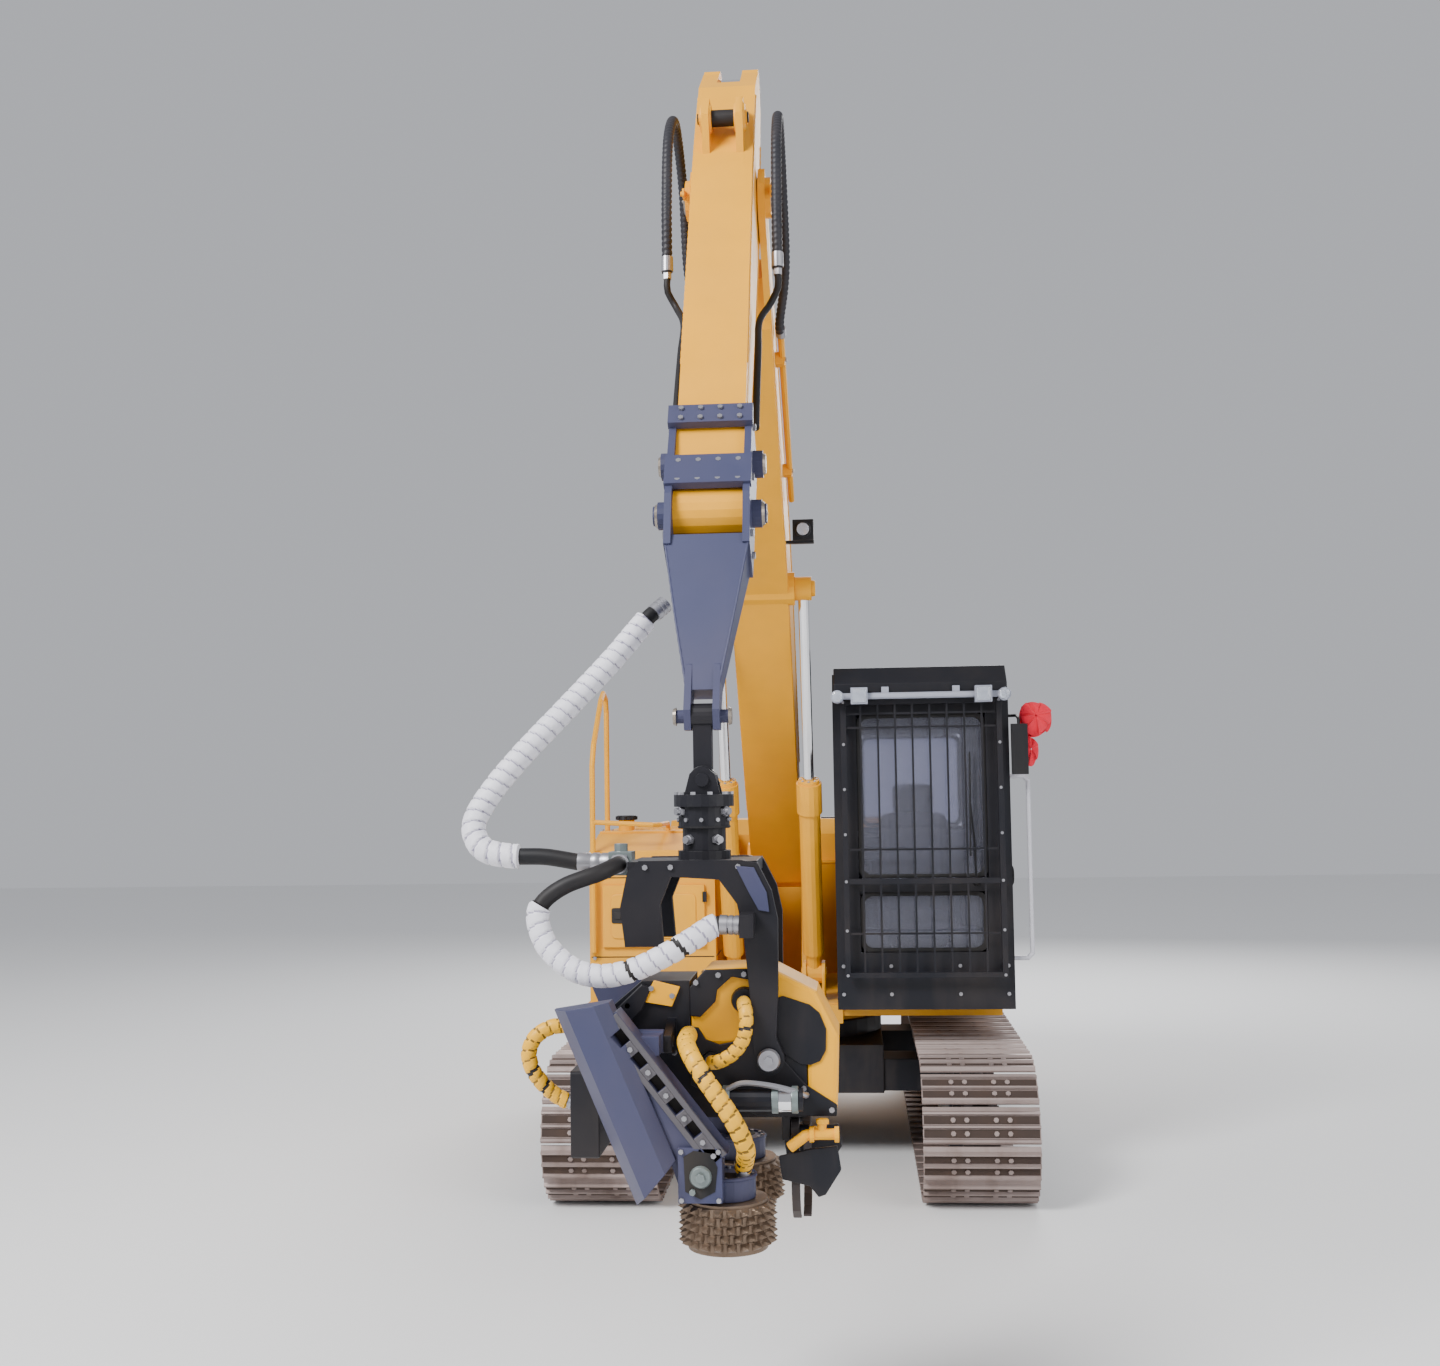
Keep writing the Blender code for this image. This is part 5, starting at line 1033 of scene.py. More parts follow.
REFLECTOR = finish("mirror_face", (0.70, 0.74, 0.84), 0.06, metallic=1.0, soil=0.05, grain=0.0)
face = Bundle()
face.prism(
    "Y", rounded(CAB_X1 + 0.013, CAB_X1 + 0.087, 2.285, 2.535, 0.012),
    CAB_FRONT - 0.0975 + 0.0405, CAB_FRONT + 0.05 - 0.1035
)
face.piece("mirror_glass", "upper_structure", "mirror_black", REFLECTOR)

# ------------------------------------------------------------ red bow on the mirror's arm
# A length of red cloth knotted round the mirror's arm. It is cut as one long strip and
# drawn together along its middle, so that it stands out in soft folds.

CLOTH = finish("red_cloth", (0.80, 0.006, 0.035), 0.72, soil=0.05, grain=1.2, bump=0.25)
CLOTH.node_tree.nodes["Principled BSDF"].inputs["Sheen Weight"].default_value = 0.35
KNOT = np.array([CAB_X1 + 0.1492, CAB_FRONT + 0.005, 2.575])


def ruffle(name, centre, sizes, folds, phase, depth, droop=0.0):
    """Cloth drawn to a knot: rings of a disc whose radius and height swing with the
    angle, more so away from the knot, and which hangs down by droop at its edge."""
    r = np.linspace(0.06, 1.0, 22)[:, None]
    t = (np.arange(150) * 2 * np.pi / 150)[None, :]
    wave = np.sin(folds * t + phase) + 0.45 * np.sin((folds * 2 - 1) * t + 2.1 * phase)
    swell = 1.0 + 0.10 * r * np.sin(3 * t + phase)
    x = sizes[0] * r * swell * np.cos(t + 0.16 * r * wave)
    z = sizes[2] * r * swell * np.sin(t + 0.16 * r * wave) - droop * r**2
    y = -sizes[1] * (np.sqrt(np.clip(1.15 - r**2, 0.0, None)) - 0.35) + depth * r * wave
    points = np.stack([centre[0] + x, centre[1] + y, centre[2] + z], axis=-1).reshape(-1, 3)
    bundle = Bundle()
    bundle.add(points, join_grid(22, 150))
    item = mesh_from(name, points + (SLEW_X, SLEW_Y, 0.0), bundle.faces, smooth=True)
    place_on(item, "upper_structure", CLOTH)
    return item


def surface_area(item):
    """Area of a mesh's faces, in square metres."""
    return sum(polygon.area for polygon in item.data.polygons)


for name, centre, sizes, folds, phase, depth, droop in (
    ("bow_front", KNOT + (0.0, -0.010, 0.02), (0.086, 0.040, 0.092), 7, 0.4, 0.011, 0.01),
    ("bow_back", KNOT + (-0.004, 0.028, 0.01), (0.090, 0.016, 0.098), 6, 1.7, 0.012, 0.015),
    ("bow_tail", KNOT + (-0.028, 0.002, -0.165), (0.040, 0.022, 0.082), 5, 0.9, 0.009, 0.01),
):
    item = ruffle(name, centre, sizes, folds, phase, depth, droop)
    area = surface_area(item)
    side = math.sqrt(area) * 1.02
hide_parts("mirror_rosette")

# ------------------------------------------------------------ operator's seat
# A suspension seat on a bellows, with sewn cloth cushions, and a lever console each side.
# The cushions are foam under cloth, crowned, with channels sewn across them.

SEAT_CLOTH = finish("seat_cloth", (0.060, 0.062, 0.075), 0.85, soil=0.12, grain=1.5, bump=0.5)
SEAT_X, SEAT_BACK, SEAT_FLOOR = CAB_X0 + 0.4905, 0.02, 1.0256


def power(value, exponent):
    """Power of a value's size that keeps its sign, for a superellipse."""
    return np.sign(value) * np.abs(value) ** exponent


def cushion(name, centre, half, tilt, channels):
    """Closed pad: a rounded box of superellipse section, its top crowned, with grooves
    sewn across at each channel (a place along the pad from -1 to 1)."""
    v = np.linspace(-np.pi / 2, np.pi / 2, 41)[:, None]
    u = (np.arange(72) * 2 * np.pi / 72)[None, :]
    x = power(np.cos(v), 0.35) * power(np.cos(u), 0.30)
    y = power(np.cos(v), 0.35) * power(np.sin(u), 0.30)
    z = power(np.sin(v), 0.55) * np.ones_like(u)
    crown = 1.0 - 0.16 * (x**2 + y**2)
    groove = sum(np.exp(-(((y - c) / 0.045) ** 2)) for c in channels)
    groove = groove + 0.6 * np.exp(-(((np.abs(x) - 0.72) / 0.04) ** 2))
    z = z * crown * (1.0 - 0.20 * groove * (z > 0))
    c, s = math.cos(tilt), math.sin(tilt)
    a, b = half[1] * y, half[2] * z
    points = np.stack(
        [centre[0] + half[0] * x, centre[1] + a * c - b * s, centre[2] + a * s + b * c], axis=-1
    ).reshape(-1, 3)
    pad = Bundle()
    n = len(points)
    pad.add(
        points,
        [*map(tuple, join_grid(41, 72)), tuple(range(71, -1, -1)), tuple(range(n - 72, n))]
    )
    item = pad.piece(name, "upper_structure", "seat_fabric", SEAT_CLOTH, smooth=True)
    return item


cushion(
    "seat_cushion", (SEAT_X, SEAT_BACK - 0.24, SEAT_FLOOR + 0.345), (0.235, 0.25, 0.062), 0.05,
    (-0.45, 0.0, 0.45)
)
lean = math.radians(79)
backrest = cushion(
    "seat_backrest", (SEAT_X, SEAT_BACK + 0.050, SEAT_FLOOR + 0.71), (0.225, 0.315, 0.055),
    lean, (-0.5, -0.1, 0.3, 0.65)
)
cushion(
    "seat_headrest", (SEAT_X, SEAT_BACK + 0.124, SEAT_FLOOR + 1.105), (0.130, 0.095, 0.045),
    lean, ()
)
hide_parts("operator_seat")
base = Bundle()
for i in range(7):
    z = SEAT_FLOOR + 0.03 + i * 0.03
    inset = 0.012 * (i % 2)
    base.prism(
        "Z",
        rounded(
            SEAT_X - 0.17 + inset, SEAT_X + 0.17 - inset, SEAT_BACK - 0.40 + inset,
            SEAT_BACK - 0.04 - inset, 0.05
        ),
        z, z + 0.031
    )
base.prism(
    "Z", rounded(SEAT_X - 0.21, SEAT_X + 0.21, SEAT_BACK - 0.46, SEAT_BACK + 0.0, 0.04),
    SEAT_FLOOR + 0.235, SEAT_FLOOR + 0.285
)
base.box(
    SEAT_X - 0.18, SEAT_X + 0.18, SEAT_BACK - 0.42, SEAT_BACK - 0.02, SEAT_FLOOR,
    SEAT_FLOOR + 0.03
)
for x in (-0.06, 0.06):
    base.tube(
        [
            (SEAT_X + x, SEAT_BACK + 0.106, SEAT_FLOOR + 0.98),
            (SEAT_X + x, SEAT_BACK + 0.118, SEAT_FLOOR + 1.06)
        ],
        0.008, 8
    )
base.piece("seat_bellows_and_frame", "upper_structure", "seat_fabric", PLASTIC, bevel=0.003)
console = Bundle()
for side in (-1, 1):
    low, high = sorted((SEAT_X + side * 0.245, SEAT_X + side * 0.355))
    console.prism(
        "X",
        [
            (SEAT_BACK - 0.47, SEAT_FLOOR + 0.34), (SEAT_BACK + 0.03, SEAT_FLOOR + 0.31),
            (SEAT_BACK + 0.03, SEAT_FLOOR + 0.50), (SEAT_BACK - 0.20, SEAT_FLOOR + 0.55),
            (SEAT_BACK - 0.44, SEAT_FLOOR + 0.53), (SEAT_BACK - 0.47, SEAT_FLOOR + 0.48)
        ],
        low, high
    )
    x, y = SEAT_X + side * 0.30, SEAT_BACK - 0.40
    for z0, z1, r0, r1 in (
        (0.53, 0.56, 0.034, 0.026), (0.56, 0.60, 0.020, 0.010), (0.60, 0.66, 0.010, 0.013),
        (0.66, 0.72, 0.018, 0.021), (0.72, 0.735, 0.021, 0.012)
    ):
        console.disc((x, y, SEAT_FLOOR + z0), (0, 0, 1), r0, z1 - z0, sides=14, top=r1)
console.piece("lever_consoles", "upper_structure", "seat_fabric", PLASTIC, bevel=0.006)

SCREEN = finish("display_glass", (0.02, 0.03, 0.05), 0.08, soil=0.02, grain=0.0, coat=0.8)
monitor = Bundle()
monitor.prism(
    "Y", rounded(CAB_X0 + 0.09, CAB_X0 + 0.27, 1.80, 1.93, 0.015), CAB_FRONT + 0.16,
    CAB_FRONT + 0.19
)
monitor.tube(
    [
        (CAB_X0 + 0.16, CAB_FRONT + 0.175, 1.81), (CAB_X0 + 0.12, CAB_FRONT + 0.15, 1.70),
        (CAB_X0 + 0.06, CAB_FRONT + 0.12, 1.62)
    ],
    0.012, 8
)
monitor.piece("cab_display", "upper_structure", "mirror_black", PLASTIC, bevel=0.004)
screen = Bundle()
screen.prism(
    "Y", rounded(CAB_X0 + 0.10, CAB_X0 + 0.26, 1.81, 1.92, 0.010), CAB_FRONT + 0.189,
    CAB_FRONT + 0.1925
)
screen.piece("cab_display_screen", "upper_structure", "mirror_black", SCREEN)
TRIM = finish("cab_trim_moulding", (0.11, 0.11, 0.13), 0.75, soil=0.1, grain=1.0)
trim = Bundle()
trim.prism(
    "X",
    [
        (CAB_FRONT + 0.07, 1.0255), (CAB_FRONT + 0.30, 1.0255), (CAB_FRONT + 0.26, 1.10),
        (CAB_FRONT + 0.10, 1.22), (CAB_FRONT + 0.07, 1.24)
    ],
    CAB_X0 + 0.06, CAB_X0 + 0.92
)
trim.box(CAB_X0 + 0.10, CAB_X1 - 0.10, CAB_REAR - 0.20, CAB_REAR - 0.06, 1.03, 1.92)
trim.piece("cab_inner_trim", "upper_structure", "mirror_black", TRIM, bevel=0.015)
pedals = Bundle()
for x in (0.56, 0.70, 0.80, 0.94):
    pedals.prism(
        "X",
        [
            (CAB_FRONT + 0.33, 1.05), (CAB_FRONT + 0.52, 1.08), (CAB_FRONT + 0.52, 1.10),
            (CAB_FRONT + 0.33, 1.07)
        ],
        x - 0.035, x + 0.035
    )
    pedals.tube([(x, CAB_FRONT + 0.42, 1.07), (x, CAB_FRONT + 0.30, 1.10)], 0.008, 6)
pedals.piece("pedals", "upper_structure", "mirror_black", PLASTIC, bevel=0.003)

# ------------------------------------------------------------ boom and its cylinders
# Box sections of plate, welded along their edges. Hardened pins are held by bolted
# keeper plates, greased at their ends, and the rods are hard chrome.

dress(YELLOW, 0.005, "boom")
dress(YELLOW, 0.010, "stick")
dress(YELLOW, 0.0, "boom_pipe_left", "boom_pipe_right")
dress(
    YELLOW, 0.004, "boom_cylinder_left_barrel", "boom_cylinder_right_barrel",
    "stick_cylinder_barrel"
)
dress(CHROME, 0.0, "boom_cylinder_left_rod", "boom_cylinder_right_rod", "stick_cylinder_rod")
BOOM_X, BOOM_FOOT, BOOM_ANGLE, BOOM_LENGTH = -0.11, (-0.11, 1.74), 40.85, 4.587
STICK_ANGLE, STICK_LENGTH = -53.22, 1.954


def side_frame(origin, angle):
    """Function from (along, above) in an arm's own side frame to (y, z)."""
    turn = math.radians(angle)
    along, above = (-math.cos(turn), math.sin(turn)), (math.sin(turn), math.cos(turn))
    return lambda a, b=0.0: (
        origin[0] + a * along[0] + b * above[0], origin[1] + a * along[1] + b * above[1]
    )


on_boom = side_frame(BOOM_FOOT, BOOM_ANGLE)
STICK_PIVOT = on_boom(BOOM_LENGTH)
STICK_TURN = math.radians(STICK_ANGLE + 90.0)
stick_line = side_frame(STICK_PIVOT, STICK_ANGLE)


def on_stick(s, n=0.0):
    """(y, z) of a point s down the stick from its pivot and n in front of its pin line."""
    y, z = stick_line(s)
    return (y - n * math.cos(STICK_TURN), z + n * math.sin(STICK_TURN))


def weld_line(bundle, path, radius):
    """Weld bead along a path: a tube whose radius ripples as the runs overlap."""
    line = smooth_path(path, 0.012)
    points, faces = tube_surface(line, radius, 7, lambda i, turn: 1.0 + 0.16 * np.sin(i * 1.9))
    n = len(points)
    bundle.add(points, [*map(tuple, faces), tuple(range(6, -1, -1)), tuple(range(n - 7, n))])


LOWER_EDGE = [(0.60, -0.084), (1.70, 0.03), (2.20, 0.08), (3.40, -0.02), (3.95, -0.081)]
UPPER_EDGE = [
    (0.60, 0.338), (1.45, 0.60), (1.95, 0.67), (2.45, 0.62), (3.20, 0.42),
    (BOOM_LENGTH - 0.45, 0.205)
]
beads = Bundle()
for side in (-1, 1):
    for edge, inset in ((LOWER_EDGE, 0.020), (UPPER_EDGE, -0.020)):
        weld_line(
            beads, [(BOOM_X + side * 0.154, *on_boom(a, n + inset)) for a, n in edge], 0.0055
        )
beads.piece("boom_welds", "boom", "machine_yellow", YELLOW, smooth=True)
beads = Bundle()
for side in (-1, 1):
    weld_line(
        beads,
        [
            (BOOM_X + side * 0.1225, *on_stick(s, n)) for s,
            n in ((-0.35, 0.28), (0.10, 0.27), (0.45, 0.24), (1.30, 0.150))
        ],
        0.005
    )
    weld_line(
        beads,
        [
            (BOOM_X + side * 0.1225, *on_stick(s, n)) for s,
            n in ((-0.45, -0.03), (-0.12, -0.12), (0.12, -0.15), (0.75, -0.14), (1.30, -0.112))
        ],
        0.005
    )
beads.piece("stick_welds", "stick", "machine_yellow", YELLOW, smooth=True)

GREASED = finish(
    "greased_pin_end", (0.30, 0.26, 0.22), 0.35, metallic=0.8, soil=0.5,
    soil_colour=(0.06, 0.045, 0.035)
)


def pin_end(bundle, keepers, x, yz, side, radius):
    """Pin's chamfered end with its grease nipple, and the keeper plate and bolt by it."""
    bundle.disc((x, *yz), (side, 0, 0), radius, 0.010, sides=24, top=radius - 0.006)
    bundle.disc((x + side * 0.010, *yz), (side, 0, 0), 0.008, 0.010, sides=8, top=0.005)
    low, high = sorted((x - side * 0.002, x + side * 0.008))
    keepers.prism(
        "X",
        rounded(
            yz[0] - radius - 0.055, yz[0] - radius + 0.012, yz[1] - 0.018, yz[1] + 0.018, 0.008
        ),
        low, high
    )
    keepers.disc((x + side * 0.008, yz[0] - radius - 0.032, yz[1]), (side, 0, 0), 0.011, 0.009)


pins, keepers = Bundle(), Bundle()
for side in (-1, 1):
    pin_end(pins, keepers, BOOM_X + side * 0.182, STICK_PIVOT, side, 0.060)
    pin_end(pins, keepers, BOOM_X + side * 0.120, on_boom(2.25, 0.80), side, 0.038)
pins.piece("boom_pin_ends", "boom", "worn_steel", GREASED)
ear_pin = Bundle()
ear_pin.disc((BOOM_X - 0.054, *on_stick(-0.04, 0.36)), (1, 0, 0), 0.034, 0.108, sides=24)
for side in (-1, 1):
    ear_pin.disc(
        (BOOM_X + side * 0.1005, *on_stick(-0.04, 0.36)), (side, 0, 0), 0.022, 0.006, sides=20
    )
ear_pin.piece("stick_ear_pin", "stick", "worn_steel", RUBBER)
bosses = Bundle()
for side in (-1, 1):
    for ear in (0.055, 0.085):
        bosses.disc(
            (BOOM_X + side * ear, *on_stick(-0.04, 0.36)),
            (side if ear > 0.06 else -side, 0, 0), 0.058, 0.008, sides=28, top=0.054
        )
bosses.piece("stick_ear_bosses", "stick", "machine_yellow", YELLOW)
keepers.piece("boom_pin_keepers", "boom", "machine_yellow", YELLOW, bevel=0.002)
clamps = Bundle()
for side in (-1, 1):
    for a, n in ((2.85, 0.34), (3.65, 0.17)):
        y, z = on_boom(a, n)
        clamps.disc((BOOM_X + side * 0.199, y, z), (side, 0, 0), 0.011, 0.009)
clamps.piece("pipe_clamp_bolts", "boom", "bright_steel", ZINC)

CYLINDER_BASE, CYLINDER_HEAD = (-0.78, 1.13), on_boom(2.186, 0.159)


def cylinder_fittings(name, body, x, base, head, barrel):
    """Bolts of the gland and the steel feed line along the barrel."""
    run = np.subtract(head, base)
    run = run / np.linalg.norm(run)
    up = np.array((-run[1], run[0]))
    if up[1] < 0:
        up = -up
    spot = lambda s, r, lift=0.0: (x + r, *(np.asarray(base) + run * s + up * lift))
    fit = Bundle()
    for a in np.arange(8) * math.pi / 4:
        offset = (0.046 * math.cos(a), 0.046 * math.sin(a))
        fit.disc(
            (x + offset[0], *(np.asarray(base) + run * (barrel - 0.004) + up * offset[1])),
            (0, *run), 0.008, 0.008
        )
    fit.piece(name + "_gland_bolts", body, "bright_steel", ZINC)
    line = Bundle()
    line.tube(
        smooth_path(
            [
                spot(0.20, 0.0, 0.060), spot(0.24, 0.0, 0.082), spot(0.30, 0.0, 0.086),
                spot(barrel - 0.30, 0.0, 0.086), spot(barrel - 0.14, 0.0, 0.088),
                spot(barrel - 0.10, 0.0, 0.070)
            ],
            0.03
        ),
        0.011, 8
    )
    for s in (0.45, barrel - 0.40):
        line.disc(spot(s, 0.0, 0.055), (0, *up), 0.020, 0.042, sides=12)
    line.piece(name + "_feed_line", body, "machine_yellow", YELLOW, smooth=True)


eyes = Bundle()
for side in (-1, 1):
    eye_x = BOOM_X + side * 0.235
    eyes.disc((eye_x - 0.0452, *CYLINDER_HEAD), (1, 0, 0), 0.0645, 0.0904, sides=32)
    eyes.disc(
        (BOOM_X + side * 0.2804, *CYLINDER_HEAD), (side, 0, 0), 0.046, 0.020, sides=24,
        top=0.042
    )
eyes.piece("boom_rod_eye_covers", "boom_cylinder_rods", "machine_yellow", YELLOW, bevel=0.003)
for name, side in (("boom_cylinder_left", 1), ("boom_cylinder_right", -1)):
    cylinder_fittings(
        name, "boom_cylinder_barrels", BOOM_X + side * 0.235, CYLINDER_BASE, CYLINDER_HEAD, 1.22
    )
cylinder_fittings(
    "stick_cylinder", "stick_cylinder_barrel", BOOM_X, on_boom(2.25, 0.80),
    on_stick(-0.69, 0.10), 1.30
)

# ------------------------------------------------------------ boom hoses
# Two rubber hoses from the boom's steel lines to the stick, each in a ribbed wear
# sleeve, with a crimped fitting where it leaves its line.

SLEEVE = finish("ribbed_sleeve", (0.020, 0.020, 0.026), 0.48, soil=0.15, grain=0.4)


def ribbed(pitch, depth, step, starts=1):
    """Radius scale of a sleeve whose rib winds round once per pitch along the path."""
    return lambda i, turn: 1.0 - depth * (
        0.5 + 0.5 * np.cos(2 * np.pi * i * step / pitch - starts * turn)
    ) ** 2


def path_length(path):
    return float(np.linalg.norm(np.diff(path, axis=0), axis=1).sum())


def sleeved_hose(name, node, route, radius, body, slot, material, pitch, depth, step, sides=20):
    """Hose with its wound sleeve, standing for the plain hose of the frame."""
    path = smooth_path(route, step)
    points, faces = tube_surface(path, radius, sides, ribbed(pitch, depth, step))
    n = len(points)
    wall = Bundle()
    wall.add(
        points,
        [*map(tuple, faces), tuple(range(sides - 1, -1, -1)), tuple(range(n - sides, n))]
    )
    item = wall.piece(name, body, slot, material, smooth=True)
    world = path + (SLEW_X, SLEW_Y, 0.0)
    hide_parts(node)
    return item, world, path


def squared(route, radius):
    """Route with a point one radius in from each end, along its first and last legs, so
    that its ends stand square to what they meet."""
    route = np.asarray(route, dtype=float)
    first = route[1] - route[0]
    last = route[-2] - route[-1]
    return np.vstack(
        [
            route[0], route[0] + first / np.linalg.norm(first) * radius, route[1:-1],
            route[-1] + last / np.linalg.norm(last) * radius, route[-1]
        ]
    )


fittings = {"boom": Bundle(), "stick": Bundle()}
for name, side in (("left", 1), ("right", -1)):
    near, far = BOOM_X + side * 0.187, BOOM_X + side * 0.222
    route = [(near, *on_boom(3.8003, 0.14)), (near, *on_boom(3.90, 0.12))]
    route += [
        (far, *on_boom(a, n)) for a,
        n in (
            (4.15, 0.16), (4.50, 0.28), (4.84, 0.20), (4.93, -0.10), (4.80, -0.40),
            (4.62, -0.62)
        )
    ]
    route = squared(route, 0.022)
    bend = ("boom", "stick", at(near, *on_boom(3.90, 0.12)), at(far, *on_boom(4.62, -0.62)))
    item, world, path = sleeved_hose(
        "boom_hose_sleeve_" + name, "boom_hose_" + name, route, 0.022, bend, "black_rubber",
        SLEEVE, 0.024, 0.16, 0.006, 16
    )
    way = (path[3] - path[0]) / np.linalg.norm(path[3] - path[0])
    fittings["boom"].disc(path[0] + way * 0.004, way, 0.024, 0.05, sides=18, top=0.0235)
    way = (path[-4] - path[-1]) / np.linalg.norm(path[-4] - path[-1])
    fittings["stick"].disc(path[-1] + way * 0.002, way, 0.0245, 0.06, sides=18, top=0.0235)
    fittings["stick"].disc(path[-1] - way * 0.030, way, 0.018, 0.034, sides=6)
    line = [
        path[-1] - way * 0.025, path[-1] - way * 0.08,
        (BOOM_X + side * 0.190, *on_stick(0.72, -0.02))
    ]
    line += [
        (BOOM_X + side * 0.150, *on_stick(s, n)) for s,
        n in ((0.86, 0.0), (1.05, 0.01), (1.30, 0.01), (1.50, 0.0))
    ]
    lines = Bundle()
    lines.tube(smooth_path(line, 0.03), 0.014, 10)
    lines.piece("stick_hose_" + name, "stick", "black_rubber", RUBBER, smooth=True)
for body in ("boom", "stick"):
    fittings[body].piece(body + "_hose_fittings", body, "bright_steel", ZINC)


# ------------------------------------------------------------ adapter, link and rotator
# A slate-blue slip-on mount is clamped round the stick's end by straps and bolts. Under
# it hang a forged link and the rotator, a black casting with a ring of bolts and ports.

dress(SLATE, 0.007, "adapter")
dress(BLACK, 0.005, "swing_link", "rotator")
HEAD_Y = -5.15
STICK_TIP = on_stick(STICK_LENGTH)
mount = Bundle()
for s, n in ((1.590, 0.1785), (1.636, 0.1740), (1.835, 0.1473), (1.922, 0.1414)):
    y, z = on_stick(s, n)
    front = np.subtract(on_stick(s, n + 1.0), (y, z))
    for x in (-0.105, -0.035, 0.035, 0.105):
        mount.disc((BOOM_X + x, y, z), (0, *front), 0.010, 0.008)
for side in (-1, 1):
    face_x = BOOM_X + side * 0.148
    for s, n in (
        (1.60, 0.09), (1.60, -0.09), (1.84, 0.07), (1.84, -0.09), (2.08, 0.03), (2.08, -0.08)
    ):
        mount.disc((face_x, *on_stick(s, n)), (side, 0, 0), 0.013, 0.010)
mount.piece("adapter_bolts", "stick", "bright_steel", ZINC)
beads = Bundle()
for side in (-1, 1):
    weld_line(
        beads,
        [
            (BOOM_X + side * 0.144, *on_stick(2.135, 0.064)),
            (BOOM_X + side * 0.100, *on_stick(2.42, 0.004)),
            (BOOM_X + side * 0.054, *on_stick(2.69, -0.052))
        ],
        0.0045
    )
beads.piece("adapter_welds", "stick", "slate_paint", SLATE, smooth=True)
caps, cap_keepers = Bundle(), Bundle()
for side in (-1, 1):
    pin_end(caps, cap_keepers, BOOM_X + side * 0.183, STICK_TIP, side, 0.045)
    caps.disc(
        (BOOM_X + side * 0.183, *on_stick(1.72, 0.02)), (side, 0, 0), 0.040, 0.010, sides=20,
        top=0.034
    )
caps.piece("adapter_pin_ends", "stick", "worn_steel", GREASED)

ring_bolts = Bundle()
for a in np.arange(10) * math.pi / 5:
    ring_bolts.disc(
        (BOOM_X + 0.088 * math.cos(a), HEAD_Y + 0.088 * math.sin(a), 2.198), (0, 0, 1), 0.009,
        0.009
    )
for a in np.arange(10) * math.pi / 5 + 0.3:
    ring_bolts.disc(
        (BOOM_X + 0.083 * math.cos(a), HEAD_Y + 0.083 * math.sin(a), 2.118),
        (math.cos(a), math.sin(a), 0), 0.007, 0.006
    )
for a, z in ((-2.5, 2.145), (-0.6, 2.145), (-2.2, 2.055), (-0.9, 2.055)):
    way = np.array((math.cos(a), math.sin(a), 0.0))
    radius = 0.083 if z > 2.1 else 0.070
    foot = np.array((BOOM_X, HEAD_Y, z)) + way * (radius - 0.003)
    ring_bolts.disc(foot, way, 0.017, 0.014, sides=6)
    ring_bolts.disc(foot + way * 0.014, way, 0.012, 0.012, sides=14)
ring_bolts.piece("rotator_bolts_and_ports", "rotator", "bright_steel", ZINC)
bands = Bundle()
turn_ring = np.arange(40) * 2 * math.pi / 40
for z, radius in ((2.092, 0.0855), (2.163, 0.0855)):
    bands.prism(
        "Z",
        [(BOOM_X + radius * math.cos(a), HEAD_Y + radius * math.sin(a)) for a in turn_ring], z,
        z + 0.006
    )
bands.piece("rotator_seams", "rotator", "black_paint", RUBBER)
link_pins = Bundle()
for side in (-1, 1):
    link_pins.disc(
        (BOOM_X + side * 0.085, HEAD_Y, 2.45), (side, 0, 0), 0.030, 0.010, sides=20, top=0.026
    )
link_pins.piece("link_pin_heads", "stick", "worn_steel", GREASED)

# ------------------------------------------------------------ hanger and hose block
# Two black legs of thick plate carry the head on its tilt pins. The block on the side of
# their top plate shares the oil out to the head's hoses.

dress(BLACK, 0.008, "tilt_frame")
MANIFOLD = finish("manifold_steel", (0.20, 0.24, 0.24), 0.42, metallic=0.6, soil=0.35, grain=0.6)
dress(MANIFOLD, 0.004, "hose_block")
ears = Bundle()
for side in (-1, 1):
    ears.disc(
        (0.096, HEAD_Y + side * 0.197, 1.385), (0, side, 0), 0.036, 0.012, sides=24, top=0.031
    )
    ears.disc((0.096, HEAD_Y + side * 0.209, 1.385), (0, side, 0), 0.014, 0.008)
    for x, z in ((-0.28, 1.975), (-0.20, 1.975), (0.01, 1.975)):
        ears.disc((x, HEAD_Y + side * 0.185, z), (0, side, 0), 0.009, 0.007)
for x, z in ((-0.393, 1.965), (-0.355, 1.965), (-0.393, 2.005), (-0.355, 2.005)):
    ears.disc((x, -5.2255, z), (0, -1, 0), 0.006, 0.006)
ears.piece("hanger_bolts", "hanger", "bright_steel", ZINC)
gusset = Bundle()
for side in (-1, 1):
    level = sorted((HEAD_Y + side * 0.1853, HEAD_Y + side * 0.193))
    gusset.prism(
        "Y",
        [
            (0.002, 1.978), (0.060, 1.972), (0.098, 1.895), (0.105, 1.835), (0.072, 1.84),
            (0.040, 1.90)
        ],
        *level
    )
gusset.piece("hanger_leg_plates", "hanger", "slate_paint", SLATE, bevel=0.002)

# ------------------------------------------------------------ white hoses
# Pressure hoses to the head. White plastic strip is wound over the black rubber, turn
# beside turn, and stops short of the crimped steel fittings at each end. The gaps between
# its turns are painted shade.

WHITE_WRAP = finish(
    "white_spiral_wrap", (0.78, 0.77, 0.83), 0.46, soil=0.22, grain=0.5, bump=0.2,
    soil_colour=(0.42, 0.38, 0.42)
)
# Lilac-grey painted shade for the gaps between the white strip's turns.
WRAP_GAP_SHADE = finish("wrap_gap_shadow", (0.34, 0.32, 0.42), 0.6, soil=0.1, grain=0.4)
YELLOW_WRAP = finish(
    "yellow_spiral_wrap", (0.90, 0.46, 0.01), 0.42, soil=0.22, grain=0.5, bump=0.2
)
# Dark yellow-brown painted shade for the gaps between the yellow strip's turns.
YELLOW_GAP_SHADE = finish("yellow_wrap_gap", (0.20, 0.11, 0.01), 0.6, soil=0.2, grain=0.4)


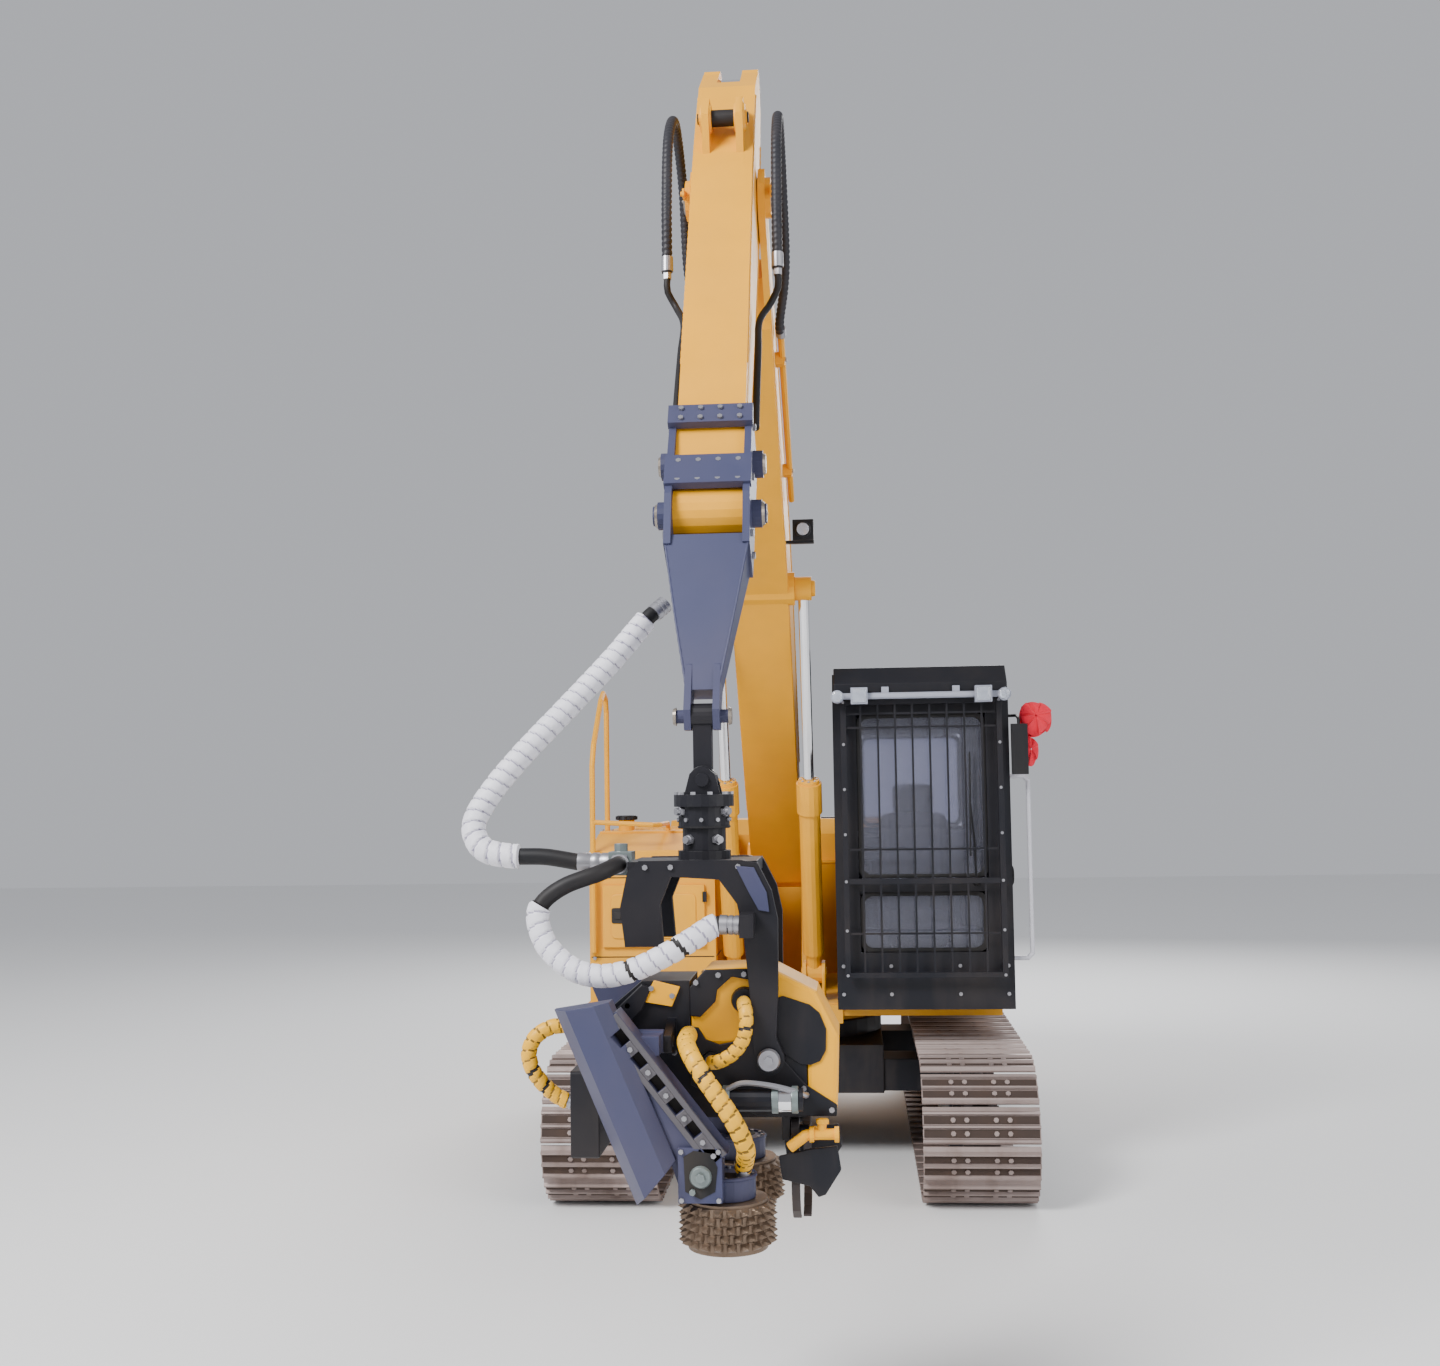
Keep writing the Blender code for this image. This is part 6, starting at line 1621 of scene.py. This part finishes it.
def wrapped_hose(
    name, route, radius, core, covered, pitch, loose, body, slot, materials, node=None,
    sides=28, seed=1
):
    """Hose with strip wound over the stretch covered = (from, to) metres along it. Its
    radius steps from the core's up to the strip's and dips in the gap between turns,
    where the faces take the second finish, a painted shade; a few turns, chosen by the
    seed, have slipped apart and show the rubber."""
    path = smooth_path(squared(route, radius), 0.005)
    length = path_length(path)
    s = np.arange(len(path)) * (length / (len(path) - 1))
    turn = np.arange(sides) * 2 * np.pi / sides
    phase = (s[:, None] / pitch - turn[None, :] / (2 * np.pi))
    part, which = phase % 1.0, np.floor(phase).astype(int)
    slipped = np.random.default_rng(seed).random(int(length / pitch) + 4) < loose
    gap = np.where(slipped[np.clip(which, 0, len(slipped) - 1)], 0.34, 0.13)
    on = (s[:, None] > covered[0]) & (s[:, None] < length - covered[1])
    in_gap = part < gap
    lift = np.clip((part - gap) / 0.06, 0, 1) * np.clip((1.0 - part) / 0.05, 0, 1)
    strip = radius * (0.955 + 0.045 * lift + 0.012 * np.sin(which * 2.3))
    size = np.where(on, np.where(in_gap, core + (radius - core) * 0.55, strip), core)
    scale = np.minimum(size, radius) / radius
    points, faces = tube_surface(path, radius, sides, lambda i, t: scale)
    n = len(points)
    wall = Bundle()
    wall.add(
        points,
        [*map(tuple, faces), tuple(range(sides - 1, -1, -1)), tuple(range(n - sides, n))]
    )
    item = wall.piece(name, body, slot, materials[0], smooth=True)
    item.data.materials.append(materials[1])
    item.data.materials.append(RUBBER)
    # Faces in the gap between turns take material 1, painted shade; slipped turns and bare ends
    # take the rubber.
    kind = np.where(on, np.where(in_gap, 1, 0), 2)[:-1].astype(int)
    slip_rows = slipped[np.clip(which, 0, len(slipped) - 1)][:-1] & (kind == 1)
    kind[slip_rows] = 2
    index = np.concatenate([kind.reshape(-1), [2, 2]]).astype(np.int32)
    item.data.polygons.foreach_set("material_index", index)
    if node:
        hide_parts(node)
    return path


def crimp(bundle, place, way, radius, length):
    """Steel ferrule with rolled grooves at a hose's end."""
    way = np.asarray(way) / np.linalg.norm(way)
    rows = [
        (0.0, 0.90), (0.02, 1.0), (0.24, 1.0), (0.27, 0.92), (0.31, 0.92), (0.34, 1.0),
        (0.52, 1.0), (0.55, 0.92), (0.59, 0.92), (0.62, 1.0), (0.98, 1.0), (1.0, 0.86)
    ]
    path = [np.asarray(place) + way * length * a for a, _ in rows]
    scale = np.array([b for _, b in rows])[:, None] * np.ones((1, 20))
    points, faces = tube_surface(path, radius, 20, lambda i, t: scale)
    n = len(points)
    bundle.add(points, [*map(tuple, faces), tuple(range(19, -1, -1)), tuple(range(n - 20, n))])


UPPER_HOSE = [
    (-0.266, -4.80, 2.86), (-0.33, -4.84, 2.80), (-0.44, -4.90, 2.66), (-0.58, -4.97, 2.50),
    (-0.72, -5.05, 2.34), (-0.82, -5.10, 2.21),
    (-0.865, -5.14, 2.11), (-0.83, -5.17, 2.035), (-0.74, -5.18, 2.01), (-0.62, -5.18, 2.005),
    (-0.50, -5.18, 1.985), (-0.4118, -5.18, 1.985),
]
LOWER_HOSE = [
    (-0.374, -5.2255, 1.982), (-0.374, -5.30, 1.982), (-0.42, -5.36, 1.96),
    (-0.52, -5.385, 1.925), (-0.59, -5.39, 1.875), (-0.605, -5.40, 1.82), (-0.57, -5.42, 1.74),
    (-0.49, -5.44, 1.675), (-0.40, -5.45, 1.655), (-0.30, -5.46, 1.675), (-0.20, -5.46, 1.72),
    (-0.12, -5.43, 1.765), (-0.06, -5.40, 1.80), (0.0175, -5.40, 1.80),
]
whites = (WHITE_WRAP, WRAP_GAP_SHADE)
upper = wrapped_hose(
    "white_hose_to_hanger", UPPER_HOSE, 0.040, 0.027, (0.10, 0.30), 0.040, 0.0, "stick",
    "white_wrap", whites, "white_hose_upper"
)
lower = wrapped_hose(
    "white_hose_to_head", LOWER_HOSE, 0.036, 0.026, (0.36, 0.07), 0.040, 0.16, "hanger",
    "white_wrap", whites, "white_hose_lower", seed=5
)
ends = Bundle()
crimp(ends, upper[-1], upper[-22] - upper[-1], 0.031, 0.105)
crimp(ends, upper[0], upper[8] - upper[0], 0.031, 0.06)
ends.piece("upper_hose_fittings", "stick", "bright_steel", ZINC, smooth=True)
ends = Bundle()
crimp(ends, lower[0], lower[10] - lower[0], 0.030, 0.055)
crimp(ends, lower[-1], lower[-12] - lower[-1], 0.030, 0.062)
ends.piece("lower_hose_fittings", "hanger", "bright_steel", ZINC, smooth=True)

# ------------------------------------------------------------ head frame and cowl
# Black welded frame with a yellow moulded cowl over its right end. Small covers, a blank
# black plate and the knife cylinder are bolted on the front.

dress(BLACK, 0.006, "head_frame")
dress(HEAD_YELLOW, 0.014, "head_cowl")
FACE = HEAD_Y - 0.13


def front_plate(name, outline, slot, material, depth=0.006, bevel=0.002, rear=False, body="head"):
    """Plate standing on the head's front face, or on its rear face too."""
    plate = Bundle()
    plate.prism("Y", outline, FACE - depth, FACE - 0.0003)
    if rear:
        plate.prism("Y", outline, HEAD_Y + 0.1303, HEAD_Y + 0.13 + depth)
    plate.piece(name, body, slot, material, bevel=bevel)


front_plate(
    "cowl_blank_plate",
    [
        (0.108, 1.560), (0.140, 1.572), (0.222, 1.545), (0.252, 1.520), (0.272, 1.470),
        (0.270, 1.405), (0.252, 1.372), (0.222, 1.360), (0.190, 1.362), (0.108, 1.415)
    ],
    "black_paint", BLACK, rear=True
)
front_plate(
    "small_yellow_cover", [(-0.262, 1.622), (-0.180, 1.602), (-0.206, 1.541), (-0.295, 1.556)],
    "head_yellow", HEAD_YELLOW, 0.012
)
front_plate(
    "upper_shroud",
    [
        (-0.150, 1.600), (-0.102, 1.654), (0.030, 1.657), (0.036, 1.622), (-0.018, 1.632),
        (-0.064, 1.592), (-0.070, 1.556), (-0.118, 1.508), (-0.150, 1.512)
    ],
    "black_paint", BLACK, 0.010, 0.003
)
front_plate(
    "lower_shroud",
    [
        (-0.150, 1.422), (-0.150, 1.478), (-0.124, 1.476), (-0.102, 1.440), (-0.060, 1.424),
        (-0.020, 1.432), (0.030, 1.465), (0.085, 1.440), (0.208, 1.300), (0.302, 1.240),
        (0.300, 1.205), (0.208, 1.205), (0.06, 1.205), (-0.150, 1.300)
    ],
    "black_paint", BLACK, 0.010, 0.003
)
front_plate(
    "left_shroud",
    [
        (-0.418, 1.500), (-0.300, 1.612), (-0.270, 1.600), (-0.300, 1.530), (-0.330, 1.500),
        (-0.380, 1.430), (-0.418, 1.420)
    ],
    "black_paint", BLACK, 0.018, 0.004
)
head_bolts = Bundle()
for x, z in (
    (-0.270, 1.598), (-0.205, 1.575), (-0.405, 1.47), (-0.345, 1.545), (-0.13, 1.615),
    (-0.06, 1.638), (0.02, 1.64), (-0.138, 1.45), (0.10, 1.40), (0.20, 1.29), (0.285, 1.225),
    (-0.12, 1.33), (-0.20, 1.40), (-0.26, 1.34), (-0.34, 1.25)
):
    head_bolts.disc((x, FACE - 0.006, z), (0, -1, 0), 0.009, 0.012)
    head_bolts.disc((x, HEAD_Y + 0.130, z), (0, 1, 0), 0.009, 0.008)
head_bolts.piece("head_bolts", "head", "bright_steel", ZINC)
boss = Bundle()
for z, radius in ((1.560, 0.042), (1.378, 0.030)):
    boss.disc(
        (0.020 if z > 1.5 else -0.086, FACE, z), (0, -1, 0), radius, 0.028, sides=24,
        top=radius - 0.005
    )
boss.piece("hose_bosses", "head", "black_paint", BLACK, bevel=0.002)

ram = Bundle()
for x0, x1, radius in ((-0.045, -0.022, 0.043), (0.105, 0.125, 0.041), (0.165, 0.185, 0.041)):
    ram.prism(
        "X",
        [(HEAD_Y - 0.215 + radius * math.cos(a), 1.27 + radius * math.sin(a)) for a in turn_ring],
        x0, x1
    )
ram.piece("knife_cylinder_bands", "head", "black_paint", MANIFOLD, bevel=0.002)
rod_end = Bundle()
rod_end.prism(
    "X",
    [(HEAD_Y - 0.215 + 0.0368 * math.cos(a), 1.27 + 0.0368 * math.sin(a)) for a in turn_ring],
    0.126, 0.164
)
rod_end.piece("knife_cylinder_rod", "head", "bright_steel", CHROME)
line = Bundle()
line.tube(
    smooth_path(
        [
            (-0.03, HEAD_Y - 0.235, 1.305), (0.02, HEAD_Y - 0.245, 1.325),
            (0.10, HEAD_Y - 0.245, 1.318), (0.17, HEAD_Y - 0.235, 1.300),
            (0.205, HEAD_Y - 0.20, 1.28), (0.208, HEAD_Y - 0.13, 1.27)
        ],
        0.012
    ),
    0.009, 8
)
line.piece("knife_cylinder_line", "head", "bright_steel", ZINC, smooth=True)

elbow = Bundle()
elbow.tube(
    smooth_path(
        [
            (0.155, FACE - 0.045, 1.118), (0.190, FACE - 0.050, 1.145),
            (0.215, FACE - 0.050, 1.158), (0.300, FACE - 0.050, 1.160)
        ],
        0.006
    ),
    0.017, 14
)
elbow.tube([(0.252, FACE - 0.050, 1.158), (0.256, FACE - 0.050, 1.206)], 0.014, 14)
for x in (0.216, 0.292):
    elbow.disc((x, FACE - 0.050, 1.159), (1, 0, 0), 0.024, 0.014, sides=18)
elbow.disc((0.256, FACE - 0.050, 1.192), (0, 0, 1), 0.021, 0.013, sides=6)
elbow.disc((0.230, FACE - 0.034, 1.159), (0, 1, 0), 0.013, 0.050, sides=12)
elbow.piece("yellow_elbow_fittings", "knife_front", "head_yellow", HEAD_YELLOW, bevel=0.0015)

for name, side in (("front", -1), ("rear", 1)):
    face_y = HEAD_Y + side * 0.150
    cheek = Bundle()
    outline = [
        (0.120, 1.090), (0.215, 1.112), (0.300, 1.122), (0.311, 1.050), (0.262, 0.975),
        (0.240, 0.967), (0.214, 1.000), (0.130, 1.020)
    ]
    cheek.prism("Y", outline, *sorted((face_y + side * 0.006, face_y + side * 0.018)))
    cheek.piece("knife_carrier_" + name, "knife_" + name, "black_paint", BLACK, bevel=0.003)
KNIFE_STEEL = finish(
    "knife_steel", (0.045, 0.042, 0.045), 0.42, metallic=0.6, soil=0.3, grain=0.6,
    soil_colour=(0.16, 0.09, 0.05)
)
dress(KNIFE_STEEL, 0.002, "knife_front", "knife_rear")

# ------------------------------------------------------------ yellow hoses
# Hoses of the feed motors and the saw, wound with yellow strip, with painted shade in the
# gaps between its turns.

MOTOR_HOSE = [
    (-0.15, -5.2805, 1.46), (-0.15, -5.36, 1.46), (-0.145, -5.46, 1.455), (-0.12, -5.54, 1.425),
    (-0.08, -5.575, 1.37), (-0.035, -5.59, 1.31),
    (0.010, -5.59, 1.24), (0.035, -5.56, 1.17), (0.03, -5.49, 1.125), (0.02, -5.45, 1.09),
    (0.02, -5.45, 1.0608),
]
CROSS_HOSE = [
    (0.020, -5.309, 1.560), (0.022, -5.345, 1.556), (0.030, -5.372, 1.530),
    (0.030, -5.382, 1.490), (0.018, -5.384, 1.448), (-0.010, -5.382, 1.412),
    (-0.048, -5.372, 1.388), (-0.078, -5.345, 1.378), (-0.086, -5.3085, 1.378),
]
SAW_HOSE = [
    (-0.4205, -5.24, 1.470), (-0.470, -5.25, 1.472), (-0.530, -5.26, 1.480),
    (-0.590, -5.27, 1.476), (-0.638, -5.28, 1.448), (-0.660, -5.28, 1.400),
    (-0.650, -5.28, 1.350), (-0.622, -5.27, 1.305), (-0.585, -5.26, 1.268),
    (-0.545, -5.26, 1.245), (-0.5105, -5.26, 1.238),
]
yellows = (YELLOW_WRAP, YELLOW_GAP_SHADE)
motor_bend = ("head", "feed_arm_front", at(-0.12, -5.54, 1.425), at(0.02, -5.45, 1.09))
motor = wrapped_hose(
    "yellow_motor_hose", MOTOR_HOSE, 0.028, 0.018, (0.05, 0.03), 0.034, 0.12, motor_bend,
    "yellow_wrap", yellows, "motor_hose", sides=24, seed=3
)
cross = wrapped_hose(
    "yellow_cross_hose", CROSS_HOSE, 0.022, 0.015, (0.02, 0.03), 0.030, 0.1, "head",
    "yellow_wrap", yellows, sides=20, seed=4
)
saw = wrapped_hose(
    "yellow_saw_hose", SAW_HOSE, 0.025, 0.017, (0.04, 0.03), 0.032, 0.1, "head", "yellow_wrap",
    yellows, sides=22, seed=6
)
ends = Bundle()
motor_end = Bundle()
for path, radius, length, far in (
    (motor, 0.021, 0.030, motor_end), (cross, 0.018, 0.016, ends), (saw, 0.020, 0.032, ends)
):
    crimp(ends, path[0], path[6] - path[0], radius, length)
    crimp(far, path[-1], path[-7] - path[-1], radius, length)
ends.piece("yellow_hose_fittings", "head", "bright_steel", ZINC, smooth=True)
motor_end.piece("motor_hose_fitting", "feed_arm_front", "bright_steel", ZINC, smooth=True)

# ------------------------------------------------------------ feed arms, rollers and saw
# Each arm is a folded slate-blue beam with a steel rail beside it, cut with square
# holes. Its motor drives a steel drum set all round with spikes.

dress(SLATE, 0.006, "feed_arm_front", "feed_arm_rear")
dress(BLACK, 0.006, "saw_box")
RAIL_STEEL = finish(
    "slotted_rail_steel", (0.12, 0.115, 0.13), 0.45, metallic=0.5, soil=0.4, grain=0.8,
    soil_colour=(0.12, 0.09, 0.07)
)
ROLLER_STEEL = finish(
    "spiked_roller_steel", (0.20, 0.145, 0.105), 0.42, metallic=0.75, soil=0.55, grain=1.0,
    bump=0.4, soil_colour=(0.11, 0.055, 0.025)
)
# Near-black painted shade for the insides of holes and openings, laid on flat sheets.
BORE_SHADE = finish("dark_bore", (0.012, 0.012, 0.013), 0.7, soil=0.2, grain=0.6)
RAIL_TOP, RAIL_END = np.array((-0.372, 1.540)), np.array((-0.045, 1.125))
RAIL_RUN = (RAIL_END - RAIL_TOP) / np.linalg.norm(RAIL_END - RAIL_TOP)
RAIL_WIDE = np.array((-RAIL_RUN[1], RAIL_RUN[0]))
RAIL_LENGTH = float(np.linalg.norm(RAIL_END - RAIL_TOP))


def on_rail(u, v):
    return tuple(RAIL_TOP + RAIL_RUN * u + RAIL_WIDE * v)


def arm_details(name, side):
    body = "feed_arm_" + name
    near, far = HEAD_Y + side * 0.3953, HEAD_Y + side * 0.402
    level = sorted((near, far))
    rail = Bundle()
    for v0, v1 in ((0.0165, 0.034), (-0.034, -0.0165)):
        rail.prism(
            "Y",
            [
                on_rail(0.004, v0), on_rail(RAIL_LENGTH - 0.004, v0),
                on_rail(RAIL_LENGTH - 0.004, v1), on_rail(0.004, v1)
            ],
            *level
        )
    stops = [0.004] + [
        0.07 + 0.085 * i + d for i in range(5) for d in (-0.0225, 0.0225)
    ] + [RAIL_LENGTH - 0.004]
    for u0, u1 in zip(stops[::2], stops[1::2]):
        rail.prism(
            "Y",
            [on_rail(u0, -0.0168), on_rail(u1, -0.0168), on_rail(u1, 0.0168), on_rail(u0, 0.0168)],
            *level
        )
    rail.piece("arm_rail_" + name, body, "worn_steel", RAIL_STEEL, bevel=0.002)
    web = Bundle()
    web.prism(
        "Y", [on_rail(0.05, -0.028), on_rail(0.50, -0.028), (-0.166, 1.055), (-0.185, 1.110)],
        *sorted((HEAD_Y + side * 0.340, HEAD_Y + side * 0.386))
    )
    web.piece("arm_web_" + name, body, "slate_paint", SLATE, bevel=0.002)
    # A near-black sheet behind the rail's holes is painted shade in them.
    holes = Bundle()
    for i in range(5):
        u = 0.07 + 0.085 * i
        holes.prism(
            "Y",
            [
                on_rail(u - 0.021, -0.015), on_rail(u + 0.021, -0.015),
                on_rail(u + 0.021, 0.015), on_rail(u - 0.021, 0.015)
            ],
            *sorted((HEAD_Y + side * 0.366, HEAD_Y + side * 0.368))
        )
    holes.piece("arm_rail_hole_floors_" + name, body, "black_paint", BORE_SHADE)
    bolts = Bundle()
    for u in (0.025, 0.113, 0.198, 0.283, 0.368, 0.455, 0.505):
        bolts.disc((*on_rail(u, 0.0)[:1], far, on_rail(u, 0.0)[1]), (0, side, 0), 0.0085, 0.007)
    for x, z in ((-0.155, 1.155), (-0.045, 1.155), (-0.155, 1.015), (-0.045, 1.015)):
        bolts.disc((x, HEAD_Y + side * 0.402, z), (0, side, 0), 0.008, 0.007)
    for a in np.arange(12) * math.pi / 6:
        bolts.disc(
            (-0.03 + 0.074 * math.cos(a), HEAD_Y + side * 0.27 + 0.074 * math.sin(a), 1.0603),
            (0, 0, 1), 0.006, 0.006
        )
    bolts.piece("arm_bolts_" + name, body, "bright_steel", ZINC)
    # Flat near-black patches on the arm's side and top are painted shade standing for openings
    # there.
    well = Bundle()
    well.prism(
        "Y",
        [
            (-0.148, 1.140), (-0.118, 1.158), (-0.066, 1.150), (-0.048, 1.110), (-0.056, 1.040),
            (-0.098, 1.018), (-0.144, 1.040)
        ],
        *sorted((HEAD_Y + side * 0.4022, HEAD_Y + side * 0.4035))
    )
    ring = np.arange(28) * 2 * math.pi / 28
    well.prism(
        "Z",
        [(-0.03 + 0.050 * math.cos(a), HEAD_Y + side * 0.30 + 0.040 * math.sin(a)) for a in ring],
        1.0604, 1.062
    )
    well.piece("arm_dark_openings_" + name, body, "black_paint", BORE_SHADE)
    motor_parts = Bundle()
    motor_parts.disc(
        (-0.098, HEAD_Y + side * 0.4035, 1.082), (0, side, 0), 0.034, 0.010, sides=22, top=0.028
    )
    motor_parts.disc((-0.098, HEAD_Y + side * 0.4135, 1.082), (0, side, 0), 0.015, 0.012)
    motor_parts.disc((-0.122, HEAD_Y + side * 0.4035, 1.040), (0, side, 0), 0.010, 0.014)
    motor_parts.piece("arm_motor_ports_" + name, body, "bright_steel", MANIFOLD, bevel=0.0015)
    lip = Bundle()
    path = [
        (-0.03 + 0.084 * math.cos(a), HEAD_Y + side * 0.27 + 0.084 * math.sin(a), 1.0605)
        for a in np.append(ring, ring[0])
    ]
    points, faces = tube_surface(path, 0.006, 8)
    lip.add(points, faces)
    lip.piece("arm_motor_ring_" + name, body, "slate_paint", SLATE, smooth=True)


def spiked_drum(name, side):
    """Drum whose wall is a grid over turn and height: its radius stands at the wall and
    rises to a spike at the middle of each cell, every other row shifted by half."""
    centre = (-0.03, HEAD_Y + side * 0.27)
    columns, rows, fine = 20, 5, 8
    turn = np.arange(columns * fine) * 2 * np.pi / (columns * fine)
    z = np.linspace(0.862, 0.985, rows * fine + 1)
    row = np.clip(((z - z[0]) / (z[-1] - z[0]) * rows).astype(int), 0, rows - 1)
    across = (turn[None, :] * columns / (2 * np.pi) + 0.5 * (row[:, None] % 2)) % 1.0 - 0.5
    up = ((z - z[0]) / (z[-1] - z[0]) * rows - row)[:, None] - 0.5
    cone = np.clip(1.0 - np.maximum(np.abs(across) / 0.36, np.abs(up) / 0.42), 0.0, 1.0)
    radius = 0.126 + 0.024 * cone**0.7
    points = np.stack(
        [
            centre[0] + radius * np.cos(turn), centre[1] + radius * np.sin(turn),
            np.broadcast_to(z[:, None], radius.shape)
        ],
        axis=-1
    ).reshape(-1, 3)
    drum = Bundle()
    n, around = len(points), columns * fine
    drum.add(
        points,
        [
            *map(tuple, join_grid(len(z), around)), tuple(range(around - 1, -1, -1)),
            tuple(range(n - around, n))
        ]
    )
    for z0, z1, r in ((0.849, 0.862, 0.120), (0.985, 0.994, 0.120)):
        drum.prism(
            "Z",
            [(centre[0] + r * math.cos(a), centre[1] + r * math.sin(a)) for a in turn_ring], z0,
            z1
        )
    item = drum.piece("spiked_drum_" + name, "feed_roller_" + name, "worn_steel", ROLLER_STEEL)
    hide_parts("feed_roller_" + name)


for name, side in (("front", -1), ("rear", 1)):
    arm_details(name, side)
    spiked_drum(name, side)

SAW_STEEL = finish("saw_chain_steel", (0.45, 0.45, 0.47), 0.32, metallic=0.9, soil=0.25, grain=0.4)
dress(SAW_STEEL, 0.0, "saw_bar")
SAW_X, SAW_Y, SAW_Z = -0.46515, HEAD_Y + 0.19, 1.17
chain = Bundle()
for y in np.arange(SAW_Y - 0.35, SAW_Y + 0.01, 0.018):
    half = np.interp(y + 0.009, (SAW_Y - 0.34, SAW_Y + 0.026), (0.040, 0.028))
    for z, side in ((SAW_Z + half, 1), (SAW_Z - half, -1)):
        low_z, high_z = sorted((z - side * 0.004, z + side * 0.004))
        chain.box(SAW_X - 0.0045, SAW_X + 0.0045, y, y + 0.014, low_z, high_z)
        tip = [
            (y, z + side * 0.003), (y + 0.009, z + side * 0.003), (y + 0.009, z + side * 0.007),
            (y + 0.001, z + side * 0.009)
        ]
        chain.prism("X", tip, SAW_X - 0.006, SAW_X + 0.006)
for a in np.arange(100, 261, 20):
    c = (
        SAW_Y - 0.36 + 0.041 * math.cos(math.radians(a)),
        SAW_Z + 0.041 * math.sin(math.radians(a))
    )
    chain.disc((SAW_X - 0.005, *c), (1, 0, 0), 0.0065, 0.010)
chain.piece("saw_chain", "saw_bar", "bright_steel", SAW_STEEL)
